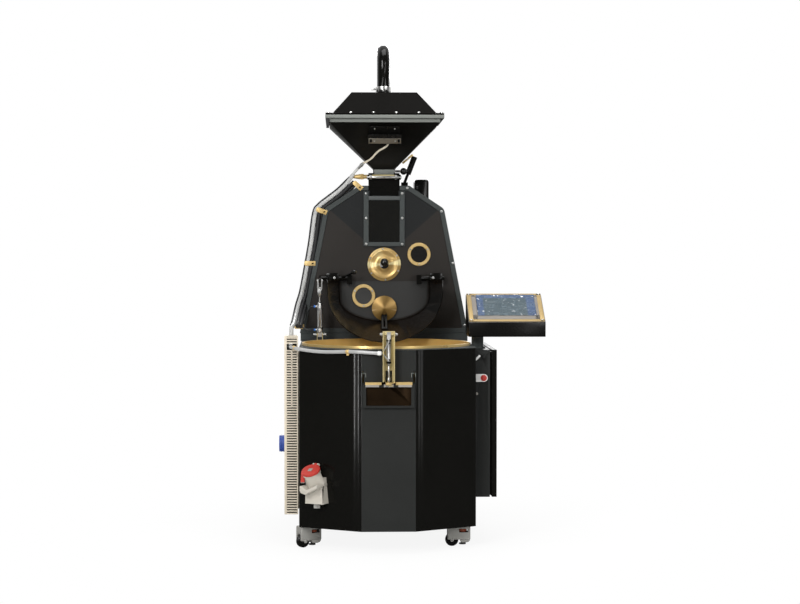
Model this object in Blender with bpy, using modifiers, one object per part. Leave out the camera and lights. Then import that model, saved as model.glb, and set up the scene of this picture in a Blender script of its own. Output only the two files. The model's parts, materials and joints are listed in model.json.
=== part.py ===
"""Floor-standing coffee bean roaster, about 2.04 m tall, on four levelling casters.

Metres, +Z up. The machine is laid out from the centre of its cooling tray: X to the right, Y to the
back, Z up from the floor. One empty then moves it, so that the origin lies under the middle of the whole.
"""

import math

import bmesh
import bpy
from mathutils import Vector

# Driving dimensions

# Fits
GAP = 0.0003
OVERRUN = 0.02
LAP = 0.002

# Roundness, in sides and steps
TRAY_SIDES = 44
LARGE_SIDES = 28
WHEEL_SIDES = 24
SMALL_SIDES = 16
TINY_SIDES = 8
CORNER_STEPS = 3
BEND_STEPS = 8

# Cabinet, round the cooling tray
TRAY_RADIUS = 0.330
CABINET_SIDE_MARGIN = 0.015
CABINET_BOTTOM = 0.084
CABINET_HEIGHT = 0.699
FACET_HALF_WIDTH = 0.105
FACET_MARGIN = 0.030
FACET_SETBACK = 0.140
SHELL_SHEET = 0.003
DECK_SHEET = 0.003
BEND_RADIUS = 0.012
FLOOR_PAN_HEIGHT = 0.020
FRAME_RAIL_WIDTH = 0.110
CABINET_TOP = CABINET_BOTTOM + CABINET_HEIGHT
CABINET_HALF_WIDTH = TRAY_RADIUS + CABINET_SIDE_MARGIN
FACET_FRONT = -TRAY_RADIUS - FACET_MARGIN
SIDE_FRONT = FACET_FRONT + FACET_SETBACK

# Cooling tray
TRAY_RIM_WIDTH = 0.008
TRAY_RIM_RISE = 0.010
TRAY_DEPTH = 0.228
TRAY_WALL = 0.003
SIEVE_SHEET = 0.003
SIEVE_LEDGE = 0.009
PLENUM_DEPTH = 0.092
STIRRER_SHAFT_RADIUS = 0.020
TRAY_RIM_RADIUS = TRAY_RADIUS + TRAY_RIM_WIDTH
TRAY_RIM_TOP = CABINET_TOP + TRAY_RIM_RISE
SIEVE_TOP = TRAY_RIM_TOP - TRAY_DEPTH

# Tray outlet and its gate
OUTLET_HALF_WIDTH = 0.086
OUTLET_HEIGHT = 0.0705
OUTLET_SILL = 0.003
OUTLET_FRAME_SIDE = 0.013
OUTLET_FRAME_BELOW = 0.008
OUTLET_FRAME_ABOVE = 0.0095
OUTLET_FRAME_DEPTH = 0.015
GATE_TRAVEL = 0.042
OUTLET_BOTTOM = SIEVE_TOP + OUTLET_SILL
OUTLET_TOP = OUTLET_BOTTOM + OUTLET_HEIGHT
OUTLET_FRAME_HALF_WIDTH = OUTLET_HALF_WIDTH + OUTLET_FRAME_SIDE
OUTLET_FRAME_BOTTOM = OUTLET_BOTTOM - OUTLET_FRAME_BELOW
OUTLET_FRAME_TOP = OUTLET_TOP + OUTLET_FRAME_ABOVE

# Discharge door, from the tray's rim up
CHUTE_RISE = 0.070
CHUTE_HEADROOM = 0.013
HALF_MOON_HALF_WIDTH = 0.160
HALF_MOON_HEIGHT = 0.138
HALF_MOON_SILL = 0.025
DOOR_AXIS_RISE = 0.005
DOOR_AXIS_FORWARD = 0.031
DOOR_SHAFT_RADIUS = 0.010
CHUTE_BACK_BOTTOM = TRAY_RIM_TOP + CHUTE_RISE
HALF_MOON_BOTTOM = CHUTE_BACK_BOTTOM + HALF_MOON_SILL
HALF_MOON_TOP = HALF_MOON_BOTTOM + HALF_MOON_HEIGHT
CHUTE_TOP = HALF_MOON_TOP + CHUTE_HEADROOM
DOOR_AXIS_HEIGHT = CHUTE_TOP + DOOR_AXIS_RISE

# Roasting head, seen from the side
PLINTH_HEIGHT = 0.031
PLINTH_INSET = 0.003
HEAD_SETBACK = 0.022
HEAD_DEPTH = 0.508
HEAD_BACK_MARGIN = 0.070
HEAD_WALL = 0.012
BORDER_WIDTH = 0.020
BORDER_DEPTH = 0.020
PANEL_RECESS = 0.004
PANEL_SHEET = 0.004
HEAD_FRONT = TRAY_RADIUS + HEAD_SETBACK
HEAD_BACK = HEAD_FRONT + HEAD_DEPTH
CABINET_BACK = HEAD_BACK + HEAD_BACK_MARGIN
HEAD_BOTTOM = CABINET_TOP + PLINTH_HEIGHT + GAP
FACE = HEAD_FRONT + PANEL_RECESS
DOOR_AXIS_Y = FACE - DOOR_AXIS_FORWARD

# Drum, between the burner and the bearing cover over the door
COVER_RADIUS = 0.070
COVER_MARGIN = 0.006
BURNER_RISE = 0.0317
BURNER_CLEARANCE = 0.021
DRUM_WALL = 0.005
DRUM_SETBACK = 0.088
DRUM_BACK_CLEARANCE = 0.025
DRUM_SHAFT_RADIUS = 0.020
BURNER_TOP = HEAD_BOTTOM + BURNER_RISE
DRUM_AXIS_HEIGHT = HALF_MOON_TOP + COVER_MARGIN + COVER_RADIUS
DRUM_AXIS = Vector((0, 0, DRUM_AXIS_HEIGHT))
DRUM_RADIUS = DRUM_AXIS_HEIGHT - BURNER_TOP - BURNER_CLEARANCE
DRUM_FRONT = HEAD_FRONT + DRUM_SETBACK
DRUM_BACK = HEAD_BACK - DRUM_BACK_CLEARANCE

# Roasting head round the drum, seen from the front
NECK_HALF_WIDTH = 0.065
CHARGE_FRAME_SIDE = 0.021
SHOULDER_MARGIN = 0.016
SHOULDER_DROP = 0.002
HEAD_FLARE = 0.102
CROWN_RISE = 0.096
HEAD_SHOULDER_RADIUS = 0.030
HEAD_CROWN_RADIUS = 0.012
CHARGE_FRAME_HALF_WIDTH = NECK_HALF_WIDTH + CHARGE_FRAME_SIDE
HEAD_CROWN_HALF_WIDTH = CHARGE_FRAME_HALF_WIDTH + BORDER_WIDTH
HEAD_SHOULDER_HALF_WIDTH = DRUM_RADIUS + SHOULDER_MARGIN
HEAD_HALF_WIDTH = HEAD_SHOULDER_HALF_WIDTH + HEAD_FLARE
PLINTH_HALF_WIDTH = HEAD_HALF_WIDTH - PLINTH_INSET
HEAD_SHOULDER_HEIGHT = DRUM_AXIS_HEIGHT + DRUM_RADIUS - SHOULDER_DROP
HEAD_CROWN_HEIGHT = HEAD_SHOULDER_HEIGHT + CROWN_RISE

# Charge neck and hopper, from the crown up
NECK_DEPTH = 0.070
NECK_RISE = 0.053
NECK_LAP = 0.012
COLLAR_HEIGHT = 0.018
HOPPER_HEIGHT = 0.186
HOPPER_CENTRE = 0.460
HOPPER_HALF_WIDTH = 0.228
HOPPER_RIM_WIDTH = 0.016
HOPPER_SHEET = 0.003
CHARGE_FRAME_BOTTOM = DRUM_AXIS_HEIGHT + COVER_RADIUS + COVER_MARGIN
NECK_BOTTOM = CHARGE_FRAME_BOTTOM + NECK_LAP
NECK_TOP = HEAD_CROWN_HEIGHT + NECK_RISE
HOPPER_BOTTOM = NECK_TOP + COLLAR_HEIGHT
HOPPER_TOP = HOPPER_BOTTOM + HOPPER_HEIGHT
HOPPER_RIM_HALF_WIDTH = HOPPER_HALF_WIDTH + HOPPER_RIM_WIDTH

# Switch cabinet and operator panel
SWITCH_CABINET_DEPTH = 0.060
PANEL_BOX_INSET = 0.020
PANEL_BOX_WIDTH = 0.307
PANEL_BOX_LEFT = CABINET_HALF_WIDTH - PANEL_BOX_INSET
PANEL_BOX_RIGHT = PANEL_BOX_LEFT + PANEL_BOX_WIDTH

# Outermost reach on the left and at the back
SOCKET_STANDOFF = 0.085
MOTOR_STANDOFF = 0.150
CHANNEL_STANDOFF = 0.040
SOCKET_REACH = CABINET_HALF_WIDTH + SOCKET_STANDOFF
MOTOR_BACK = CABINET_BACK + MOTOR_STANDOFF
CHANNEL_FRONT = FACET_FRONT - CHANNEL_STANDOFF

FINISHES = {
    "gloss black": ((0.007, 0.007, 0.006), 0.18, 0.0),
    "textured grey": ((0.048, 0.054, 0.054), 0.6, 0.0),
    "satin grey": ((0.048, 0.042, 0.036), 0.4, 0.0),
    "door grey": ((0.061, 0.061, 0.060), 0.4, 0.0),
    "brass": ((0.58, 0.35, 0.10), 0.25, 1.0),
    "pale brass": ((0.60, 0.46, 0.19), 0.3, 1.0),
    "steel": ((0.55, 0.55, 0.54), 0.3, 1.0),
    "black plastic": ((0.01, 0.01, 0.01), 0.35, 0.0),
    "beige plastic": ((0.62, 0.56, 0.45), 0.5, 0.0),
    "red plastic": ((0.61, 0.03, 0.02), 0.4, 0.0),
    "blue plastic": ((0.04, 0.09, 0.40), 0.4, 0.0),
    "pale hose": ((0.75, 0.75, 0.72), 0.4, 0.0),
    "cast grey": ((0.30, 0.28, 0.26), 0.5, 0.3),
    "dark rubber": ((0.02, 0.02, 0.02), 0.8, 0.0),
    "glass": ((0.03, 0.03, 0.03), 0.05, 0.0),
}


def clear_scene():
    for found in list(bpy.data.objects):
        bpy.data.objects.remove(found, do_unlink=True)


def new_collection(name):
    made = bpy.data.collections.new(name)
    bpy.context.scene.collection.children.link(made)
    return made


clear_scene()
PARTS = new_collection("coffee_roaster")
HELPERS = new_collection("cutters")
MACHINE = bpy.data.objects.new("machine", None)
PARTS.objects.link(MACHINE)
MACHINE.location = (
    (SOCKET_REACH - PANEL_BOX_RIGHT) / 2,
    -(CHANNEL_FRONT + MOTOR_BACK) / 2,
    0,
)


# Building blocks


def register(piece, helper=False):
    """Puts a piece in its collection, laid out from the tray centre."""
    (HELPERS if helper else PARTS).objects.link(piece)
    piece.parent = MACHINE
    piece.hide_render = helper
    if helper:
        piece.display_type = "WIRE"
    return piece


def mesh_piece(name, bm, helper=False):
    mesh = bpy.data.meshes.new(name)
    bm.to_mesh(mesh)
    bm.free()
    return register(bpy.data.objects.new(name, mesh), helper)


def block(name, low, high, helper=False):
    """A block between two opposite corners."""
    low, high = Vector(low), Vector(high)
    bm = bmesh.new()
    bmesh.ops.create_cube(bm, size=1)
    bmesh.ops.scale(bm, vec=high - low, verts=bm.verts)
    piece = mesh_piece(name, bm, helper)
    piece.location = (low + high) / 2
    return piece


def bar(name, start, end, radius, sides=SMALL_SIDES, end_radius=None, helper=False):
    """A round bar, or a cone, from one point to another."""
    start, end = Vector(start), Vector(end)
    span = end - start
    bm = bmesh.new()
    bmesh.ops.create_cone(
        bm,
        cap_ends=True,
        segments=sides,
        radius1=radius,
        radius2=radius if end_radius is None else end_radius,
        depth=span.length,
    )
    piece = mesh_piece(name, bm, helper)
    piece.location = (start + end) / 2
    piece.rotation_euler = span.to_track_quat("Z", "Y").to_euler()
    return piece


def ball(name, centre, radius, sides=SMALL_SIDES, helper=False):
    bm = bmesh.new()
    bmesh.ops.create_uvsphere(bm, u_segments=sides, v_segments=sides // 2, radius=radius)
    piece = mesh_piece(name, bm, helper)
    piece.location = centre
    return piece


TURNS = {
    "up": (0, 0, 0),
    "front": (math.radians(90), 0, 0),
    "right": (math.radians(90), 0, math.radians(90)),
}


def turned(name, profile, centre, facing="up", sides=LARGE_SIDES, helper=False):
    """A turned piece. The profile's (radius, height) points run down the outer side, then up any bore."""
    points = [(radius, 0, height) for radius, height in profile]
    edges = [(n, n + 1) for n in range(len(points) - 1)]
    if profile[0][0] > 0:
        edges.append((len(points) - 1, 0))
    mesh = bpy.data.meshes.new(name)
    mesh.from_pydata(points, edges, [])
    piece = register(bpy.data.objects.new(name, mesh), helper)
    screw = piece.modifiers.new("turn", "SCREW")
    screw.steps = sides
    screw.render_steps = sides
    screw.use_merge_vertices = True
    screw.merge_threshold = 0.0001
    piece.location = centre
    piece.rotation_euler = TURNS[facing]
    return piece


def plate(name, outlines, thickness, centre, facing="up", helper=False):
    """A flat plate from an outline and any holes, given in its own plane."""
    curve = bpy.data.curves.new(name, "CURVE")
    curve.dimensions = "2D"
    curve.fill_mode = "BOTH"
    curve.extrude = thickness / 2
    for outline in outlines:
        spline = curve.splines.new("POLY")
        spline.points.add(len(outline) - 1)
        for point, (across, along) in zip(spline.points, outline):
            point.co = (across, along, 0, 1)
        spline.use_cyclic_u = True
    drawn = register(bpy.data.objects.new(name, curve), helper)
    drawn.location = centre
    drawn.rotation_euler = TURNS[facing]
    return meshed(drawn, helper)


def meshed(drawn, helper=False):
    """The mesh of a curve, with its caps welded on, in the curve's place and under its name."""
    name = drawn.name
    bpy.context.view_layer.update()
    graph = bpy.context.evaluated_depsgraph_get()
    mesh = bpy.data.meshes.new_from_object(drawn.evaluated_get(graph))
    bm = bmesh.new()
    bm.from_mesh(mesh)
    bmesh.ops.remove_doubles(bm, verts=bm.verts, dist=0.00001)
    bmesh.ops.recalc_face_normals(bm, faces=bm.faces)
    bm.to_mesh(mesh)
    bm.free()
    place = drawn.matrix_basis.copy()
    bpy.data.objects.remove(drawn, do_unlink=True)
    mesh.name = name
    piece = register(bpy.data.objects.new(name, mesh), helper)
    piece.matrix_basis = place
    return piece


def tube(name, route, radius, resolution=2, helper=False):
    """A round tube along a route, with filled ends."""
    curve = bpy.data.curves.new(name, "CURVE")
    curve.dimensions = "3D"
    curve.bevel_depth = radius
    curve.bevel_resolution = resolution
    curve.use_fill_caps = True
    spline = curve.splines.new("POLY")
    spline.points.add(len(route) - 1)
    for point, place in zip(spline.points, route):
        point.co = (*place, 1)
    return register(bpy.data.objects.new(name, curve), helper)


def smooth_route(points, steps):
    """Points along a smooth curve through the given ones."""
    points = [Vector(point) for point in points]
    before = [2 * points[0] - points[1], *points]
    ends = [*before, 2 * points[-1] - points[-2]]
    route = []
    for a, b, c, d in zip(ends, ends[1:], ends[2:], ends[3:]):
        for step in range(steps):
            t = step / steps
            bend = (c - a) * t + (2 * a - 5 * b + 4 * c - d) * t**2 + (3 * b - a - 3 * c + d) * t**3
            route.append(b + bend / 2)
    route.append(points[-1])
    return route


def loft(name, sections, closed, sheet=0.0, helper=False):
    """Faces between matching sections: a capped solid, or an open surface with a sheet's thickness."""
    bm = bmesh.new()
    rows = [[bm.verts.new(point) for point in section] for section in sections]
    for row, following in zip(rows, rows[1:]):
        count = len(row) if closed else len(row) - 1
        for n in range(count):
            m = (n + 1) % len(row)
            bm.faces.new((row[n], row[m], following[m], following[n]))
    if not sheet:
        bm.faces.new(reversed(rows[0]))
        bm.faces.new(rows[-1])
    piece = mesh_piece(name, bm, helper)
    if sheet:
        wall = piece.modifiers.new("sheet", "SOLIDIFY")
        wall.thickness = sheet
        wall.offset = -1
        wall.use_even_offset = True
    return piece


def combine(piece, tools, operation):
    for tool in tools:
        modifier = piece.modifiers.new(operation.lower() + "_" + tool.name, "BOOLEAN")
        modifier.operation = operation
        modifier.object = tool
    return piece


def cut(piece, *tools):
    return combine(piece, tools, "DIFFERENCE")


def join(piece, *tools):
    return combine(piece, tools, "UNION")


def finish(piece, look):
    """Gives a piece its own material and shades its round sides smooth."""
    colour, roughness, metallic = FINISHES[look]
    material = bpy.data.materials.new(piece.name + "_finish")
    material.use_nodes = True
    shader = material.node_tree.nodes["Principled BSDF"]
    shader.inputs["Base Color"].default_value = (*colour, 1)
    shader.inputs["Roughness"].default_value = roughness
    shader.inputs["Metallic"].default_value = metallic
    piece.data.materials.append(material)
    if piece.type == "MESH" and piece.data.polygons:
        piece.data.shade_smooth()
        piece.data.set_sharp_from_angle(angle=math.radians(40))
    return piece


def joint_frame(name, place, parent=None):
    """An empty on a joint's axis, which carries what turns or slides there."""
    frame = bpy.data.objects.new(name, None)
    PARTS.objects.link(frame)
    frame.parent = parent or MACHINE
    frame.location = Vector(place) - machine_place(parent)
    return frame


def machine_place(frame):
    """Where a frame lies, measured from the tray centre."""
    place = Vector((0, 0, 0))
    while frame is not None and frame is not MACHINE:
        place += frame.location
        frame = frame.parent
    return place


def carry(frame, *pieces):
    """Hangs pieces, and the cutters and joined shapes they use, on a joint's frame, where they are."""
    for piece in pieces:
        if piece.parent is not MACHINE:
            continue
        piece.parent = frame
        piece.location = piece.location - machine_place(frame)
        carry(frame, *[modifier.object for modifier in piece.modifiers if modifier.type == "BOOLEAN"])


def inset(outline, distance):
    """A convex outline, run anticlockwise, moved inwards. A negative distance moves it outwards."""
    count = len(outline)
    moved = []
    for n in range(count):
        before, here, after = (Vector(outline[k % count]) for k in (n - 1, n, n + 1))
        first, second = (here - before).normalized(), (after - here).normalized()
        normal_sum = Vector((-first.y - second.y, first.x + second.x))
        scale = 2 * distance / normal_sum.length_squared
        moved.append(tuple(here + normal_sum * scale))
    return moved


def rounded(outline, radii, steps=CORNER_STEPS, closed=True):
    """An outline whose corners are arcs. A radius of zero keeps its corner."""
    count = len(outline)
    made = []
    for n, (corner, radius) in enumerate(zip(outline, radii)):
        here = Vector(corner)
        if not radius or (not closed and n in (0, count - 1)):
            made.append(tuple(here))
            continue
        back = (Vector(outline[n - 1]) - here).normalized()
        ahead = (Vector(outline[(n + 1) % count]) - here).normalized()
        half = back.angle(ahead) / 2
        reach = radius / math.tan(half)
        centre = here + (back + ahead).normalized() * radius / math.sin(half)
        start, end = here + back * reach - centre, here + ahead * reach - centre
        turn = math.atan2(start.cross(end), start.dot(end))
        for step in range(steps + 1):
            angle = turn * step / steps
            arm = Vector(
                (
                    start.x * math.cos(angle) - start.y * math.sin(angle),
                    start.x * math.sin(angle) + start.y * math.cos(angle),
                )
            )
            made.append(tuple(centre + arm))
    return made


def bore_radius(radius, sides):
    """The corner radius of a many-sided bore whose flats clear a turning round bar."""
    return (radius + GAP) / math.cos(math.pi / sides)


def circle(radius, sides, centre=(0, 0)):
    angles = [math.tau * n / sides for n in range(sides)]
    return [(centre[0] + radius * math.cos(a), centre[1] + radius * math.sin(a)) for a in angles]


def rectangle(half_width, half_depth, centre=(0, 0)):
    corners = ((-1, -1), (1, -1), (1, 1), (-1, 1))
    return [(centre[0] + half_width * a, centre[1] + half_depth * b) for a, b in corners]


def at_height(outline, height):
    return [(across, along, height) for across, along in outline]


# Outlines that several pieces share


def cabinet_outline(shrink=0.0):
    """The cabinet in plan, anticlockwise, moved inwards by a distance, with its front bends."""
    corners = [
        (-FACET_HALF_WIDTH, FACET_FRONT),
        (FACET_HALF_WIDTH, FACET_FRONT),
        (CABINET_HALF_WIDTH, SIDE_FRONT),
        (CABINET_HALF_WIDTH, CABINET_BACK),
        (-CABINET_HALF_WIDTH, CABINET_BACK),
        (-CABINET_HALF_WIDTH, SIDE_FRONT),
    ]
    bend = max(BEND_RADIUS - shrink, 0)
    return rounded(inset(corners, shrink), [bend, bend, bend, 0, 0, bend])


def head_outline(shrink=0.0, shoulder=HEAD_SHOULDER_RADIUS, crown=HEAD_CROWN_RADIUS):
    """The head from the front, anticlockwise, moved inwards by a distance, with its upper corners round."""
    corners = [
        (-HEAD_HALF_WIDTH, HEAD_BOTTOM),
        (HEAD_HALF_WIDTH, HEAD_BOTTOM),
        (HEAD_SHOULDER_HALF_WIDTH, HEAD_SHOULDER_HEIGHT),
        (HEAD_CROWN_HALF_WIDTH, HEAD_CROWN_HEIGHT),
        (-HEAD_CROWN_HALF_WIDTH, HEAD_CROWN_HEIGHT),
        (-HEAD_SHOULDER_HALF_WIDTH, HEAD_SHOULDER_HEIGHT),
    ]
    radii = [0, 0, shoulder, crown, crown, shoulder]
    return rounded(inset(corners, shrink), radii)


# Casters

CASTER_INSET = 0.050
CASTER_SPREAD = CABINET_HALF_WIDTH - CASTER_INSET
CASTER_FRONT = SIDE_FRONT + CASTER_INSET
CASTER_REAR_INSET = 0.130
CASTER_REAR = CABINET_BACK - CASTER_REAR_INSET
WHEEL_RADIUS = 0.026
WHEEL_HALF_WIDTH = 0.010
WHEEL_EDGE = 0.003
WHEEL_TRAIL = 0.042
AXLE_RADIUS = 0.004
HOUSING_FRONT = 0.030
HOUSING_LENGTH = 0.090
HOUSING_HALF_WIDTH = 0.023
HOUSING_BOTTOM = 0.027
WHEEL_CLEARANCE = 0.002
WINDOW_BOTTOM = 0.052
WINDOW_HEIGHT = 0.018
WINDOW_LENGTH = 0.042
THUMBWHEEL_RADIUS = 0.017
LEVELLER_RADIUS = 0.006
PAD_RADIUS = 0.0135
PAD_BOTTOM = 0.007
PAD_HEIGHT = 0.005
CASTER_TURNS = {
    "front_left": math.radians(30),
    "front_right": 0,
    "rear_left": 0,
    "rear_right": 0,
}


def caster_shapes(name):
    """A caster's housing round its swivel, trailing to the left: its cuts, and what is joined to it."""
    top = CABINET_BOTTOM - GAP
    rear = HOUSING_FRONT - HOUSING_LENGTH
    fork = block(
        f"caster_fork_{name}",
        (rear, -HOUSING_HALF_WIDTH, HOUSING_BOTTOM),
        (HOUSING_FRONT, HOUSING_HALF_WIDTH, top),
    )
    edge = fork.modifiers.new("edge", "BEVEL")
    edge.width = WHEEL_EDGE
    edge.segments = 1
    half_slot = WHEEL_HALF_WIDTH + WHEEL_CLEARANCE
    slot = block(
        f"wheel_slot_{name}",
        (rear - OVERRUN, -half_slot, -OVERRUN),
        (WHEEL_RADIUS + WHEEL_CLEARANCE - WHEEL_TRAIL, half_slot, 2 * WHEEL_RADIUS + WHEEL_CLEARANCE),
        helper=True,
    )
    window = block(
        f"window_{name}",
        (-WINDOW_LENGTH / 3, -HOUSING_HALF_WIDTH - OVERRUN, WINDOW_BOTTOM + 2 * WHEEL_CLEARANCE),
        (WINDOW_LENGTH / 2, HOUSING_HALF_WIDTH + OVERRUN, WINDOW_BOTTOM + WINDOW_HEIGHT),
        helper=True,
    )
    leveller = bar(
        f"leveller_{name}",
        (0, 0, PAD_BOTTOM + LAP),
        (0, 0, top - LAP),
        LEVELLER_RADIUS,
        TINY_SIDES,
        helper=True,
    )
    thumbwheel = bar(
        f"thumbwheel_{name}",
        (0, 0, WINDOW_BOTTOM + 3 * WHEEL_CLEARANCE),
        (0, 0, WINDOW_BOTTOM + WINDOW_HEIGHT - WHEEL_CLEARANCE),
        THUMBWHEEL_RADIUS,
        helper=True,
    )
    pad = bar(f"pad_{name}", (0, 0, PAD_BOTTOM), (0, 0, PAD_BOTTOM + PAD_HEIGHT), PAD_RADIUS, helper=True)
    axle = bar(
        f"axle_{name}",
        (-WHEEL_TRAIL, -HOUSING_HALF_WIDTH - LAP, WHEEL_RADIUS),
        (-WHEEL_TRAIL, HOUSING_HALF_WIDTH + LAP, WHEEL_RADIUS),
        AXLE_RADIUS,
        TINY_SIDES,
        helper=True,
    )
    return fork, (slot, window), (leveller, thumbwheel, pad, axle)


def caster(name, side, y):
    """A caster housing that swivels under the base frame, and the wheel that spins in it."""
    swivel = joint_frame(f"caster_swivel_{name}", (side * CASTER_SPREAD, y, 0))
    swivel.rotation_euler.z = CASTER_TURNS[name]
    hub = joint_frame(f"caster_axle_{name}", (0, 0, 0))
    hub.parent = swivel
    hub.location = (-WHEEL_TRAIL, 0, WHEEL_RADIUS)
    fork, cuts, joins = caster_shapes(name)
    cut(fork, *cuts)
    join(fork, *joins)
    for piece in (fork, *cuts, *joins):
        piece.parent = swivel
    bore = AXLE_RADIUS + GAP
    rim = WHEEL_HALF_WIDTH - WHEEL_EDGE
    wheel = turned(
        f"caster_wheel_{name}",
        [
            (WHEEL_RADIUS - WHEEL_EDGE, WHEEL_HALF_WIDTH),
            (WHEEL_RADIUS, rim),
            (WHEEL_RADIUS, -rim),
            (WHEEL_RADIUS - WHEEL_EDGE, -WHEEL_HALF_WIDTH),
            (bore, -WHEEL_HALF_WIDTH),
            (bore, WHEEL_HALF_WIDTH),
        ],
        (0, 0, 0),
        facing="front",
        sides=WHEEL_SIDES,
    )
    wheel.parent = hub
    finish(fork, "cast grey")
    finish(wheel, "dark rubber")


# Cabinet


def base_frame():
    """The floor pan that carries the cabinet on its four casters."""
    clearance = SHELL_SHEET + GAP
    frame = plate(
        "base_frame",
        [cabinet_outline(clearance), cabinet_outline(clearance + FRAME_RAIL_WIDTH)],
        FLOOR_PAN_HEIGHT,
        (0, 0, CABINET_BOTTOM + FLOOR_PAN_HEIGHT / 2),
    )
    finish(frame, "textured grey")


OUTLET_DUCT_WALL = 0.0035
GATE_SLOT_SIDE = 0.008
GATE_SLOT_INNER = OUTLET_HALF_WIDTH + GATE_SLOT_SIDE
GATE_SLOT_WIDTH = 0.007
GATE_SLOT_RISE = 0.007
GATE_SLOT_BOTTOM = OUTLET_FRAME_TOP + GATE_SLOT_RISE


def front_shell():
    """One sheet bent round the front and sides, open at the back."""
    outline = cabinet_outline()
    rear_left = min(range(len(outline)), key=lambda n: outline[n][0] - outline[n][1])
    bends = outline[rear_left:] + outline[:rear_left]
    top = CABINET_TOP - DECK_SHEET - GAP
    shell = loft(
        "front_shell",
        [at_height(bends, CABINET_BOTTOM), at_height(bends, top)],
        closed=False,
        sheet=SHELL_SHEET,
    )
    clearance = OUTLET_DUCT_WALL + GAP
    front, back = FACET_FRONT - OVERRUN, FACET_FRONT + OVERRUN
    mouth = block(
        "outlet_hole",
        (-OUTLET_HALF_WIDTH - clearance, front, OUTLET_BOTTOM - clearance),
        (OUTLET_HALF_WIDTH + clearance, back, OUTLET_TOP + clearance),
        helper=True,
    )
    slots = [
        block(
            f"gate_slot_{side}",
            (side * (GATE_SLOT_INNER + GATE_SLOT_WIDTH / 2) - GATE_SLOT_WIDTH / 2, front, GATE_SLOT_BOTTOM),
            (
                side * (GATE_SLOT_INNER + GATE_SLOT_WIDTH / 2) + GATE_SLOT_WIDTH / 2,
                back,
                GATE_SLOT_BOTTOM + GATE_TRAVEL,
            ),
            helper=True,
        )
        for side in (-1, 1)
    ]
    finish(cut(shell, mouth, *slots), "gloss black")


VENT_COUNT = 6
VENT_PITCH = 0.030
VENT_HEIGHT = 0.010
VENT_HALF_WIDTH = 0.150
VENT_RISE = 0.096
VENT_BOTTOM = CABINET_BOTTOM + VENT_RISE


def back_panel():
    """The plate that closes the cabinet at the back, with slots for the cooling air."""
    clearance = SHELL_SHEET + GAP
    half = CABINET_HALF_WIDTH - clearance
    bottom = CABINET_BOTTOM + FLOOR_PAN_HEIGHT + GAP
    top = CABINET_TOP - DECK_SHEET - GAP
    outline = [(-half, bottom), (half, bottom), (half, top), (-half, top)]
    vents = [
        rectangle(VENT_HALF_WIDTH, VENT_HEIGHT / 2, (0, VENT_BOTTOM + n * VENT_PITCH))
        for n in range(VENT_COUNT)
    ]
    panel = plate(
        "back_panel", [outline, *vents], SHELL_SHEET, (0, CABINET_BACK - SHELL_SHEET / 2, 0), facing="front"
    )
    finish(panel, "gloss black")


def top_deck():
    """The deck round the tray, with the plinth that lifts the head."""
    deck = plate(
        "top_deck",
        [cabinet_outline(), circle(TRAY_RADIUS + GAP, TRAY_SIDES)],
        DECK_SHEET,
        (0, 0, CABINET_TOP - DECK_SHEET / 2),
    )
    plinth = block(
        "plinth",
        (-PLINTH_HALF_WIDTH, HEAD_FRONT, CABINET_TOP - LAP),
        (PLINTH_HALF_WIDTH, HEAD_BACK, CABINET_TOP + PLINTH_HEIGHT),
        helper=True,
    )
    finish(join(deck, plinth), "textured grey")


# Cooling tray, stirrer and fan

AIR_HOLE_RADIUS = 0.050
AIR_HOLE_INSET = 0.110
AIR_HOLE_BACK = TRAY_RADIUS - AIR_HOLE_INSET


def tray_floor():
    return SIEVE_TOP - PLENUM_DEPTH


def cooling_tray():
    """The round tray: rim on the deck, a ledge for the sieve, and an air plenum under it."""
    inner = TRAY_RADIUS - TRAY_WALL
    ledge = SIEVE_TOP - SIEVE_SHEET - GAP
    low_radius = inner - SIEVE_LEDGE
    floor = tray_floor()
    hole = bore_radius(STIRRER_SHAFT_RADIUS, TRAY_SIDES)
    tray = turned(
        "cooling_tray",
        [
            (TRAY_RIM_RADIUS, TRAY_RIM_TOP),
            (TRAY_RIM_RADIUS, CABINET_TOP + GAP),
            (TRAY_RADIUS, CABINET_TOP + GAP),
            (TRAY_RADIUS, ledge - TRAY_WALL),
            (low_radius + TRAY_WALL, ledge - TRAY_WALL),
            (low_radius + TRAY_WALL, floor - TRAY_WALL),
            (hole, floor - TRAY_WALL),
            (hole, floor),
            (low_radius, floor),
            (low_radius, ledge),
            (inner, ledge),
            (inner, TRAY_RIM_TOP),
        ],
        (0, 0, 0),
        sides=TRAY_SIDES,
    )
    mouth = block(
        "tray_mouth",
        (-OUTLET_HALF_WIDTH, -TRAY_RADIUS - OVERRUN, OUTLET_BOTTOM),
        (OUTLET_HALF_WIDTH, -TRAY_RADIUS + 2 * OVERRUN, OUTLET_TOP),
        helper=True,
    )
    air_hole = bar(
        "air_hole",
        (0, AIR_HOLE_BACK, floor - OVERRUN),
        (0, AIR_HOLE_BACK, floor + OVERRUN),
        AIR_HOLE_RADIUS,
        helper=True,
    )
    finish(cut(tray, mouth, air_hole), "brass")


def tray_sieve():
    radius = TRAY_RADIUS - TRAY_WALL - GAP
    hole = bore_radius(STIRRER_SHAFT_RADIUS, TRAY_SIDES)
    sieve = turned(
        "tray_sieve",
        [
            (radius, SIEVE_TOP),
            (radius, SIEVE_TOP - SIEVE_SHEET),
            (hole, SIEVE_TOP - SIEVE_SHEET),
            (hole, SIEVE_TOP),
        ],
        (0, 0, 0),
        sides=TRAY_SIDES,
    )
    finish(sieve, "steel")


GEARBOX_HALF_WIDTH = 0.060
GEARBOX_HEIGHT = 0.080
STIRRER_MOTOR_RADIUS = 0.052
STIRRER_MOTOR_LENGTH = 0.140
SHAFT_ENGAGEMENT = 0.060


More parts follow.
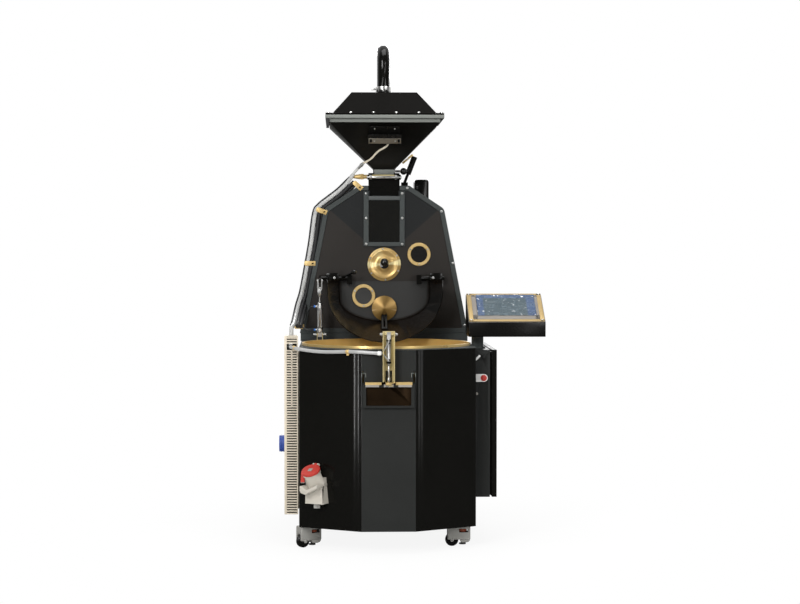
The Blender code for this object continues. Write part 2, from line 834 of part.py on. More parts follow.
def stirrer_motor():
    """The gear motor bolted under the tray's floor."""
    top = tray_floor() - TRAY_WALL - GAP
    gearbox = block(
        "stirrer_motor",
        (-GEARBOX_HALF_WIDTH, -GEARBOX_HALF_WIDTH, top - GEARBOX_HEIGHT),
        (GEARBOX_HALF_WIDTH, GEARBOX_HALF_WIDTH, top),
    )
    motor = bar(
        "stirrer_motor_body",
        (0, 0, top - GEARBOX_HEIGHT - STIRRER_MOTOR_LENGTH),
        (0, 0, top - GEARBOX_HEIGHT + LAP),
        STIRRER_MOTOR_RADIUS,
        helper=True,
    )
    bore = bar(
        "stirrer_bore",
        (0, 0, top - SHAFT_ENGAGEMENT - GAP),
        (0, 0, top + OVERRUN),
        bore_radius(STIRRER_SHAFT_RADIUS, TRAY_SIDES),
        TRAY_SIDES,
        helper=True,
    )
    finish(cut(join(gearbox, motor), bore), "cast grey")


STIRRER_ARMS = 3
STIRRER_HUB_RADIUS = 0.032
STIRRER_CLEARANCE = 0.009
STIRRER_HUB_BOTTOM = SIEVE_TOP + STIRRER_CLEARANCE
STIRRER_HUB_HEIGHT = 0.116
STIRRER_HUB_TOP = STIRRER_HUB_BOTTOM + STIRRER_HUB_HEIGHT
STIRRER_ARM_RADIUS = 0.009
STIRRER_ARM_DROP = 0.022
STIRRER_ARM_HEIGHT = STIRRER_HUB_TOP - STIRRER_ARM_DROP
STIRRER_SIDE_CLEARANCE = 0.018
STIRRER_REACH = TRAY_RADIUS - STIRRER_SIDE_CLEARANCE
PADDLE_LENGTH = 0.220
PADDLE_THICKNESS = 0.004
PADDLE_CLEARANCE = 0.008
PADDLE_BOTTOM = SIEVE_TOP + PADDLE_CLEARANCE


def stirrer():
    """Three arms with paddles that sweep the beans over the sieve."""
    spin = joint_frame("stirrer_axis", (0, 0, SIEVE_TOP))
    hub = turned(
        "stirrer",
        [
            (0, STIRRER_HUB_TOP),
            (STIRRER_SHAFT_RADIUS, STIRRER_HUB_TOP),
            (STIRRER_HUB_RADIUS, STIRRER_HUB_TOP - STIRRER_SHAFT_RADIUS / 2),
            (STIRRER_HUB_RADIUS, STIRRER_HUB_BOTTOM),
            (STIRRER_SHAFT_RADIUS, STIRRER_HUB_BOTTOM),
            (STIRRER_SHAFT_RADIUS, tray_floor() - TRAY_WALL - GAP - SHAFT_ENGAGEMENT),
            (0, tray_floor() - TRAY_WALL - GAP - SHAFT_ENGAGEMENT),
        ],
        (0, 0, 0),
        sides=LARGE_SIDES,
    )
    parts = []
    for n in range(STIRRER_ARMS):
        angle = math.tau * n / STIRRER_ARMS + math.pi / 2
        away = Vector((math.cos(angle), math.sin(angle), 0))
        level = Vector((0, 0, STIRRER_ARM_HEIGHT))
        parts.append(
            bar(
                f"stirrer_arm_{n}",
                level,
                away * STIRRER_REACH + level,
                STIRRER_ARM_RADIUS,
                TINY_SIDES,
                helper=True,
            )
        )
        paddle = block(
            f"paddle_{n}",
            (STIRRER_REACH - PADDLE_LENGTH, -PADDLE_THICKNESS / 2, PADDLE_BOTTOM),
            (STIRRER_REACH - STIRRER_ARM_RADIUS, PADDLE_THICKNESS / 2, STIRRER_ARM_HEIGHT),
            helper=True,
        )
        middle = Vector((paddle.location.x, 0, 0))
        paddle.location = away * middle.x + Vector((0, 0, paddle.location.z))
        paddle.rotation_euler.z = angle
        parts.append(paddle)
    join(hub, *parts)
    carry(spin, hub)
    finish(hub, "steel")


FAN_RADIUS = 0.160
FAN_CLEARANCE = 0.021
FAN_CENTRE_HEIGHT = CABINET_BOTTOM + FLOOR_PAN_HEIGHT + FAN_CLEARANCE + FAN_RADIUS
FAN_SETBACK = 0.170
FAN_FRONT = TRAY_RADIUS + FAN_SETBACK
FAN_DEPTH = 0.120
FAN_MOTOR_RADIUS = 0.070
FAN_MOTOR_LENGTH = 0.150
AIR_PIPE_RADIUS = 0.056
AIR_PIPE_SHARES = ((0.0, 1.0), (0.0, 0.7), (0.2, 0.15), (0.6, 0.0))


def cooling_fan():
    """The suction fan on the base frame, with its pipe from the tray's plenum."""
    axis = Vector((0, 0, FAN_CENTRE_HEIGHT))
    back = FAN_FRONT + FAN_DEPTH
    front = Vector((0, FAN_FRONT, 0))
    fan = bar("cooling_fan", axis + front, axis + Vector((0, back, 0)), FAN_RADIUS, LARGE_SIDES)
    motor = bar(
        "fan_motor",
        axis + Vector((0, back - LAP, 0)),
        axis + Vector((0, back + FAN_MOTOR_LENGTH, 0)),
        FAN_MOTOR_RADIUS,
        helper=True,
    )
    foot = block(
        "fan_foot",
        (
            -CABINET_HALF_WIDTH + FRAME_RAIL_WIDTH / 2,
            FAN_FRONT + LAP,
            CABINET_BOTTOM + FLOOR_PAN_HEIGHT + GAP,
        ),
        (
            CABINET_HALF_WIDTH - FRAME_RAIL_WIDTH / 2,
            back - LAP,
            FAN_CENTRE_HEIGHT - FAN_RADIUS + OVERRUN,
        ),
        helper=True,
    )
    top = tray_floor() - TRAY_WALL - GAP
    run = FAN_FRONT - AIR_HOLE_BACK
    fall = top - FAN_CENTRE_HEIGHT
    bends = [
        (0, AIR_HOLE_BACK + run * run_share, FAN_CENTRE_HEIGHT + fall * fall_share)
        for run_share, fall_share in AIR_PIPE_SHARES
    ]
    route = smooth_route([*bends, (0, FAN_FRONT + LAP, FAN_CENTRE_HEIGHT)], steps=3)
    pipe = meshed(tube("air_pipe", route, AIR_PIPE_RADIUS, helper=True), helper=True)
    trim = block(
        "air_pipe_trim",
        (-FAN_RADIUS, AIR_HOLE_BACK - FAN_RADIUS, top),
        (FAN_RADIUS, AIR_HOLE_BACK + FAN_RADIUS, top + OVERRUN),
        helper=True,
    )
    finish(cut(join(fan, motor, foot, pipe), trim), "cast grey")


# Tray outlet, its gate and the pneumatic cylinder that lifts it

GATE_PLATE_SHEET = 0.003
GATE_PLATE_BACK = 0.0025
GATE_SIDE_LAP = 0.004
GATE_CLEARANCE = 0.0006
LIP_HEIGHT = 0.010
LIP_DEPTH = 0.016
LIP_INNER = 0.0275
CHANNEL_HALF_WIDTH = 0.023
CHANNEL_SHEET = 0.003
CHANNEL_RISE = 0.012
CHANNEL_LENGTH = 0.193
CHANNEL_BOTTOM = OUTLET_FRAME_TOP + CHANNEL_RISE
CHANNEL_TOP = CHANNEL_BOTTOM + CHANNEL_LENGTH
CHANNEL_OFFSET = 0.001
SPACER_RISE = 0.052
SPACER_BOTTOM = CHANNEL_BOTTOM + SPACER_RISE
SPACER_HEIGHT = 0.062
SPACER_TOP = SPACER_BOTTOM + SPACER_HEIGHT
TAB_HALF_WIDTH = 0.012
CYLINDER_FORWARD = 0.025
CYLINDER_PIN_INSET = 0.012
CYLINDER_PIN_HEIGHT = CHANNEL_TOP - CYLINDER_PIN_INSET
CYLINDER_PIN_OVERHANG = 0.011
PIN_RADIUS = 0.004
BARREL_RADIUS = 0.010
BARREL_LENGTH = 0.094
BARREL_PIN_DROP = 0.017
BARREL_TOP = CYLINDER_PIN_HEIGHT - BARREL_PIN_DROP
BARREL_BOTTOM = BARREL_TOP - BARREL_LENGTH
ROD_RADIUS = 0.004
BORE_END = 0.006
EYE_HALF_WIDTH = 0.008
EYE_HEIGHT = 0.009
ROD_ENGAGEMENT = 0.035

GATE_BACK = FACET_FRONT - GATE_PLATE_BACK
GATE_FRONT = GATE_BACK - GATE_PLATE_SHEET
CHANNEL_BACK = GATE_FRONT - CHANNEL_OFFSET
GATE_CYLINDER_Y = FACET_FRONT - CYLINDER_FORWARD


def outlet_frame():
    """The spout of the tray: a duct through the shell with a frame in front, grooved for the gate."""
    front = FACET_FRONT - GAP - OUTLET_FRAME_DEPTH
    frame = block(
        "outlet_frame",
        (-OUTLET_FRAME_HALF_WIDTH, front, OUTLET_FRAME_BOTTOM),
        (OUTLET_FRAME_HALF_WIDTH, FACET_FRONT - GAP, OUTLET_FRAME_TOP),
    )
    duct = block(
        "outlet_duct",
        (-OUTLET_HALF_WIDTH - OUTLET_DUCT_WALL, FACET_FRONT - LAP, OUTLET_BOTTOM - OUTLET_DUCT_WALL),
        (OUTLET_HALF_WIDTH + OUTLET_DUCT_WALL, -TRAY_RADIUS + OVERRUN, OUTLET_TOP + OUTLET_DUCT_WALL),
        helper=True,
    )
    mouth = block(
        "outlet_mouth",
        (-OUTLET_HALF_WIDTH, front - OVERRUN, OUTLET_BOTTOM),
        (OUTLET_HALF_WIDTH, 0, OUTLET_TOP),
        helper=True,
    )
    groove_width = OUTLET_HALF_WIDTH + GATE_SIDE_LAP + GATE_CLEARANCE
    groove = block(
        "gate_groove",
        (-groove_width, GATE_FRONT - GATE_CLEARANCE, OUTLET_BOTTOM),
        (groove_width, GATE_BACK + GATE_CLEARANCE, OUTLET_FRAME_TOP + OVERRUN),
        helper=True,
    )
    tray = bar(
        "tray_space",
        (0, 0, OUTLET_FRAME_BOTTOM - OVERRUN),
        (0, 0, OUTLET_FRAME_TOP + OVERRUN),
        TRAY_RADIUS + GAP,
        TRAY_SIDES,
        helper=True,
    )
    finish(cut(join(frame, duct), tray, mouth, groove), "textured grey")


def outlet_gate():
    """The sliding plate with its brass lip, and the cylinder rod screwed to its tab."""
    slide = joint_frame("outlet_gate_slide", (0, GATE_CYLINDER_Y, OUTLET_BOTTOM))
    half = OUTLET_HALF_WIDTH + GATE_SIDE_LAP
    lip_bottom = OUTLET_FRAME_TOP + GAP
    lip_top = lip_bottom + LIP_HEIGHT
    gate_bottom = OUTLET_BOTTOM + GATE_CLEARANCE
    gate = block("outlet_gate", (-half, GATE_FRONT, gate_bottom), (half, GATE_BACK, lip_top))
    lips = [
        block(
            f"gate_lip_{n}",
            (min(side * LIP_INNER, side * half), GATE_FRONT - LIP_DEPTH, lip_bottom),
            (max(side * LIP_INNER, side * half), GATE_FRONT + LAP, lip_top - GAP),
            helper=True,
        )
        for n, side in enumerate((-1, 1))
    ]
    tab = block(
        "gate_tab",
        (-TAB_HALF_WIDTH, GATE_CYLINDER_Y - 2 * ROD_RADIUS, lip_bottom),
        (TAB_HALF_WIDTH, GATE_FRONT + LAP, lip_top - GAP),
        helper=True,
    )
    rod = bar(
        "gate_rod",
        (0, GATE_CYLINDER_Y, lip_bottom + LAP),
        (0, GATE_CYLINDER_Y, BARREL_BOTTOM + ROD_ENGAGEMENT),
        ROD_RADIUS,
        TINY_SIDES,
        helper=True,
    )
    join(gate, *lips, tab, rod)
    carry(slide, gate)
    finish(gate, "brass")


def gate_channel():
    """The brass channel that stands in front of the shell and holds the gate's cylinder by a cross pin."""
    half = CHANNEL_HALF_WIDTH
    channel = block("gate_channel", (-half, CHANNEL_FRONT, CHANNEL_BOTTOM), (half, CHANNEL_BACK, CHANNEL_TOP))
    inside = block(
        "channel_inside",
        (-half + CHANNEL_SHEET, CHANNEL_FRONT - OVERRUN, CHANNEL_BOTTOM - OVERRUN),
        (half - CHANNEL_SHEET, CHANNEL_BACK - CHANNEL_SHEET, CHANNEL_TOP + OVERRUN),
        helper=True,
    )
    notch = block(
        "tab_notch",
        (-TAB_HALF_WIDTH - GATE_CLEARANCE, CHANNEL_BACK - 2 * CHANNEL_SHEET, CHANNEL_BOTTOM - OVERRUN),
        (
            TAB_HALF_WIDTH + GATE_CLEARANCE,
            CHANNEL_BACK + OVERRUN,
            OUTLET_FRAME_TOP + LIP_HEIGHT + GATE_TRAVEL + LAP,
        ),
        helper=True,
    )
    spacer = block(
        "channel_spacer",
        (-half + CHANNEL_SHEET, CHANNEL_BACK - CHANNEL_SHEET / 2, SPACER_BOTTOM),
        (half - CHANNEL_SHEET, FACET_FRONT - GAP, SPACER_TOP),
        helper=True,
    )
    reach = half + CYLINDER_PIN_OVERHANG
    pin = bar(
        "channel_pin",
        (-reach, GATE_CYLINDER_Y, CYLINDER_PIN_HEIGHT),
        (reach, GATE_CYLINDER_Y, CYLINDER_PIN_HEIGHT),
        PIN_RADIUS,
        TINY_SIDES,
        helper=True,
    )
    finish(join(cut(channel, inside, notch), spacer, pin), "pale brass")


def cylinder_body(name, at, bottom, top, eye_height, bore_from, bore_to, radius):
    """A pneumatic cylinder's barrel, hung or stood on a pin by its eye, with a bore for the rod."""
    x, y = at
    barrel = bar(name, (x, y, bottom), (x, y, top), radius)
    inward = math.copysign(LAP, (bottom + top) / 2 - eye_height)
    seat = top if eye_height > top else bottom
    outer = eye_height - math.copysign(EYE_HEIGHT, inward)
    eye = block(
        name + "_eye",
        (x - EYE_HALF_WIDTH, y - EYE_HEIGHT, min(seat + inward, outer)),
        (x + EYE_HALF_WIDTH, y + EYE_HEIGHT, max(seat + inward, outer)),
        helper=True,
    )
    hole = bar(
        name + "_pin_hole",
        (x - EYE_HALF_WIDTH - OVERRUN, y, eye_height),
        (x + EYE_HALF_WIDTH + OVERRUN, y, eye_height),
        PIN_RADIUS + GAP,
        TINY_SIDES,
        helper=True,
    )
    bore = bar(name + "_bore", (x, y, bore_from), (x, y, bore_to), ROD_RADIUS + GAP, TINY_SIDES, helper=True)
    return cut(join(barrel, eye), hole, bore)


def gate_cylinder():
    barrel = cylinder_body(
        "gate_cylinder",
        (0, GATE_CYLINDER_Y),
        BARREL_BOTTOM,
        BARREL_TOP,
        CYLINDER_PIN_HEIGHT,
        BARREL_BOTTOM - OVERRUN,
        BARREL_TOP - BORE_END,
        BARREL_RADIUS,
    )
    finish(barrel, "steel")


# The air hose along the tray's rim: a held hose, its points chosen by hand

HOSE_RADIUS = 0.007
HOSE_ROUTE = [
    (-0.3780, -0.1610, 0.7850),
    (-0.3765, -0.2000, 0.7845),
    (-0.3610, -0.2360, 0.7815),
    (-0.3100, -0.2590, 0.7740),
    (-0.2600, -0.2865, 0.7705),
    (-0.2100, -0.3145, 0.7710),
    (-0.1580, -0.3450, 0.7735),
    (-0.1150, -0.3690, 0.7735),
    (-0.0800, -0.3760, 0.7715),
    (-0.0420, -0.3830, 0.7695),
    (-0.0260, -0.3850, 0.7690),
]


def front_hose():
    hose = tube("front_hose", smooth_route(HOSE_ROUTE, steps=3), HOSE_RADIUS, resolution=2)
    finish(hose, "pale hose")


# Roasting head

ARC_STEPS = 14
CHARGE_OPENING_SHARE = 0.060 / 0.065
CHARGE_OPENING_SILL = 0.026
CHARGE_OPENING_BOTTOM = CHARGE_FRAME_BOTTOM + CHARGE_OPENING_SILL
GLASS_HOLE_RADIUS = 0.0345
RIGHT_GLASS_X = 0.146
RIGHT_GLASS_RISE = 0.042
LEFT_GLASS_X = -0.086
LEFT_GLASS_DROP = 0.056
RIGHT_GLASS = Vector((RIGHT_GLASS_X, DRUM_AXIS_HEIGHT + RIGHT_GLASS_RISE))
LEFT_GLASS = Vector((LEFT_GLASS_X, HALF_MOON_TOP - LEFT_GLASS_DROP))
SLEEVE_RADIUS = 0.030


def half_moon(half_width, top, bottom, steps=ARC_STEPS):
    """A flat-topped half ellipse, from its right end round the bottom to its left end."""
    angles = [math.pi * n / steps for n in range(steps + 1)]
    return [(half_width * math.cos(a), top - (top - bottom) * math.sin(a)) for a in angles]


def crown_notch(half_width, bottom, front, back, name):
    """The gap in the head's crown through which the charge neck comes down."""
    top = HEAD_CROWN_HEIGHT + OVERRUN
    return block(name, (-half_width, front, bottom), (half_width, back, top), helper=True)


def head_border():
    """The raised flange round the face."""
    inner = head_outline(BORDER_WIDTH)
    border = plate(
        "head_border",
        [head_outline(), inner],
        BORDER_DEPTH,
        (0, HEAD_FRONT + BORDER_DEPTH / 2, 0),
        facing="front",
    )
    notch = crown_notch(
        NECK_HALF_WIDTH + GAP,
        HEAD_CROWN_HEIGHT - BORDER_WIDTH * 2,
        HEAD_FRONT - OVERRUN,
        HEAD_FRONT + BORDER_DEPTH + OVERRUN,
        "border_notch",
    )
    finish(cut(border, notch), "textured grey")


def face_panel():
    """The face plate inside the border, with its openings."""
    holes = [
        half_moon(HALF_MOON_HALF_WIDTH, HALF_MOON_TOP, HALF_MOON_BOTTOM),
        circle(SLEEVE_RADIUS + GAP, LARGE_SIDES, (0, DRUM_AXIS_HEIGHT)),
        circle(GLASS_HOLE_RADIUS, LARGE_SIDES, RIGHT_GLASS),
    ]
    panel = plate(
        "face_panel",
        [head_outline(BORDER_WIDTH + GAP), *holes],
        PANEL_SHEET,
        (0, FACE + PANEL_SHEET / 2, 0),
        facing="front",
    )
    opening = crown_notch(
        NECK_HALF_WIDTH * CHARGE_OPENING_SHARE,
        CHARGE_OPENING_BOTTOM,
        FACE - OVERRUN,
        FACE + OVERRUN,
        "charge_opening",
    )
    finish(cut(panel, opening), "satin grey")


def head_shell():
    """The insulated housing round the drum, open at the front and the back."""
    front = HEAD_FRONT + BORDER_DEPTH + GAP
    shell = plate(
        "head_shell",
        [head_outline(), head_outline(HEAD_WALL)],
        HEAD_BACK - front,
        (0, (front + HEAD_BACK) / 2, 0),
        facing="front",
    )
    roof_hole = crown_notch(
        NECK_HALF_WIDTH + GAP,
        HEAD_CROWN_HEIGHT - 2 * HEAD_WALL,
        front - OVERRUN,
        FACE + PANEL_SHEET + NECK_DEPTH + 2 * GAP,
        "roof_hole",
    )
    finish(cut(shell, roof_hole), "gloss black")


BACK_SHEET = 0.006
BACK_BOSS_RADIUS = 0.045
BACK_BOSS_DEPTH = 0.012


def head_back():
    """The back plate of the head, with the rear bearing of the drum."""
    front = HEAD_BACK + GAP
    bore = bore_radius(DRUM_SHAFT_RADIUS, SMALL_SIDES)
    back = plate(
        "head_back", [head_outline()], BACK_SHEET, (0, front + BACK_SHEET / 2, 0), facing="front"
    )
    boss = bar(
        "rear_bearing",
        DRUM_AXIS + Vector((0, front - BACK_BOSS_DEPTH, 0)),
        DRUM_AXIS + Vector((0, front + LAP, 0)),
        BACK_BOSS_RADIUS,
        helper=True,
    )
    hole = bar(
        "rear_bore",
        DRUM_AXIS + Vector((0, front - BACK_BOSS_DEPTH - OVERRUN, 0)),
        DRUM_AXIS + Vector((0, front + BACK_SHEET + OVERRUN, 0)),
        bore,
        helper=True,
    )
    finish(cut(join(back, boss), hole), "gloss black")


DRUM_GEARBOX_HALF_WIDTH = 0.065
DRUM_GEARBOX_DEPTH = 0.080
DRUM_MOTOR_RADIUS = 0.052


def drum_motor():
    """The gear motor behind the head, which turns the drum's shaft."""
    front = HEAD_BACK + BACK_SHEET + 2 * GAP
    half = DRUM_GEARBOX_HALF_WIDTH
    gearbox = block(
        "drum_motor",
        (-half, front, DRUM_AXIS_HEIGHT - half),
        (half, front + DRUM_GEARBOX_DEPTH, DRUM_AXIS_HEIGHT + half),
    )
    motor = bar(
        "drum_motor_body",
        DRUM_AXIS + Vector((0, front + DRUM_GEARBOX_DEPTH - LAP, 0)),
        DRUM_AXIS + Vector((0, MOTOR_BACK, 0)),
        DRUM_MOTOR_RADIUS,
        helper=True,
    )
    bore = bar(
        "drum_motor_bore",
        DRUM_AXIS + Vector((0, front - OVERRUN, 0)),
        DRUM_AXIS + Vector((0, front + DRUM_GEARBOX_DEPTH / 2 + GAP, 0)),
        bore_radius(DRUM_SHAFT_RADIUS, SMALL_SIDES),
        helper=True,
    )
    finish(cut(join(gearbox, motor), bore), "cast grey")


SPOKES = 3
SPOKE_RADIUS = 0.009
FRONT_RING_WALL = 0.010
FRONT_RING_LENGTH = 0.030
VANES = 4
VANE_HEIGHT = 0.045
VANE_THICKNESS = 0.004
DRUM_END_SHEET = 0.006


def roasting_drum():
    """The drum: open in front, a back disc on the shaft, a front ring on spokes, and mixing vanes."""
    spin = joint_frame("drum_axis", (0, DRUM_BACK, DRUM_AXIS_HEIGHT))
    inner = DRUM_RADIUS - DRUM_WALL
    length = DRUM_BACK - DRUM_FRONT
    shaft_end = HEAD_BACK + BACK_SHEET + 2 * GAP + DRUM_GEARBOX_DEPTH / 2
    shaft_start = DRUM_BACK - DRUM_END_SHEET
    drum = turned(
        "roasting_drum",
        [
            (0, DRUM_BACK - shaft_start),
            (inner, DRUM_BACK - shaft_start),
            (inner, length),
            (DRUM_RADIUS, length),
            (DRUM_RADIUS, 0),
            (DRUM_SHAFT_RADIUS, 0),
            (DRUM_SHAFT_RADIUS, DRUM_BACK - shaft_end),
            (0, DRUM_BACK - shaft_end),
        ],
        (0, DRUM_BACK, DRUM_AXIS_HEIGHT),
        facing="front",
    )
    ring_inner = bore_radius(SLEEVE_RADIUS, LARGE_SIDES)
    ring = turned(
        "drum_front_ring",
        [
            (ring_inner + FRONT_RING_WALL, FRONT_RING_LENGTH),
            (ring_inner + FRONT_RING_WALL, 0),
            (ring_inner, 0),
            (ring_inner, FRONT_RING_LENGTH),
        ],
        (0, DRUM_FRONT + FRONT_RING_LENGTH, DRUM_AXIS_HEIGHT),
        facing="front",
        helper=True,
    )
    parts = [ring]
    for n in range(SPOKES):
        angle = math.tau * n / SPOKES + math.pi / 2
        away = Vector((math.cos(angle), 0, math.sin(angle)))
        middle = DRUM_AXIS + Vector((0, DRUM_FRONT + FRONT_RING_LENGTH / 2, 0))
        parts.append(
            bar(
                f"drum_spoke_{n}",
                middle + away * (ring_inner + FRONT_RING_WALL / 2),
                middle + away * (inner + DRUM_WALL / 2),
                SPOKE_RADIUS,
                TINY_SIDES,
                helper=True,
            )
        )
    for n in range(VANES):
        angle = math.tau * (n + 0.5) / VANES + math.pi / 2
        vane = block(
            f"drum_vane_{n}",
            (inner - VANE_HEIGHT, DRUM_FRONT + FRONT_RING_LENGTH, -VANE_THICKNESS / 2),
            (inner + DRUM_WALL / 2, DRUM_BACK - DRUM_END_SHEET / 2, VANE_THICKNESS / 2),
            helper=True,
        )
        arm, depth = vane.location.x, vane.location.y
        vane.location = DRUM_AXIS + Vector((arm * math.cos(angle), depth, arm * math.sin(angle)))
        vane.rotation_euler.y = -angle
        parts.append(vane)
    join(drum, *parts)
    carry(spin, drum)
    finish(drum, "steel")


BURNER_HALF_WIDTH = 0.120
BURNER_INSET = 0.040
BURNER_FRONT = DRUM_FRONT + BURNER_INSET
BURNER_BACK_INSET = 0.035
BURNER_BACK = DRUM_BACK - BURNER_BACK_INSET
BURNER_TRAY_HEIGHT = 0.008
BURNER_TUBE_RADIUS = 0.009
BURNER_TUBES = 3


def gas_burner():
    """The burner under the drum: three flame tubes on a pan."""
    floor = HEAD_BOTTOM + HEAD_WALL + GAP
    pan = block(
        "gas_burner",
        (-BURNER_HALF_WIDTH, BURNER_FRONT, floor),
        (BURNER_HALF_WIDTH, BURNER_BACK, floor + BURNER_TRAY_HEIGHT),
    )
    tubes = []
    for n in range(BURNER_TUBES):
        x = BURNER_HALF_WIDTH * (2 * (n + 0.5) / BURNER_TUBES - 1)
        height = BURNER_TOP - BURNER_TUBE_RADIUS
        tubes.append(
            bar(
                f"burner_tube_{n}",
                (x, BURNER_FRONT + LAP, height),
                (x, BURNER_BACK - LAP, height),
                BURNER_TUBE_RADIUS,
                TINY_SIDES,
                helper=True,
            )
        )
    finish(join(pan, *tubes), "steel")


# Front bearing, sampler and sight glasses

COVER_EDGE = 0.005
COVER_RIDGE_RADIUS = 0.060
COVER_RIDGE_HEIGHT = 0.011
COVER_HUB_RADIUS = 0.024
COVER_HUB_HEIGHT = 0.016
SLEEVE_REACH = 0.028
SLEEVE_END = DRUM_FRONT + SLEEVE_REACH
SAMPLER_RADIUS = 0.0145
SAMPLER_LENGTH = 0.230
SAMPLER_SCOOP_LENGTH = 0.130
SAMPLER_WALL = 0.0025
SAMPLER_STEM_RADIUS = 0.006
SAMPLER_SHOULDER_RADIUS = 0.019
KNOB_RADIUS = 0.017
KNOB_LIFT = 0.009
KNOB_FORWARD = 0.016


def bearing_cover():
    """The brass cover of the front bearing, with the sleeve that the drum's front ring turns on."""
    bore = SAMPLER_RADIUS + GAP
    sleeve = -(SLEEVE_END - FACE)
    dip = COVER_RIDGE_HEIGHT - COVER_EDGE / 2
    cover = turned(
        "bearing_cover",
        [
            (COVER_HUB_RADIUS, COVER_HUB_HEIGHT),
            (COVER_HUB_RADIUS + COVER_EDGE / 2, dip),
            (COVER_RIDGE_RADIUS - COVER_EDGE, dip),
            (COVER_RIDGE_RADIUS - COVER_EDGE / 2, COVER_RIDGE_HEIGHT),
            (COVER_RIDGE_RADIUS, COVER_EDGE),
            (COVER_RADIUS - COVER_EDGE / 5, COVER_EDGE),
            (COVER_RADIUS, COVER_EDGE * 4 / 5),
            (COVER_RADIUS, GAP),
            (SLEEVE_RADIUS, GAP),
            (SLEEVE_RADIUS, sleeve),
            (bore, sleeve),
            (bore, COVER_HUB_HEIGHT),
        ],
        (0, FACE, DRUM_AXIS_HEIGHT),
        facing="front",
    )
    finish(cover, "brass")


def sampler():
    """The scoop that slides out through the front bearing, with its black knob."""
    slide = joint_frame("sampler_slide", (0, FACE, DRUM_AXIS_HEIGHT))
    front = FACE - COVER_HUB_HEIGHT - GAP
    root, tip = Vector((0, front - LAP, 0)), Vector((0, front + SAMPLER_LENGTH, 0))
    rod = bar("sampler", DRUM_AXIS + root, DRUM_AXIS + tip,
              SAMPLER_RADIUS)
    shoulder = bar(
        "sampler_shoulder",
        DRUM_AXIS + Vector((0, front - COVER_EDGE, 0)),
        DRUM_AXIS + Vector((0, front, 0)),
        SAMPLER_SHOULDER_RADIUS,
        helper=True,
    )
    knob_centre = DRUM_AXIS + Vector((0, front - COVER_EDGE - KNOB_FORWARD, KNOB_LIFT))
    stem = bar(
        "sampler_stem", DRUM_AXIS + Vector((0, front - LAP, 0)), knob_centre, SAMPLER_STEM_RADIUS, TINY_SIDES,
        helper=True,
    )
    knob = ball("sampler_knob", knob_centre, KNOB_RADIUS, helper=True)
    scoop_end = front + SAMPLER_LENGTH - SAMPLER_WALL
    scoop = bar(
        "scoop_space",
        DRUM_AXIS + Vector((0, scoop_end - SAMPLER_SCOOP_LENGTH, 0)),
        DRUM_AXIS + Vector((0, scoop_end, 0)),
        SAMPLER_RADIUS - SAMPLER_WALL,
        helper=True,
    )
    top = block(
        "scoop_top",
        (-SAMPLER_RADIUS, scoop_end - SAMPLER_SCOOP_LENGTH, DRUM_AXIS_HEIGHT + SAMPLER_WALL),
        (SAMPLER_RADIUS, scoop_end, DRUM_AXIS_HEIGHT + SAMPLER_RADIUS + OVERRUN),
        helper=True,
    )
    carry(slide, finish(cut(join(rod, shoulder, stem, knob), scoop, top), "steel"))


GLASS_RING_RADIUS = 0.0486
GLASS_RING_DEPTH = 0.006
GLASS_RING_BEVEL = 0.0015
PANE_DEPTH = 0.003


def sight_glass(name, centre, back):
    """A brass ring with a glass pane across it, facing the front."""
    depth = GLASS_RING_DEPTH
    inner = GLASS_HOLE_RADIUS
    ring = turned(
        name,
        [
            (0, PANE_DEPTH),
            (inner, PANE_DEPTH),
            (inner, depth - GLASS_RING_BEVEL),
            (inner + GLASS_RING_BEVEL, depth),
            (GLASS_RING_RADIUS - GLASS_RING_BEVEL, depth),
            (GLASS_RING_RADIUS, depth - GLASS_RING_BEVEL),
            (GLASS_RING_RADIUS, 0),
            (0, 0),
        ],
        (centre.x, back - GAP, centre.y),
        facing="front",
    )
    return finish(ring, "brass")


# Discharge chute and door

CHUTE_REACH = 0.140
CHUTE_FRONT = TRAY_RADIUS - CHUTE_REACH
CHUTE_SIDE_MARGIN = 0.028
CHUTE_BACK_HALF_WIDTH = HALF_MOON_HALF_WIDTH + CHUTE_SIDE_MARGIN
CHUTE_BACK_BEND = 0.095
CHUTE_BACK_STRAIGHT = CHUTE_BACK_BOTTOM + CHUTE_BACK_BEND
CHUTE_SPREAD = 0.051
CHUTE_FRONT_HALF_WIDTH = CHUTE_BACK_HALF_WIDTH + CHUTE_SPREAD
CHUTE_DIP = 0.012
CHUTE_FRONT_BOTTOM = TRAY_RIM_TOP - CHUTE_DIP
CHUTE_FRONT_BEND = 0.209
CHUTE_FRONT_STRAIGHT = CHUTE_FRONT_BOTTOM + CHUTE_FRONT_BEND
CHUTE_SHEET = 0.0035
BEARING_RADIUS = 0.0125
BEARING_REACH = 0.007
BEARING_OUTER = CHUTE_FRONT_HALF_WIDTH + BEARING_REACH
SHAFT_END = 0.004
SHAFT_RIGHT = BEARING_OUTER + SHAFT_END
DOOR_SHEET = 0.005
DOOR_MARGIN = 0.006
DOOR_LAP = 0.0045
DOOR_TOP = HALF_MOON_TOP + DOOR_LAP
DOOR_BOTTOM_LAP = 0.016
DOOR_BOTTOM = HALF_MOON_BOTTOM - DOOR_BOTTOM_LAP
LUG_SPREAD = 0.145
LUG_HALF_WIDTH = 0.010
LUG_HALF_HEIGHT = 0.014
LUG_DROP = 0.024
WEIGHT_RADIUS = 0.052
WEIGHT_RISE = 0.031
WEIGHT_HEIGHT = HALF_MOON_BOTTOM + WEIGHT_RISE
WEIGHT_DEPTH = 0.019
WEIGHT_EDGE = 0.003
WEIGHT_STANDOFF = 0.010
WEIGHT_BOSS_RADIUS = 0.012
HANDLE_SPREAD = 0.0075
HANDLE_RADIUS = 0.004
HANDLE_DROP = 0.031
HANDLE_TOP = WEIGHT_HEIGHT - HANDLE_DROP
HANDLE_LENGTH = 0.050
HANDLE_BOTTOM = HANDLE_TOP - HANDLE_LENGTH
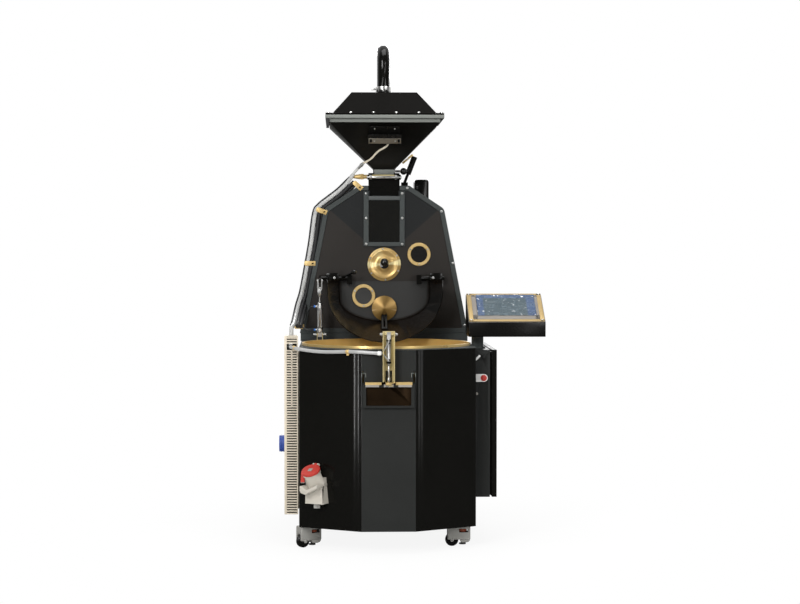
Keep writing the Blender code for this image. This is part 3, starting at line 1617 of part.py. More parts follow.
HANDLE_FORWARD = 0.068


def trough_section(half_width, straight, bottom, y, steps=ARC_STEPS):
    """A U from its right top round the bottom to its left top."""
    curve = [(across, y, height) for across, height in half_moon(half_width, straight, bottom, steps)]
    return [(half_width, y, CHUTE_TOP), *curve, (-half_width, y, CHUTE_TOP)]


def trough_half_width(y):
    share = (FACE - y) / (FACE - CHUTE_FRONT)
    return CHUTE_BACK_HALF_WIDTH + (CHUTE_FRONT_HALF_WIDTH - CHUTE_BACK_HALF_WIDTH) * share


def discharge_chute():
    """The flared trough that drops the beans into the tray, with the bearings of the door's shaft."""
    sections = [
        trough_section(CHUTE_FRONT_HALF_WIDTH, CHUTE_FRONT_STRAIGHT, CHUTE_FRONT_BOTTOM, CHUTE_FRONT),
        trough_section(CHUTE_BACK_HALF_WIDTH, CHUTE_BACK_STRAIGHT, CHUTE_BACK_BOTTOM, FACE - GAP),
    ]
    chute = loft("discharge_chute", sections, closed=False, sheet=CHUTE_SHEET)
    wall = trough_half_width(DOOR_AXIS_Y)
    axis = Vector((0, DOOR_AXIS_Y, DOOR_AXIS_HEIGHT))
    bearings, bores = [], []
    for n, side in enumerate((-1, 1)):
        inner = Vector((side * (wall - 2 * CHUTE_SHEET), 0, 0))
        outer = Vector((side * BEARING_OUTER, 0, 0))
        beyond = Vector((side * OVERRUN, 0, 0))
        bearings.append(bar(f"shaft_bearing_{n}", axis + inner, axis + outer, BEARING_RADIUS, helper=True))
        bores.append(
            bar(
                f"shaft_bore_{n}",
                axis + inner - beyond,
                axis + outer + beyond,
                bore_radius(DOOR_SHAFT_RADIUS, SMALL_SIDES),
                helper=True,
            )
        )
    finish(cut(join(chute, *bearings), *bores), "gloss black")


def discharge_door(swing):
    """The half-moon door, closed by its weight, with two lugs, its right stub shaft and its handle."""
    back = FACE - GAP
    front = back - DOOR_SHEET
    outline = half_moon(CHUTE_BACK_HALF_WIDTH - CHUTE_SHEET - DOOR_MARGIN, CHUTE_BACK_STRAIGHT, DOOR_BOTTOM)
    half = outline[0][0]
    corners = [(-half, DOOR_TOP), (half, DOOR_TOP)]
    door = plate(
        "discharge_door",
        [[*outline, *corners], circle(GLASS_HOLE_RADIUS, LARGE_SIDES, LEFT_GLASS)],
        DOOR_SHEET,
        (0, (front + back) / 2, 0),
        facing="front",
    )
    axis = Vector((0, DOOR_AXIS_Y, DOOR_AXIS_HEIGHT))
    parts = []
    for n, side in enumerate((-1, 1)):
        x = side * LUG_SPREAD
        parts.append(
            block(
                f"door_lug_{n}",
                (x - LUG_HALF_WIDTH, DOOR_AXIS_Y - LUG_HALF_HEIGHT, DOOR_AXIS_HEIGHT - LUG_DROP),
                (x + LUG_HALF_WIDTH, front + LAP / 2, DOOR_AXIS_HEIGHT + LUG_HALF_HEIGHT),
                helper=True,
            )
        )
    parts.append(
        bar(
            "right_stub_shaft",
            axis + Vector((LUG_SPREAD, 0, 0)),
            axis + Vector((SHAFT_RIGHT, 0, 0)),
            DOOR_SHAFT_RADIUS,
            helper=True,
        )
    )
    parts.append(
        bar(
            "weight_boss",
            (0, front + LAP, WEIGHT_HEIGHT),
            (0, front - WEIGHT_STANDOFF + GAP, WEIGHT_HEIGHT),
            WEIGHT_BOSS_RADIUS,
            helper=True,
        )
    )
    for n, side in enumerate((-1, 1)):
        x = side * HANDLE_SPREAD
        parts.append(
            bar(
                f"door_handle_{n}",
                (x, front + LAP, HANDLE_TOP),
                (x, front - HANDLE_FORWARD, HANDLE_BOTTOM),
                HANDLE_RADIUS,
                TINY_SIDES,
                helper=True,
            )
        )
    parts.append(
        bar(
            "door_handle_bridge",
            (-HANDLE_SPREAD - HANDLE_RADIUS, front - HANDLE_FORWARD, HANDLE_BOTTOM),
            (HANDLE_SPREAD + HANDLE_RADIUS, front - HANDLE_FORWARD, HANDLE_BOTTOM),
            HANDLE_RADIUS + GAP,
            TINY_SIDES,
            helper=True,
        )
    )
    bore = bar(
        "door_bore",
        axis - Vector((LUG_SPREAD + LUG_HALF_WIDTH + OVERRUN, 0, 0)),
        axis - Vector((LUG_SPREAD - LUG_HALF_WIDTH - OVERRUN, 0, 0)),
        DOOR_SHAFT_RADIUS + GAP,
        helper=True,
    )
    finish(cut(join(door, *parts), bore), "door grey")
    weight = turned(
        "door_weight",
        [
            (0, WEIGHT_DEPTH),
            (WEIGHT_EDGE, WEIGHT_DEPTH - GAP),
            (WEIGHT_RADIUS, WEIGHT_EDGE),
            (WEIGHT_RADIUS - GAP, 0),
            (0, 0),
        ],
        (0, front - WEIGHT_STANDOFF, WEIGHT_HEIGHT),
        facing="front",
    )
    notch_half_width = HANDLE_SPREAD + HANDLE_RADIUS + 2 * GAP
    notch = block(
        "handle_notch",
        (-notch_half_width, front - HANDLE_FORWARD, HANDLE_BOTTOM),
        (notch_half_width, front, HANDLE_TOP + HANDLE_RADIUS + 2 * GAP),
        helper=True,
    )
    finish(cut(weight, notch), "brass")
    glass = sight_glass("sight_glass_left", LEFT_GLASS, front)
    carry(swing, door, weight, glass)


LEVER_LENGTH = 0.085
LEVER_DROP = 0.008
LEVER_HALF_WIDTH = 0.004
LEVER_TIP_RADIUS = 0.0115
LEVER_HOLE_RADIUS = 0.0070
DOOR_CYLINDER_STANDOFF = 0.029
DOOR_CYLINDER_X = -CHUTE_FRONT_HALF_WIDTH - DOOR_CYLINDER_STANDOFF
HAND_LEVER_X = -0.183
HAND_KNOB_X = -0.127
HAND_KNOB_LIFT = 0.027
HAND_KNOB_FORWARD = 0.048
HAND_LEVER_RADIUS = 0.005
HAND_KNOB_RADIUS = 0.011

LEVER_TIP_Y = DOOR_AXIS_Y - math.sqrt(LEVER_LENGTH**2 - LEVER_DROP**2)
LEVER_TIP_HEIGHT = DOOR_AXIS_HEIGHT - LEVER_DROP


def door_shaft(swing):
    """The door's left shaft, held in its lug, with the cylinder's lever at its end and the hand lever."""
    axis = Vector((0, DOOR_AXIS_Y, DOOR_AXIS_HEIGHT))
    lever_left = DOOR_CYLINDER_X - LEVER_HALF_WIDTH
    lever_right = DOOR_CYLINDER_X + LEVER_HALF_WIDTH
    shaft_left = axis + Vector((lever_left + LAP, 0, 0))
    shaft_right = axis + Vector((-LUG_SPREAD + LUG_HALF_WIDTH, 0, 0))
    rod = bar("left_stub_shaft", shaft_left, shaft_right, DOOR_SHAFT_RADIUS, helper=True)
    tip = Vector((0, LEVER_TIP_Y, LEVER_TIP_HEIGHT))
    left, right = Vector((lever_left, 0, 0)), Vector((lever_right, 0, 0))
    shaft = bar("door_shaft", axis + left, axis + right, DOOR_SHAFT_RADIUS + LAP)
    end = bar("lever_tip", tip + left, tip + right, LEVER_TIP_RADIUS, helper=True)
    across = Vector((0, 0, DOOR_SHAFT_RADIUS))
    arm = loft(
        "lever_arm",
        [
            [axis + left - across, axis + right - across, axis + right + across, axis + left + across],
            [tip + left - across, tip + right - across, tip + right + across, tip + left + across],
        ],
        closed=True,
        helper=True,
    )
    beyond = Vector((OVERRUN, 0, 0))
    hole = bar("lever_hole", tip + left - beyond, tip + right + beyond, LEVER_HOLE_RADIUS, helper=True)
    knob_centre = Vector(
        (HAND_KNOB_X, DOOR_AXIS_Y - HAND_KNOB_FORWARD, DOOR_AXIS_HEIGHT + HAND_KNOB_LIFT)
    )
    hand = bar(
        "hand_lever",
        axis + Vector((HAND_LEVER_X, 0, 0)),
        knob_centre,
        HAND_LEVER_RADIUS,
        TINY_SIDES,
        helper=True,
    )
    knob = ball("hand_knob", knob_centre, HAND_KNOB_RADIUS, sides=TINY_SIDES, helper=True)
    finish(cut(join(shaft, rod, end, arm, hand, knob), hole), "gloss black")
    carry(swing, shaft)


FOOT_HALF_WIDTH = 0.0125
FOOT_HALF_DEPTH = 0.012
FOOT_SHEET = 0.003
FOOT_HEIGHT = 0.038
FOOT_TOP = CABINET_TOP + FOOT_HEIGHT
FOOT_PIN_DROP = 0.008
FOOT_PIN_HEIGHT = FOOT_TOP - FOOT_PIN_DROP
FOOT_PIN_REACH = 0.027
DOOR_BARREL_GAP = 0.005
DOOR_BARREL_BOTTOM = FOOT_TOP + DOOR_BARREL_GAP
DOOR_BARREL_LENGTH = 0.110
DOOR_BARREL_TOP = DOOR_BARREL_BOTTOM + DOOR_BARREL_LENGTH
DOOR_BARREL_RADIUS = 0.011
DOOR_ROD_ENGAGEMENT = 0.080
CLEVIS_HEIGHT = 0.034
CLEVIS_HALF_WIDTH = 0.0105
CLEVIS_HALF_DEPTH = 0.006
CLEVIS_SLOT_HALF_WIDTH = 0.0052
CLEVIS_BASE = 0.007
CLEVIS_PIN_RADIUS = 0.0025


def cylinder_foot():
    """The brass fork on the deck that the door's cylinder stands on."""
    x, y = DOOR_CYLINDER_X, LEVER_TIP_Y
    foot = block(
        "cylinder_foot",
        (x - FOOT_HALF_WIDTH, y - FOOT_HALF_DEPTH, CABINET_TOP + GAP),
        (x + FOOT_HALF_WIDTH, y + FOOT_HALF_DEPTH, FOOT_TOP),
    )
    inside = block(
        "foot_inside",
        (x - FOOT_HALF_WIDTH + FOOT_SHEET, y - FOOT_HALF_DEPTH - OVERRUN, CABINET_TOP + FOOT_SHEET),
        (x + FOOT_HALF_WIDTH - FOOT_SHEET, y + FOOT_HALF_DEPTH + OVERRUN, FOOT_TOP + OVERRUN),
        helper=True,
    )
    pin = bar(
        "foot_pin",
        (x - FOOT_PIN_REACH, y, FOOT_PIN_HEIGHT),
        (x + FOOT_PIN_REACH, y, FOOT_PIN_HEIGHT),
        PIN_RADIUS,
        TINY_SIDES,
        helper=True,
    )
    finish(join(cut(foot, inside), pin), "pale brass")


def door_cylinder():
    """The pneumatic cylinder that lifts the door's lever, and its rod with a fork at the end."""
    x, y = DOOR_CYLINDER_X, LEVER_TIP_Y
    swing = joint_frame("door_cylinder_swing", (x, y, FOOT_PIN_HEIGHT))
    slide = joint_frame("door_rod_slide", (x, y, DOOR_BARREL_TOP), parent=swing)
    rod_bottom = DOOR_BARREL_TOP - DOOR_ROD_ENGAGEMENT
    barrel = cylinder_body(
        "door_cylinder",
        (x, y),
        DOOR_BARREL_BOTTOM,
        DOOR_BARREL_TOP,
        FOOT_PIN_HEIGHT,
        rod_bottom - BORE_END,
        DOOR_BARREL_TOP + OVERRUN,
        DOOR_BARREL_RADIUS,
    )
    fork_top = LEVER_TIP_HEIGHT + CLEVIS_HALF_DEPTH
    fork_bottom = fork_top - CLEVIS_HEIGHT - CLEVIS_BASE
    rod = bar("door_rod", (x, y, rod_bottom), (x, y, fork_bottom + LAP), ROD_RADIUS, TINY_SIDES)
    fork = block(
        "rod_fork",
        (x - CLEVIS_HALF_WIDTH, y - CLEVIS_HALF_DEPTH, fork_bottom),
        (x + CLEVIS_HALF_WIDTH, y + CLEVIS_HALF_DEPTH, fork_top),
        helper=True,
    )
    slot = block(
        "rod_fork_slot",
        (x - CLEVIS_SLOT_HALF_WIDTH, y - CLEVIS_HALF_DEPTH - OVERRUN, fork_bottom + CLEVIS_BASE),
        (x + CLEVIS_SLOT_HALF_WIDTH, y + CLEVIS_HALF_DEPTH + OVERRUN, fork_top + OVERRUN),
        helper=True,
    )
    cut(fork, slot)
    pin = bar(
        "rod_fork_pin",
        (x - CLEVIS_HALF_WIDTH - LAP, y, LEVER_TIP_HEIGHT),
        (x + CLEVIS_HALF_WIDTH + LAP, y, LEVER_TIP_HEIGHT),
        CLEVIS_PIN_RADIUS,
        TINY_SIDES,
        helper=True,
    )
    join(rod, fork, pin)
    carry(swing, finish(barrel, "steel"))
    carry(slide, finish(rod, "steel"))


def discharge():
    """The door and its left shaft swing together about the shaft's axis."""
    swing = joint_frame("discharge_door_hinge", (0, DOOR_AXIS_Y, DOOR_AXIS_HEIGHT))
    discharge_door(swing)
    door_shaft(swing)
    door_cylinder()


# Charge window, neck and slide gate

CHARGE_FRAME_INNER = NECK_HALF_WIDTH
CHARGE_SILL = 0.017
CHARGE_FRAME_INNER_BOTTOM = CHARGE_FRAME_BOTTOM + CHARGE_SILL
CHARGE_FRAME_DROP = 0.024
CHARGE_FRAME_TOP = HEAD_CROWN_HEIGHT - CHARGE_FRAME_DROP
CHARGE_FRAME_DEPTH = 0.006
CHARGE_BAR_DROP = 0.019
CHARGE_BAR_HEIGHT = 0.018
CHARGE_BAR_TOP = CHARGE_FRAME_TOP - CHARGE_BAR_DROP
CHARGE_BAR_BOTTOM = CHARGE_BAR_TOP - CHARGE_BAR_HEIGHT
CHARGE_BAR_SWELL = 0.006
WINDOW_SHEET = 0.004
NECK_SHEET = 0.003
NECK_BACK_DROP = 0.050
NECK_BACK_OPENING_TOP = CHARGE_BAR_BOTTOM - NECK_BACK_DROP
TIE_ROD_RADIUS = 0.007
TIE_ROD_DROP = 0.018
TIE_ROD_HEIGHT = NECK_TOP - TIE_ROD_DROP
TIE_ROD_FORWARD = 0.012
NUT_RADIUS = 0.011
NUT_LENGTH = 0.008
NUT_SIDES = 6
COLLAR_HALF_WIDTH = 0.045
COLLAR_MARGIN = 0.003
COLLAR_BORE_MARGIN = 0.008
SLIDE_SHEET = 0.003
SLIDE_RISE = 0.007
SLIDE_ROD_RADIUS = 0.005
BALL_RADIUS = 0.015
BALL_X = 0.083

NECK_FRONT = FACE + PANEL_SHEET + GAP
NECK_MIDDLE = NECK_FRONT + NECK_DEPTH / 2


def charge_frame():
    """The grey frame of the charge window, open at the top, with a round bar across."""
    front = FACE - GAP - CHARGE_FRAME_DEPTH
    half, inner = CHARGE_FRAME_HALF_WIDTH, CHARGE_FRAME_INNER
    outline = [
        (-half, CHARGE_FRAME_BOTTOM),
        (half, CHARGE_FRAME_BOTTOM),
        (half, CHARGE_FRAME_TOP),
        (inner, CHARGE_FRAME_TOP),
        (inner, CHARGE_FRAME_INNER_BOTTOM),
        (-inner, CHARGE_FRAME_INNER_BOTTOM),
        (-inner, CHARGE_FRAME_TOP),
        (-half, CHARGE_FRAME_TOP),
    ]
    frame = plate(
        "charge_frame", [outline], CHARGE_FRAME_DEPTH, (0, front + CHARGE_FRAME_DEPTH / 2, 0), facing="front"
    )
    cross = block(
        "charge_bar",
        (-inner - LAP, front - CHARGE_BAR_SWELL, CHARGE_BAR_BOTTOM),
        (inner + LAP, front + CHARGE_FRAME_DEPTH - LAP, CHARGE_BAR_TOP),
        helper=True,
    )
    edge = cross.modifiers.new("edge", "BEVEL")
    edge.width = CHARGE_BAR_SWELL / 2
    edge.segments = 2
    finish(join(frame, cross), "textured grey")


def charge_window():
    """The glass that shows the beans falling into the drum."""
    half = CHARGE_FRAME_INNER - GAP
    window = block(
        "charge_window",
        (-half, FACE - GAP - WINDOW_SHEET, CHARGE_FRAME_INNER_BOTTOM + GAP),
        (half, FACE - GAP, CHARGE_BAR_BOTTOM - GAP),
    )
    finish(window, "glass")


def charge_neck():
    """The duct from the hopper down to the drum's mouth, with the tie rod across its top."""
    half, back = NECK_HALF_WIDTH, NECK_FRONT + NECK_DEPTH
    neck = block("charge_neck", (-half, NECK_FRONT, NECK_BOTTOM), (half, back, NECK_TOP))
    inside = block(
        "neck_inside",
        (-half + NECK_SHEET, NECK_FRONT + NECK_SHEET, NECK_BOTTOM + NECK_SHEET),
        (half - NECK_SHEET, back - NECK_SHEET, NECK_TOP + OVERRUN),
        helper=True,
    )
    rear = block(
        "neck_rear_opening",
        (-half + 2 * NECK_SHEET, back - OVERRUN, NECK_BOTTOM + 2 * NECK_SHEET),
        (half - 2 * NECK_SHEET, back + OVERRUN, NECK_BACK_OPENING_TOP),
        helper=True,
    )
    sight = block(
        "neck_sight_opening",
        (-half + 3 * NECK_SHEET, NECK_FRONT - OVERRUN, CHARGE_OPENING_BOTTOM + NECK_SHEET),
        (half - 3 * NECK_SHEET, NECK_FRONT + OVERRUN, CHARGE_BAR_BOTTOM - NECK_SHEET),
        helper=True,
    )
    rod_y = NECK_FRONT - TIE_ROD_FORWARD
    reach = half + NUT_LENGTH / 2
    rod = bar("tie_rod", (-reach, rod_y, TIE_ROD_HEIGHT), (reach, rod_y, TIE_ROD_HEIGHT), TIE_ROD_RADIUS,
              TINY_SIDES, helper=True)
    parts = [rod]
    for n, side in enumerate((-1, 1)):
        outer, inner = side * reach, side * (reach - NUT_LENGTH)
        parts.append(
            bar(
                f"tie_rod_nut_{n}",
                (inner, rod_y, TIE_ROD_HEIGHT),
                (outer + side * GAP, rod_y, TIE_ROD_HEIGHT),
                NUT_RADIUS,
                NUT_SIDES,
                helper=True,
            )
        )
        parts.append(
            block(
                f"tie_rod_ear_{n}",
                (min(side * half, side * (half - NECK_SHEET)), rod_y, TIE_ROD_HEIGHT - NUT_RADIUS),
                (max(side * half, side * (half - NECK_SHEET)), NECK_FRONT + LAP, TIE_ROD_HEIGHT + NUT_RADIUS),
                helper=True,
            )
        )
    finish(join(cut(neck, inside, rear, sight), *parts), "gloss black")


def hopper_slide():
    """The slide gate in the hopper's collar, pulled to the right by its ball knob."""
    bottom = NECK_TOP + SLIDE_RISE
    slide = joint_frame("hopper_slide_axis", (COLLAR_HALF_WIDTH, NECK_MIDDLE, bottom))
    half_depth = NECK_DEPTH / 2 - COLLAR_BORE_MARGIN + 2 * COLLAR_MARGIN
    blade = block(
        "hopper_slide",
        (-COLLAR_HALF_WIDTH + COLLAR_MARGIN, NECK_MIDDLE - half_depth + GAP, bottom + GAP),
        (COLLAR_HALF_WIDTH + COLLAR_MARGIN, NECK_MIDDLE + half_depth - GAP, bottom + SLIDE_SHEET + GAP),
    )
    height = bottom + SLIDE_SHEET / 2 + GAP
    rod = bar(
        "slide_rod",
        (COLLAR_HALF_WIDTH, NECK_MIDDLE, height),
        (BALL_X, NECK_MIDDLE, height),
        SLIDE_ROD_RADIUS,
        TINY_SIDES,
        helper=True,
    )
    ear = block(
        "slide_ear",
        (COLLAR_HALF_WIDTH + GAP, NECK_MIDDLE - half_depth + GAP, bottom - SLIDE_SHEET),
        (COLLAR_HALF_WIDTH + COLLAR_MARGIN, NECK_MIDDLE + half_depth - GAP, bottom + 3 * SLIDE_SHEET),
        helper=True,
    )
    knob = ball("slide_knob", (BALL_X, NECK_MIDDLE, height), BALL_RADIUS, helper=True)
    carry(slide, finish(join(blade, rod, ear, knob), "steel"))


# Hopper, its cover and what hangs on it

RIM_THICKNESS = 0.015
COVER_RIM_HEIGHT = 0.022
COVER_RIM_TOP = HOPPER_TOP + RIM_THICKNESS + COVER_RIM_HEIGHT
COVER_STEP = 0.015
COVER_LOW_HALF_WIDTH = HOPPER_HALF_WIDTH - COVER_STEP
COVER_SLOPE_RUN = 0.077
COVER_HIGH_HALF_WIDTH = COVER_LOW_HALF_WIDTH - COVER_SLOPE_RUN
COVER_HEIGHT = 0.093
COVER_TOP = COVER_RIM_TOP + COVER_HEIGHT
PIPE_RADIUS = 0.027
PIPE_WALL = 0.002
PIPE_RISE = 0.191
PIPE_TOP = COVER_TOP + PIPE_RISE
PIPE_BEND = 0.060
PIPE_RUN = 0.180
PIPE_END = HOPPER_CENTRE + PIPE_RUN
PIPE_FLANGE_WIDTH = 0.010
PIPE_FLANGE_RADIUS = PIPE_RADIUS + PIPE_FLANGE_WIDTH
PIPE_FLANGE_HEIGHT = 0.005
CLAMP_RISE = 0.011
CLAMP_BOTTOM = COVER_TOP + CLAMP_RISE
CLAMP_HEIGHT = 0.024
CLAMP_TOP = CLAMP_BOTTOM + CLAMP_HEIGHT
CLAMP_THICKNESS = 0.0065
CLAMP_RADIUS = PIPE_RADIUS + CLAMP_THICKNESS
CLAMP_LEVER = 0.052


def funnel_sections(spread):
    """The hopper's funnel, from its collar up to its rim, moved outwards by a distance."""
    half_depth = NECK_DEPTH / 2 - COLLAR_MARGIN
    low = rectangle(COLLAR_HALF_WIDTH + spread, half_depth + spread, (0, NECK_MIDDLE))
    high = rectangle(HOPPER_HALF_WIDTH + spread, HOPPER_HALF_WIDTH + spread, (0, HOPPER_CENTRE))
    return low, high


def hopper():
    """The funnel with its rim, and the collar that stands on the neck."""
    low, high = funnel_sections(0)
    low_in, high_in = funnel_sections(-HOPPER_SHEET)
    funnel = loft(
        "hopper",
        [at_height(low, HOPPER_BOTTOM - LAP), at_height(high, HOPPER_TOP), at_height(high, HOPPER_TOP + LAP)],
        closed=True,
    )
    rim = block(
        "hopper_rim",
        (-HOPPER_RIM_HALF_WIDTH, HOPPER_CENTRE - HOPPER_RIM_HALF_WIDTH, HOPPER_TOP),
        (HOPPER_RIM_HALF_WIDTH, HOPPER_CENTRE + HOPPER_RIM_HALF_WIDTH, HOPPER_TOP + RIM_THICKNESS),
        helper=True,
    )
    half_depth = NECK_DEPTH / 2
    collar = block(
        "hopper_collar",
        (-COLLAR_HALF_WIDTH, NECK_MIDDLE - half_depth + COLLAR_MARGIN, NECK_TOP + GAP),
        (COLLAR_HALF_WIDTH, NECK_MIDDLE + half_depth - COLLAR_MARGIN, HOPPER_BOTTOM),
        helper=True,
    )
    inside = loft(
        "hopper_inside",
        [
            at_height(low_in, HOPPER_BOTTOM),
            at_height(high_in, HOPPER_TOP),
            at_height(high_in, HOPPER_TOP + 2 * RIM_THICKNESS),
        ],
        closed=True,
        helper=True,
    )
    bore_half_depth = half_depth - COLLAR_BORE_MARGIN
    bore = block(
        "collar_bore",
        (-COLLAR_HALF_WIDTH + COLLAR_BORE_MARGIN, NECK_MIDDLE - bore_half_depth, NECK_TOP - OVERRUN),
        (COLLAR_HALF_WIDTH - COLLAR_BORE_MARGIN, NECK_MIDDLE + bore_half_depth, HOPPER_BOTTOM + LAP),
        helper=True,
    )
    slot_half_depth = bore_half_depth + 2 * COLLAR_MARGIN
    slot = block(
        "slide_slot",
        (-COLLAR_HALF_WIDTH + COLLAR_MARGIN - GAP, NECK_MIDDLE - slot_half_depth, NECK_TOP + SLIDE_RISE),
        (
            COLLAR_HALF_WIDTH + OVERRUN,
            NECK_MIDDLE + slot_half_depth,
            NECK_TOP + SLIDE_RISE + SLIDE_SHEET + 2 * GAP,
        ),
        helper=True,
    )
    finish(cut(join(funnel, rim, collar), inside, bore, slot), "gloss black")


def hopper_cover():
    """The bolted cover: a flat rim and a low pyramid, open below."""
    bottom = HOPPER_TOP + RIM_THICKNESS + GAP
    sheet = HOPPER_SHEET

    def rings(half_low, half_high, top, shrink):
        rim = HOPPER_RIM_HALF_WIDTH - shrink
        return [
            at_height(rectangle(rim, rim, (0, HOPPER_CENTRE)), bottom - (OVERRUN if shrink else 0)),
            at_height(rectangle(rim, rim, (0, HOPPER_CENTRE)), COVER_RIM_TOP - (sheet if shrink else 0)),
            at_height(
                rectangle(half_low, half_low, (0, HOPPER_CENTRE)),
                COVER_RIM_TOP + (0 if shrink else sheet),
            ),
            at_height(rectangle(half_high, half_high, (0, HOPPER_CENTRE)), top),
        ]

    outside = rings(COVER_LOW_HALF_WIDTH, COVER_HIGH_HALF_WIDTH, COVER_TOP, 0)
    cover = loft("hopper_cover", outside, closed=True)
    inside = loft(
        "cover_inside",
        rings(COVER_LOW_HALF_WIDTH - sheet, COVER_HIGH_HALF_WIDTH - sheet, COVER_TOP - sheet, 4 * sheet),
        closed=True,
        helper=True,
    )
    hole = bar(
        "pipe_hole",
        (0, HOPPER_CENTRE, COVER_TOP - OVERRUN),
        (0, HOPPER_CENTRE, COVER_TOP + OVERRUN),
        PIPE_RADIUS - PIPE_WALL,
        helper=True,
    )
    finish(cut(cover, inside, hole), "gloss black")


def suction_pipe():
    """The loading pipe that rises from the cover and bends to the back, with its clamp."""
    bottom = COVER_TOP + GAP
    bend_start = PIPE_TOP - PIPE_BEND
    route = [Vector((0, HOPPER_CENTRE, bottom)), Vector((0, HOPPER_CENTRE, CLAMP_TOP))]
    for n in range(BEND_STEPS + 1):
        angle = math.pi / 2 * n / BEND_STEPS
        route.append(
            Vector(
                (
                    0,
                    HOPPER_CENTRE + PIPE_BEND * (1 - math.cos(angle)),
                    bend_start + PIPE_BEND * math.sin(angle),
                )
            )
        )
    route.append(Vector((0, PIPE_END, PIPE_TOP)))
    pipe = meshed(tube("suction_pipe", route, PIPE_RADIUS, resolution=3))
    ahead = [route[0] - Vector((0, 0, OVERRUN)), *route, route[-1] + Vector((0, OVERRUN, 0))]
    bore = meshed(tube("pipe_bore", ahead, PIPE_RADIUS - PIPE_WALL, resolution=3, helper=True), helper=True)
    middle = (0, HOPPER_CENTRE, 0)
    flange = turned(
        "pipe_flange",
        [
            (PIPE_FLANGE_RADIUS, bottom + PIPE_FLANGE_HEIGHT),
            (PIPE_FLANGE_RADIUS, bottom),
            (PIPE_RADIUS - PIPE_WALL / 2, bottom),
            (PIPE_RADIUS - PIPE_WALL / 2, bottom + PIPE_FLANGE_HEIGHT),
        ],
        middle,
        helper=True,
    )
    clamp = turned(
        "pipe_clamp",
        [
            (PIPE_RADIUS - PIPE_WALL / 2, CLAMP_TOP),
            (CLAMP_RADIUS, CLAMP_TOP - LAP),
            (CLAMP_RADIUS, CLAMP_BOTTOM + LAP),
            (PIPE_RADIUS - PIPE_WALL / 2, CLAMP_BOTTOM),
        ],
        middle,
        helper=True,
    )
    height = (CLAMP_BOTTOM + CLAMP_TOP) / 2
    root = PIPE_RADIUS * math.sqrt(0.5)
    lever = bar(
        "clamp_lever",
        (-root, HOPPER_CENTRE - root, height),
        (-CLAMP_LEVER, HOPPER_CENTRE - PIPE_RADIUS / 2, height),
        LAP * 2,
        TINY_SIDES,
        helper=True,
    )
    finish(cut(join(pipe, flange, clamp, lever), bore), "gloss black")


VIBRATOR_HALF_WIDTH = 0.070
VIBRATOR_DROP = 0.088
VIBRATOR_BOTTOM = HOPPER_TOP - VIBRATOR_DROP
VIBRATOR_HEIGHT = 0.037
VIBRATOR_TOP = VIBRATOR_BOTTOM + VIBRATOR_HEIGHT
BRACKET_INSET = 0.007
BRACKET_HALF_WIDTH = VIBRATOR_HALF_WIDTH - BRACKET_INSET
BRACKET_HEIGHT = 0.034
BRACKET_TOP = VIBRATOR_TOP + BRACKET_HEIGHT
VIBRATOR_DEPTH = 0.040
BRACKET_DEPTH = 0.006


def funnel_front(height):
    """Where the front wall of the funnel lies at a height."""
    bottom = NECK_MIDDLE - NECK_DEPTH / 2 + COLLAR_MARGIN
    top = HOPPER_CENTRE - HOPPER_HALF_WIDTH
    share = (height - HOPPER_BOTTOM + LAP) / (HOPPER_TOP - HOPPER_BOTTOM + LAP)
    return bottom + (top - bottom) * share


def leaning_box(name, half_width, bottom, top, depth, helper=False):
    """A box that lies on the funnel's front wall."""
    sections = []
    for height in (bottom, top):
        back = funnel_front(height) - GAP - GAP / 2
        sections.append(
            [
                (-half_width, back - depth, height),
                (half_width, back - depth, height),
                (half_width, back, height),
                (-half_width, back, height),
            ]
        )
    return loft(name, sections, closed=True, helper=helper)


def hopper_vibrator():
    """The vibrator on its bracket, on the funnel's front wall."""
    body = leaning_box("hopper_vibrator", VIBRATOR_HALF_WIDTH, VIBRATOR_BOTTOM, VIBRATOR_TOP, VIBRATOR_DEPTH)
    bracket = leaning_box(
        "vibrator_bracket", BRACKET_HALF_WIDTH, VIBRATOR_TOP - LAP, BRACKET_TOP, BRACKET_DEPTH, helper=True
    )
    finish(join(body, bracket), "black plastic")


ACTUATOR_FOOT_X = 0.102
ACTUATOR_HEAD_X = 0.131
ACTUATOR_Y = 0.440
ACTUATOR_HEIGHT = 0.125
ACTUATOR_TOP = HEAD_CROWN_HEIGHT + ACTUATOR_HEIGHT
ACTUATOR_RADIUS = 0.012
ACTUATOR_NECK_RADIUS = 0.006
ACTUATOR_FOOT_HALF_WIDTH = 0.014
ACTUATOR_FOOT_HEIGHT = 0.016
ACTUATOR_STEM_SHARE = 0.35


def neck_actuator():
    """The slim actuator that stands on the head's roof beside the neck."""
    floor = HEAD_CROWN_HEIGHT + GAP
    half = ACTUATOR_FOOT_HALF_WIDTH
    foot = block(
        "neck_actuator",
        (ACTUATOR_FOOT_X - 2 * half, ACTUATOR_Y - half, floor),
        (ACTUATOR_FOOT_X, ACTUATOR_Y + half, floor + ACTUATOR_FOOT_HEIGHT),
    )
    base = Vector((ACTUATOR_FOOT_X - half, ACTUATOR_Y, floor + ACTUATOR_FOOT_HEIGHT - LAP))
    head = Vector((ACTUATOR_HEAD_X, ACTUATOR_Y, ACTUATOR_TOP))
    neck_end = base.lerp(head, ACTUATOR_STEM_SHARE)
    lap = (head - base).normalized() * LAP
    barrel = bar("actuator_barrel", neck_end - lap, head, ACTUATOR_RADIUS, helper=True)
    stem = bar("actuator_stem", base, neck_end, ACTUATOR_NECK_RADIUS, TINY_SIDES, helper=True)
    finish(join(foot, barrel, stem), "black plastic")


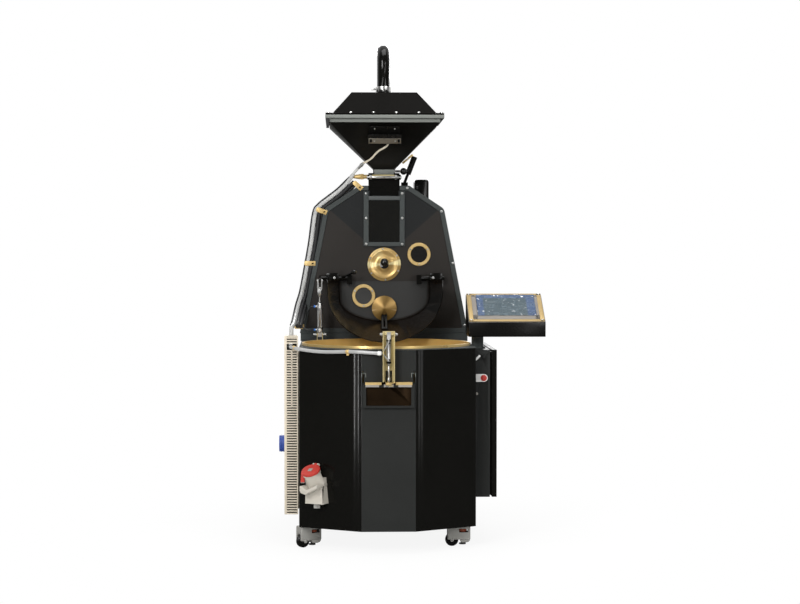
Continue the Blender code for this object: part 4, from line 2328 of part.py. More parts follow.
EXHAUST_LEFT = 0.135
EXHAUST_WIDTH = 0.062
EXHAUST_RIGHT = EXHAUST_LEFT + EXHAUST_WIDTH
EXHAUST_FRONT = 0.560
EXHAUST_LENGTH = 0.160
EXHAUST_BACK = EXHAUST_FRONT + EXHAUST_LENGTH
EXHAUST_RISE = 0.034
EXHAUST_TOP = HEAD_CROWN_HEIGHT + EXHAUST_RISE
EXHAUST_EDGE = 0.010
EXHAUST_DROP = 0.071
EXHAUST_BOTTOM = HEAD_CROWN_HEIGHT - EXHAUST_DROP


def exhaust_box():
    """The box on the sloping roof of the head."""
    box = block(
        "exhaust_box",
        (EXHAUST_LEFT, EXHAUST_FRONT, EXHAUST_BOTTOM),
        (EXHAUST_RIGHT, EXHAUST_BACK, EXHAUST_TOP),
    )
    edge = box.modifiers.new("edge", "BEVEL")
    edge.width = EXHAUST_EDGE
    edge.segments = 2
    roof = plate(
        "roof_space",
        [head_outline(-GAP)],
        EXHAUST_BACK - EXHAUST_FRONT + OVERRUN,
        (0, (EXHAUST_FRONT + EXHAUST_BACK) / 2, 0),
        facing="front",
        helper=True,
    )
    finish(cut(box, roof), "gloss black")


# Left side: cable duct, sockets and conduit

DUCT_STANDOFF = 0.0105
DUCT_RIGHT = -CABINET_HALF_WIDTH - DUCT_STANDOFF
DUCT_WIDTH = 0.048
DUCT_FRONT = -0.160
DUCT_DEPTH = 0.080
DUCT_RISE = 0.041
DUCT_BOTTOM = CABINET_BOTTOM + DUCT_RISE
DUCT_OVERTOP = 0.043
DUCT_TOP = CABINET_TOP + DUCT_OVERTOP
DUCT_STRIP_INSET = 0.020
CONDUIT_RADIUS = 0.0085
CONDUIT_ROUTE = [
    (-0.1300, 0.3600, 1.4770),
    (-0.1560, 0.3600, 1.4420),
    (-0.1910, 0.3600, 1.4080),
    (-0.2330, 0.3600, 1.3760),
    (-0.2700, 0.3600, 1.3460),
    (-0.2880, 0.3600, 1.3160),
    (-0.3050, 0.3600, 1.1930),
    (-0.3230, 0.3600, 1.0910),
    (-0.3420, 0.3570, 0.9900),
    (-0.3580, 0.3420, 0.9360),
    (-0.3650, 0.2700, 0.9020),
    (-0.3690, 0.1500, 0.8760),
    (-0.3720, 0.0200, 0.8600),
    (-0.3740, -0.0700, 0.8590),
    (-0.3760, -0.1080, 0.8560),
    (-0.3765, -0.1200, 0.8480),
    (-0.3765, -0.1200, 0.8370),
    (-0.3765, -0.1200, 0.8264),
]


def cable_duct():
    """The slotted trunking on the left wall, on its mounting strip."""
    duct = block(
        "cable_duct",
        (DUCT_RIGHT - DUCT_WIDTH, DUCT_FRONT, DUCT_BOTTOM),
        (DUCT_RIGHT, DUCT_FRONT + DUCT_DEPTH, DUCT_TOP),
    )
    strip = block(
        "duct_strip",
        (DUCT_RIGHT - LAP, DUCT_FRONT + DUCT_STRIP_INSET, DUCT_BOTTOM + DUCT_STRIP_INSET),
        (
            -CABINET_HALF_WIDTH - GAP,
            DUCT_FRONT + DUCT_DEPTH - DUCT_STRIP_INSET,
            CABINET_TOP - DUCT_STRIP_INSET,
        ),
        helper=True,
    )
    finish(join(duct, strip), "beige plastic")


def edge_conduit():
    """The wiring conduit strapped along the head's left edge, down into the duct."""
    conduit = tube("edge_conduit", smooth_route(CONDUIT_ROUTE, steps=2), CONDUIT_RADIUS, resolution=2)
    finish(conduit, "pale hose")


SOCKET_FRONT = 0.020
SOCKET_DEPTH = 0.075
SOCKET_RISE = 0.246
SOCKET_BOTTOM = CABINET_BOTTOM + SOCKET_RISE
SOCKET_HEIGHT = 0.105
SOCKET_BOX_WIDTH = 0.045
SNOUT_RADIUS = 0.033
SNOUT_BORE_RADIUS = 0.027
SNOUT_BORE_DEPTH = 0.030


def side_socket():
    """The round wall socket on the left side, behind the duct."""
    wall = -CABINET_HALF_WIDTH - GAP
    box = block(
        "side_socket",
        (wall - SOCKET_BOX_WIDTH, SOCKET_FRONT, SOCKET_BOTTOM),
        (wall, SOCKET_FRONT + SOCKET_DEPTH, SOCKET_BOTTOM + SOCKET_HEIGHT),
    )
    middle = Vector((0, SOCKET_FRONT + SOCKET_DEPTH / 2, SOCKET_BOTTOM + SOCKET_HEIGHT / 2))
    outer = Vector((-SOCKET_REACH, 0, 0))
    snout = bar(
        "socket_snout", middle + Vector((wall - SOCKET_BOX_WIDTH + LAP, 0, 0)), middle + outer, SNOUT_RADIUS,
        helper=True,
    )
    bore = bar(
        "socket_bore",
        middle + outer - Vector((OVERRUN, 0, 0)),
        middle + outer + Vector((SNOUT_BORE_DEPTH, 0, 0)),
        SNOUT_BORE_RADIUS,
        helper=True,
    )
    finish(cut(join(box, snout), bore), "blue plastic")


# Power inlet on the left front facet

INLET_INSET = 0.073
INLET_X = INLET_INSET - CABINET_HALF_WIDTH
INLET_RISE = 0.151
INLET_HEIGHT = CABINET_BOTTOM + INLET_RISE
INLET_WIDTH = 0.078
INLET_TALL = 0.100
INLET_DEPTH = 0.046
INLET_SNOUT_RADIUS = 0.034
INLET_SNOUT_LENGTH = 0.052
INLET_SNOUT_ROOT = 0.030
INLET_SNOUT_TILT = math.radians(60)
INLET_BORE_RADIUS = 0.028
INLET_BORE_DEPTH = 0.040
INLET_SNOUT_LIFT = 0.030
GLAND_RADIUS = 0.014
GLAND_LENGTH = 0.018
GLAND_SIDES = 6
LID_RADIUS = 0.037
LID_THICKNESS = 0.008
LID_CLEARANCE = 0.0006
LID_PIN_RADIUS = 0.003
LID_EAR_HALF_WIDTH = 0.006
LID_WEB_RADIUS = 0.0036
KNUCKLE_WIDTH = 0.0072
LID_KNUCKLE_RADIUS = 0.0065


def facet_directions():
    """Along the left front facet to the right, and out of it."""
    along = Vector((CABINET_HALF_WIDTH - FACET_HALF_WIDTH, FACET_FRONT - SIDE_FRONT, 0)).normalized()
    return along, Vector((along.y, -along.x, 0))


def on_facet(across, out, height):
    """A point named by its place across the left front facet, its distance out of it, and its height."""
    along, outward = facet_directions()
    share = (INLET_X + CABINET_HALF_WIDTH) / (CABINET_HALF_WIDTH - FACET_HALF_WIDTH)
    foot = Vector((INLET_X, SIDE_FRONT + (FACET_FRONT - SIDE_FRONT) * share, 0))
    return foot + along * across + outward * out + Vector((0, 0, height))


def facet_box(name, half_width, inner, outer, bottom, top, top_outer=None, helper=False):
    """A box that stands on the left front facet. Its front may lean."""
    sections = []
    for height, reach in ((bottom, outer), (top, outer if top_outer is None else top_outer)):
        sections.append(
            [
                on_facet(-half_width, reach, height),
                on_facet(half_width, reach, height),
                on_facet(half_width, inner, height),
                on_facet(-half_width, inner, height),
            ]
        )
    return loft(name, sections, closed=True, helper=helper)


def power_inlet():
    """The wall-mounted appliance inlet: a wedge box, a snout that tilts up, a gland and a hinged red lid."""
    bottom = INLET_HEIGHT - INLET_TALL / 2
    top = INLET_HEIGHT + INLET_TALL / 2
    box = facet_box(
        "power_inlet",
        INLET_WIDTH / 2,
        2 * GAP,
        INLET_DEPTH,
        bottom,
        top,
        top_outer=INLET_DEPTH / 2,
    )
    _, outward = facet_directions()
    axis = outward * math.cos(INLET_SNOUT_TILT) + Vector((0, 0, math.sin(INLET_SNOUT_TILT)))
    lift = Vector((0, 0, math.cos(INLET_SNOUT_TILT))) - outward * math.sin(INLET_SNOUT_TILT)
    root = on_facet(0, INLET_DEPTH / 2, INLET_HEIGHT + INLET_SNOUT_LIFT)
    mouth = root + axis * INLET_SNOUT_LENGTH
    snout = bar("inlet_snout", root - axis * INLET_SNOUT_ROOT, mouth, INLET_SNOUT_RADIUS, helper=True)
    wall_space = facet_box(
        "inlet_wall_space",
        INLET_WIDTH,
        -2 * INLET_DEPTH,
        2 * GAP,
        bottom - INLET_DEPTH,
        top + INLET_DEPTH,
        helper=True,
    )
    bore = bar(
        "inlet_bore", mouth - axis * INLET_BORE_DEPTH, mouth + axis * OVERRUN, INLET_BORE_RADIUS, helper=True
    )
    gland = bar(
        "inlet_gland",
        on_facet(0, INLET_DEPTH / 2, bottom + LAP),
        on_facet(0, INLET_DEPTH / 2, bottom - GLAND_LENGTH),
        GLAND_RADIUS,
        GLAND_SIDES,
        helper=True,
    )
    along, _ = facet_directions()
    hinge = mouth + lift * (LID_RADIUS + LID_KNUCKLE_RADIUS) + axis * LID_CLEARANCE
    knuckles = []
    for n, side in enumerate((-1, 1)):
        start = hinge + along * side * (LID_EAR_HALF_WIDTH + GAP)
        end = hinge + along * side * (LID_EAR_HALF_WIDTH + KNUCKLE_WIDTH)
        knuckles.append(bar(f"inlet_knuckle_{n}", start, end, LID_KNUCKLE_RADIUS, TINY_SIDES, helper=True))
        strut_foot = mouth - axis * INLET_SNOUT_LENGTH / 3 + lift * (INLET_SNOUT_RADIUS - LAP)
        middle = (start + end) / 2
        strut = strut_foot + (middle - hinge)
        knuckles.append(
            bar(f"inlet_strut_{n}", strut, middle, LID_EAR_HALF_WIDTH / 2, TINY_SIDES, helper=True)
        )
    pin = bar(
        "inlet_lid_pin",
        hinge - along * LID_EAR_HALF_WIDTH * 2,
        hinge + along * LID_EAR_HALF_WIDTH * 2,
        LID_PIN_RADIUS,
        TINY_SIDES,
        helper=True,
    )
    finish(cut(join(box, snout, gland, *knuckles, pin), bore, wall_space), "beige plastic")
    swing = joint_frame("inlet_lid_hinge", hinge)
    base = mouth + axis * LID_CLEARANCE
    lid = bar("inlet_lid", base, base + axis * LID_THICKNESS, LID_RADIUS)
    ear = bar(
        "lid_ear",
        hinge - along * LID_EAR_HALF_WIDTH,
        hinge + along * LID_EAR_HALF_WIDTH,
        LID_KNUCKLE_RADIUS,
        TINY_SIDES,
        helper=True,
    )
    web_foot = base + axis * LID_THICKNESS / 2 + lift * (LID_RADIUS - 3 * LAP)
    web = bar("lid_web", web_foot, hinge + axis * LAP, LID_WEB_RADIUS, TINY_SIDES, helper=True)
    bore = bar(
        "lid_pin_hole",
        hinge - along * (LID_EAR_HALF_WIDTH + OVERRUN / 4),
        hinge + along * (LID_EAR_HALF_WIDTH + OVERRUN / 4),
        bore_radius(LID_PIN_RADIUS, TINY_SIDES),
        TINY_SIDES,
        helper=True,
    )
    carry(swing, finish(cut(join(lid, ear, web), bore), "red plastic"))


# Right side: switch cabinet and operator panel

SWITCH_CABINET_FRONT = -0.140
SWITCH_CABINET_LENGTH = 0.600
SWITCH_CABINET_BACK = SWITCH_CABINET_FRONT + SWITCH_CABINET_LENGTH
SWITCH_CABINET_DROP = 0.014
SWITCH_CABINET_HEIGHT = 0.581
SWITCH_CABINET_TOP = CABINET_TOP - SWITCH_CABINET_DROP
SWITCH_CABINET_BOTTOM = SWITCH_CABINET_TOP - SWITCH_CABINET_HEIGHT
SWITCH_CABINET_WALL = 0.002
SEAL_INSET = 0.007
SEAL_HEIGHT = 0.0077
CABINET_DOOR_DEPTH = 0.019
CABINET_DOOR_WALL = 0.002
HINGE_RADIUS = 0.005
HINGE_PIN_RADIUS = 0.0025
HINGE_LENGTH = 0.030
HINGE_INSET = 0.080
HINGE_OFFSET = 0.0015
SWITCH_STANDOFF = 0.035
SWITCH_X = CABINET_HALF_WIDTH + SWITCH_STANDOFF
SWITCH_DROP = 0.110
SWITCH_HEIGHT = SWITCH_CABINET_TOP - SWITCH_DROP
SWITCH_PLATE_HALF = 0.0165
SWITCH_PLATE_DEPTH = 0.004
SWITCH_KNOB_RADIUS = 0.0125
SWITCH_KNOB_DEPTH = 0.012
SWITCH_GRIP_HALF_WIDTH = 0.003
SWITCH_GRIP_DEPTH = 0.008
SWITCH_SPINDLE_RADIUS = 0.0035
LAMP_DROP = 0.027
LAMP_HEIGHT = SWITCH_CABINET_TOP - LAMP_DROP
LAMP_RADIUS = 0.006

SWITCH_CABINET_LEFT = CABINET_HALF_WIDTH + GAP
SWITCH_CABINET_RIGHT = SWITCH_CABINET_LEFT + SWITCH_CABINET_DEPTH
CABINET_DOOR_LEFT = SWITCH_CABINET_RIGHT + SEAL_HEIGHT + GAP
CABINET_HINGE_X = CABINET_DOOR_LEFT
CABINET_HINGE_Y = SWITCH_CABINET_BACK + HINGE_RADIUS + HINGE_OFFSET


def hinge_heights():
    """The bottom of each of the cabinet's two hinges."""
    return (
        SWITCH_CABINET_BOTTOM + HINGE_INSET,
        SWITCH_CABINET_TOP - HINGE_INSET - 2 * HINGE_LENGTH,
    )


def switch_cabinet():
    """The flat switch cabinet on the right wall, open to the right, with a sealing lip and hinge pins."""
    box = block(
        "switch_cabinet",
        (SWITCH_CABINET_LEFT, SWITCH_CABINET_FRONT, SWITCH_CABINET_BOTTOM),
        (SWITCH_CABINET_RIGHT, SWITCH_CABINET_BACK, SWITCH_CABINET_TOP),
    )
    lip = block(
        "seal_lip",
        (SWITCH_CABINET_RIGHT - LAP, SWITCH_CABINET_FRONT + SEAL_INSET, SWITCH_CABINET_BOTTOM + SEAL_INSET),
        (
            SWITCH_CABINET_RIGHT + SEAL_HEIGHT,
            SWITCH_CABINET_BACK - SEAL_INSET,
            SWITCH_CABINET_TOP - SEAL_INSET,
        ),
        helper=True,
    )
    wall = SEAL_INSET + SWITCH_CABINET_WALL
    inside = block(
        "switch_cabinet_inside",
        (
            SWITCH_CABINET_LEFT + SWITCH_CABINET_WALL,
            SWITCH_CABINET_FRONT + wall,
            SWITCH_CABINET_BOTTOM + wall,
        ),
        (
            SWITCH_CABINET_RIGHT + SEAL_HEIGHT + OVERRUN,
            SWITCH_CABINET_BACK - wall,
            SWITCH_CABINET_TOP - wall,
        ),
        helper=True,
    )
    hinges = []
    for n, height in enumerate(hinge_heights()):
        x, y = CABINET_HINGE_X, CABINET_HINGE_Y
        hinges.append(
            bar(f"hinge_pin_{n}", (x, y, height), (x, y, height + 2 * HINGE_LENGTH), HINGE_PIN_RADIUS,
                TINY_SIDES, helper=True)
        )
        hinges.append(
            bar(f"hinge_knuckle_{n}", (x, y, height), (x, y, height + HINGE_LENGTH), HINGE_RADIUS,
                TINY_SIDES, helper=True)
        )
        hinges.append(
            block(
                f"hinge_leaf_{n}",
                (SWITCH_CABINET_RIGHT - 3 * HINGE_RADIUS, SWITCH_CABINET_BACK - LAP, height),
                (x, y, height + HINGE_LENGTH),
                helper=True,
            )
        )
    spindle = bar(
        "switch_spindle_hole",
        (SWITCH_X, SWITCH_CABINET_FRONT - OVERRUN, SWITCH_HEIGHT),
        (SWITCH_X, SWITCH_CABINET_FRONT + OVERRUN, SWITCH_HEIGHT),
        bore_radius(SWITCH_SPINDLE_RADIUS, TINY_SIDES),
        TINY_SIDES,
        helper=True,
    )
    switch_plate = block(
        "switch_plate",
        (
            SWITCH_X - SWITCH_PLATE_HALF,
            SWITCH_CABINET_FRONT - SWITCH_PLATE_DEPTH,
            SWITCH_HEIGHT - SWITCH_PLATE_HALF,
        ),
        (SWITCH_X + SWITCH_PLATE_HALF, SWITCH_CABINET_FRONT + LAP / 2, SWITCH_HEIGHT + SWITCH_PLATE_HALF),
        helper=True,
    )
    lamp = bar(
        "pilot_lamp",
        (SWITCH_X, SWITCH_CABINET_FRONT + LAP / 2, LAMP_HEIGHT),
        (SWITCH_X, SWITCH_CABINET_FRONT - 2 * LAMP_RADIUS, LAMP_HEIGHT),
        LAMP_RADIUS,
        TINY_SIDES,
        helper=True,
    )
    finish(cut(join(cut(join(box, lip), inside), *hinges, switch_plate, lamp), spindle), "gloss black")


def cabinet_door():
    """The door of the switch cabinet: a shallow tray with a knuckle on each hinge pin."""
    swing = joint_frame("cabinet_door_hinge", (CABINET_HINGE_X, CABINET_HINGE_Y, SWITCH_CABINET_BOTTOM))
    left, right = CABINET_DOOR_LEFT, CABINET_DOOR_LEFT + CABINET_DOOR_DEPTH
    door = block(
        "cabinet_door",
        (left, SWITCH_CABINET_FRONT, SWITCH_CABINET_BOTTOM),
        (right, SWITCH_CABINET_BACK, SWITCH_CABINET_TOP),
    )
    wall = CABINET_DOOR_WALL
    inside = block(
        "cabinet_door_inside",
        (left - OVERRUN, SWITCH_CABINET_FRONT + wall, SWITCH_CABINET_BOTTOM + wall),
        (right - wall, SWITCH_CABINET_BACK - wall, SWITCH_CABINET_TOP - wall),
        helper=True,
    )
    knuckles, holes = [], []
    for n, height in enumerate(hinge_heights()):
        x, y = CABINET_HINGE_X, CABINET_HINGE_Y
        bottom, top = height + HINGE_LENGTH + GAP, height + 2 * HINGE_LENGTH
        knuckles.append(
            bar(f"door_knuckle_{n}", (x, y, bottom), (x, y, top), HINGE_RADIUS, TINY_SIDES, helper=True)
        )
        knuckles.append(
            block(
                f"door_leaf_{n}",
                (x, SWITCH_CABINET_BACK - wall / 2, bottom),
                (x + 2 * HINGE_RADIUS, y, top),
                helper=True,
            )
        )
        holes.append(
            bar(
                f"door_knuckle_hole_{n}",
                (x, y, bottom - OVERRUN),
                (x, y, top + OVERRUN),
                bore_radius(HINGE_PIN_RADIUS, TINY_SIDES),
                TINY_SIDES,
                helper=True,
            )
        )
    carry(swing, finish(cut(join(cut(door, inside), *knuckles), *holes), "gloss black"))


def main_switch():
    """The red rotary handle of the main switch."""
    front = SWITCH_CABINET_FRONT - SWITCH_PLATE_DEPTH - GAP
    turn = joint_frame("main_switch_axis", (SWITCH_X, front, SWITCH_HEIGHT))
    axis = Vector((SWITCH_X, 0, SWITCH_HEIGHT))
    knob = bar(
        "main_switch",
        axis + Vector((0, front, 0)),
        axis + Vector((0, front - SWITCH_KNOB_DEPTH, 0)),
        SWITCH_KNOB_RADIUS,
    )
    grip = block(
        "switch_grip",
        (
            SWITCH_X - SWITCH_GRIP_HALF_WIDTH,
            front - SWITCH_KNOB_DEPTH - SWITCH_GRIP_DEPTH,
            SWITCH_HEIGHT - SWITCH_KNOB_RADIUS + LAP,
        ),
        (
            SWITCH_X + SWITCH_GRIP_HALF_WIDTH,
            front - SWITCH_KNOB_DEPTH + LAP,
            SWITCH_HEIGHT + SWITCH_KNOB_RADIUS - LAP,
        ),
        helper=True,
    )
    spindle = bar(
        "switch_spindle",
        axis + Vector((0, front - LAP, 0)),
        axis + Vector((0, SWITCH_CABINET_FRONT + OVERRUN / 4, 0)),
        SWITCH_SPINDLE_RADIUS,
        TINY_SIDES,
        helper=True,
    )
    carry(turn, finish(join(knob, grip, spindle), "red plastic"))


HMI_POST_STANDOFF = 0.0305
HMI_POST_X = CABINET_HALF_WIDTH + HMI_POST_STANDOFF
HMI_POST_Y = 0.010
HMI_POST_RADIUS = 0.020
HMI_FLANGE_RADIUS = 0.028
HMI_FLANGE_HEIGHT = 0.006
HMI_RISE = 0.048
HMI_BOTTOM = SWITCH_CABINET_TOP + HMI_RISE
HMI_FRONT = -0.080
HMI_FRONT_HEIGHT = 0.059
HMI_FRONT_TOP = HMI_BOTTOM + HMI_FRONT_HEIGHT
HMI_BACK = 0.105
HMI_BACK_HEIGHT = 0.167
HMI_BACK_TOP = HMI_BOTTOM + HMI_BACK_HEIGHT
HMI_EDGE = 0.004
HMI_SPIGOT_RADIUS = 0.012
HMI_SPIGOT_LENGTH = 0.030
BEZEL_MARGIN = 0.014
BEZEL_RISE = 0.002
SCREEN_MARGIN = 0.034
SCREEN_DEPTH = 0.0015


def hmi_post():
    """The post of the operator panel, on the switch cabinet."""
    floor = SWITCH_CABINET_TOP + GAP
    bore = bore_radius(HMI_SPIGOT_RADIUS, SMALL_SIDES)
    post = turned(
        "hmi_post",
        [
            (HMI_POST_RADIUS, HMI_BOTTOM - GAP),
            (HMI_POST_RADIUS, floor + HMI_FLANGE_HEIGHT),
            (HMI_FLANGE_RADIUS, floor + HMI_FLANGE_HEIGHT),
            (HMI_FLANGE_RADIUS, floor),
            (bore, floor),
            (bore, HMI_BOTTOM - GAP),
        ],
        (HMI_POST_X, HMI_POST_Y, 0),
        sides=SMALL_SIDES,
    )
    finish(post, "textured grey")


def slope_plate(name, margin, below, above, helper=False):
    """A plate that lies along the sloping top of the operator panel."""
    front = Vector((HMI_FRONT, HMI_FRONT_TOP))
    back = Vector((HMI_BACK, HMI_BACK_TOP))
    up_slope = (back - front).normalized()
    square = Vector((-up_slope.y, up_slope.x))
    low, high = front + up_slope * margin, back - up_slope * margin
    left, right = PANEL_BOX_LEFT + margin, PANEL_BOX_RIGHT - margin
    sections = []
    for offset in (-below, above):
        a, b = low + square * offset, high + square * offset
        sections.append([(left, *a), (right, *a), (right, *b), (left, *b)])
    return loft(name, sections, closed=True, helper=helper)


def hmi_box():
    """The operator panel: a desk-shaped box with a raised bezel and a screen, on its swivel."""
    swivel = joint_frame("hmi_swivel", (HMI_POST_X, HMI_POST_Y, HMI_BOTTOM))
    outline = [
        (HMI_FRONT, HMI_BOTTOM),
        (HMI_BACK, HMI_BOTTOM),
        (HMI_BACK, HMI_BACK_TOP),
        (HMI_FRONT, HMI_FRONT_TOP),
    ]
    box = plate(
        "hmi_box",
        [outline],
        PANEL_BOX_RIGHT - PANEL_BOX_LEFT,
        ((PANEL_BOX_LEFT + PANEL_BOX_RIGHT) / 2, 0, 0),
        facing="right",
    )
    edge = box.modifiers.new("edge", "BEVEL")
    edge.width = HMI_EDGE
    edge.segments = 2
    bezel = slope_plate("hmi_bezel", BEZEL_MARGIN, LAP, BEZEL_RISE, helper=True)
    screen = slope_plate("hmi_screen_space", SCREEN_MARGIN, SCREEN_DEPTH - BEZEL_RISE, OVERRUN, helper=True)
    spigot = bar(
        "hmi_spigot",
        (HMI_POST_X, HMI_POST_Y, HMI_BOTTOM + LAP),
        (HMI_POST_X, HMI_POST_Y, HMI_BOTTOM - HMI_SPIGOT_LENGTH),
        HMI_SPIGOT_RADIUS,
        helper=True,
    )
    carry(swivel, finish(cut(join(box, bezel, spigot), screen), "gloss black"))


def build():
    for name in CASTER_TURNS:
        side = -1 if "left" in name else 1
        caster(name, side, CASTER_FRONT if "front" in name else CASTER_REAR)
    for make in (
        base_frame,
        front_shell,
        back_panel,
        top_deck,
        cooling_tray,
        tray_sieve,
        stirrer_motor,
        stirrer,
        cooling_fan,
        outlet_frame,
        outlet_gate,
        gate_channel,
        gate_cylinder,
        front_hose,
        head_border,
        face_panel,
        head_shell,
        head_back,
        drum_motor,
        roasting_drum,
        gas_burner,
        bearing_cover,
        sampler,
        discharge_chute,
        cylinder_foot,
        discharge,
        charge_frame,
        charge_window,
        charge_neck,
        hopper_slide,
        hopper,
        hopper_cover,
        suction_pipe,
        hopper_vibrator,
        neck_actuator,
        exhaust_box,
        cable_duct,
        edge_conduit,
        side_socket,
        power_inlet,
        switch_cabinet,
        cabinet_door,
        main_switch,
        hmi_post,
        hmi_box,
    ):
        make()
    sight_glass("sight_glass_right", RIGHT_GLASS, FACE)


build()
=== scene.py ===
# %% [markdown]
# # A floor-standing coffee roaster
# The machine is a black sheet-metal cabinet with a brass cooling tray, a roasting head with a drum behind
# its face plate, and a hopper on top. Its working solids are loaded first and stay where they are.
# Everything below gives them finishes, or stands a finer piece in their place.

# %% Load the frame
import json
import math

import bmesh
import bpy
from mathutils import Matrix, Vector


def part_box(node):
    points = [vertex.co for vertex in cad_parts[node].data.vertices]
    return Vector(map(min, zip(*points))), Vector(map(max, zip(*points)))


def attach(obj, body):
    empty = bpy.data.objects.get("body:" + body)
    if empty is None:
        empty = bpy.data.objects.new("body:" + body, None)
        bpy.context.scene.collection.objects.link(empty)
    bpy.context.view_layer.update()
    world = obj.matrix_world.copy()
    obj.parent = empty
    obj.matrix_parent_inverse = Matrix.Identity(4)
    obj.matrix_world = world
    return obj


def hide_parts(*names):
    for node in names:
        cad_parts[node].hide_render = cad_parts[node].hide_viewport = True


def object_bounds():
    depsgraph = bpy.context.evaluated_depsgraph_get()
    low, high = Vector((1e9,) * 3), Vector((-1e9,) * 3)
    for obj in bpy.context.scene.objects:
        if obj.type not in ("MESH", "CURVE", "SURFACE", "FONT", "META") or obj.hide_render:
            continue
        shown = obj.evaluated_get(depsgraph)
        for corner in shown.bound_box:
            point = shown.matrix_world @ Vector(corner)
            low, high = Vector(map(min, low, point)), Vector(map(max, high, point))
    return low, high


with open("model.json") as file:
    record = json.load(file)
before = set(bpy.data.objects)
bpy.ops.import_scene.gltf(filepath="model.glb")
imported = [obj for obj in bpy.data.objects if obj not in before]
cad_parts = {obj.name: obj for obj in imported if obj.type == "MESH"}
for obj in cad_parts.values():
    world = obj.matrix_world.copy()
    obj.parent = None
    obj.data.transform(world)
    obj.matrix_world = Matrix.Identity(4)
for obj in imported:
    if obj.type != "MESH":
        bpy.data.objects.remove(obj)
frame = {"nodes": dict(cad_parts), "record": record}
CAD_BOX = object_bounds()

# %% [markdown]
# ## Where things are
# The machine was laid out from the centre of its cooling tray, so places are easiest to read from there:
# X to the right, Y to the back, Z up from the floor. `at` turns such a place into a place in the frame.
# The drum's axis is named here too, since the bearing cover and the drum's motor are laid out from it.

# %% Places
TRAY_LOW, TRAY_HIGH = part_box("cooling_tray")
TRAY_CENTRE = Vector(((TRAY_LOW.x + TRAY_HIGH.x) / 2, (TRAY_LOW.y + TRAY_HIGH.y) / 2, 0))
X, Y, Z = Vector((1, 0, 0)), Vector((0, 1, 0)), Vector((0, 0, 1))
DRUM_Z = 1.102


def at(x, y, z):
    return TRAY_CENTRE + Vector((x, y, z))


def span(node):
    """The low and high corner of a working solid, measured from the tray's centre."""
    low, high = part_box(node)
    return low - TRAY_CENTRE, high - TRAY_CENTRE


print("tray centre:", [round(v, 4) for v in TRAY_CENTRE])

# %% [markdown]
# ## Shader maths
# A node tree is easier to read as arithmetic. `Link` wraps an output socket, so `1 - mask` or `fine *
# 0.2` adds the Math nodes by itself. Colours and vectors go through Mix and Vector Math, because a Math
# node would turn them grey. Every other node comes from `Finish.node`.


# %% Shader kit
class Link:
    """An output socket that can be reckoned with like a number."""

    def __init__(self, finish, socket):
        self.finish = finish
        self.socket = socket

    def reckon(self, operation, first, second):
        return self.finish.node("ShaderNodeMath", {"operation": operation}, {0: first, 1: second})

    def __add__(self, other):
        return self.reckon("ADD", self, other)

    __radd__ = __add__

    def __sub__(self, other):
        return self.reckon("SUBTRACT", self, other)

    def __rsub__(self, other):
        return self.reckon("SUBTRACT", other, self)

    def __mul__(self, other):
        return self.reckon("MULTIPLY", self, other)

    __rmul__ = __mul__

    def __truediv__(self, other):
        return self.reckon("DIVIDE", self, other)

    def __pow__(self, other):
        return self.reckon("POWER", self, other)

    def __abs__(self):
        return self.reckon("ABSOLUTE", self, 0.0)


print("links can be reckoned with")

# %% [markdown]
# A finish is one material round a Principled shader. It could be wired by hand for each paint, but they
# all use the same few steps: a place, a noise, a ramp, a mix of two colours and a bump. `Finish` has one
# function for each, and `look` feeds the result to the shader.


# %% Finish
class Finish:
    """One procedural material round a Principled shader."""

    def __init__(self, name, constants):
        self.material = bpy.data.materials.new(name)
        self.material.use_nodes = True
        self.tree = self.material.node_tree
        self.shader = self.tree.nodes["Principled BSDF"]
        for socket, value in constants.items():
            self.feed(self.shader.inputs[socket], value)

    def feed(self, socket, value):
        if isinstance(value, Link):
            self.tree.links.new(value.socket, socket)
        elif socket.type == "RGBA":
            socket.default_value = (*value[:3], 1)
        else:
            socket.default_value = value

    def node(self, kind, settings=None, values=None, output=0):
        made = self.tree.nodes.new(kind)
        for name, value in (settings or {}).items():
            setattr(made, name, value)
        for name, value in (values or {}).items():
            self.feed(made.inputs[name], value)
        return Link(self, made.outputs[output])

    def place(self, centre=(0, 0, 0), turn=(0, 0, 0), stretch=(1, 1, 1)):
        """Object coordinates, measured from a centre."""
        here = self.node("ShaderNodeTexCoord", output="Object")
        moved = self.node("ShaderNodeVectorMath", {"operation": "SUBTRACT"}, {0: here, 1: centre})
        return self.node("ShaderNodeMapping", values={"Vector": moved, "Rotation": turn, "Scale": stretch})

    def parts(self, vector):
        """The X, Y and Z of a vector, as three numbers."""
        return [self.node("ShaderNodeSeparateXYZ", values={"Vector": vector}, output=n) for n in range(3)]

    def noise(self, vector, scale, detail=2.0, rough=0.5):
        values = {"Vector": vector, "Scale": scale, "Detail": detail, "Roughness": rough}
        return self.node("ShaderNodeTexNoise", values=values, output=0)

    def ramp(self, value, low, high):
        """0 below low, 1 above high, and smooth between them."""
        settings = {"interpolation_type": "SMOOTHSTEP"}
        return self.node("ShaderNodeMapRange", settings, {"Value": value, "From Min": low, "From Max": high})

    def mix(self, share, first, second):
        """A colour between two others."""
        return self.node("ShaderNodeMix", {"data_type": "RGBA"}, {0: share, 6: first, 7: second}, output=2)

    def bump(self, height, distance):
        values = {"Height": height, "Distance": distance, "Strength": 1.0}
        self.feed(self.shader.inputs["Normal"], self.node("ShaderNodeBump", values=values))

    def look(self, **links):
        """Feeds the shader's colour and roughness."""
        names = {"colour": "Base Color", "roughness": "Roughness"}
        for name, link in links.items():
            self.feed(self.shader.inputs[names[name]], link)
        return self.material


print("shader kit ready")

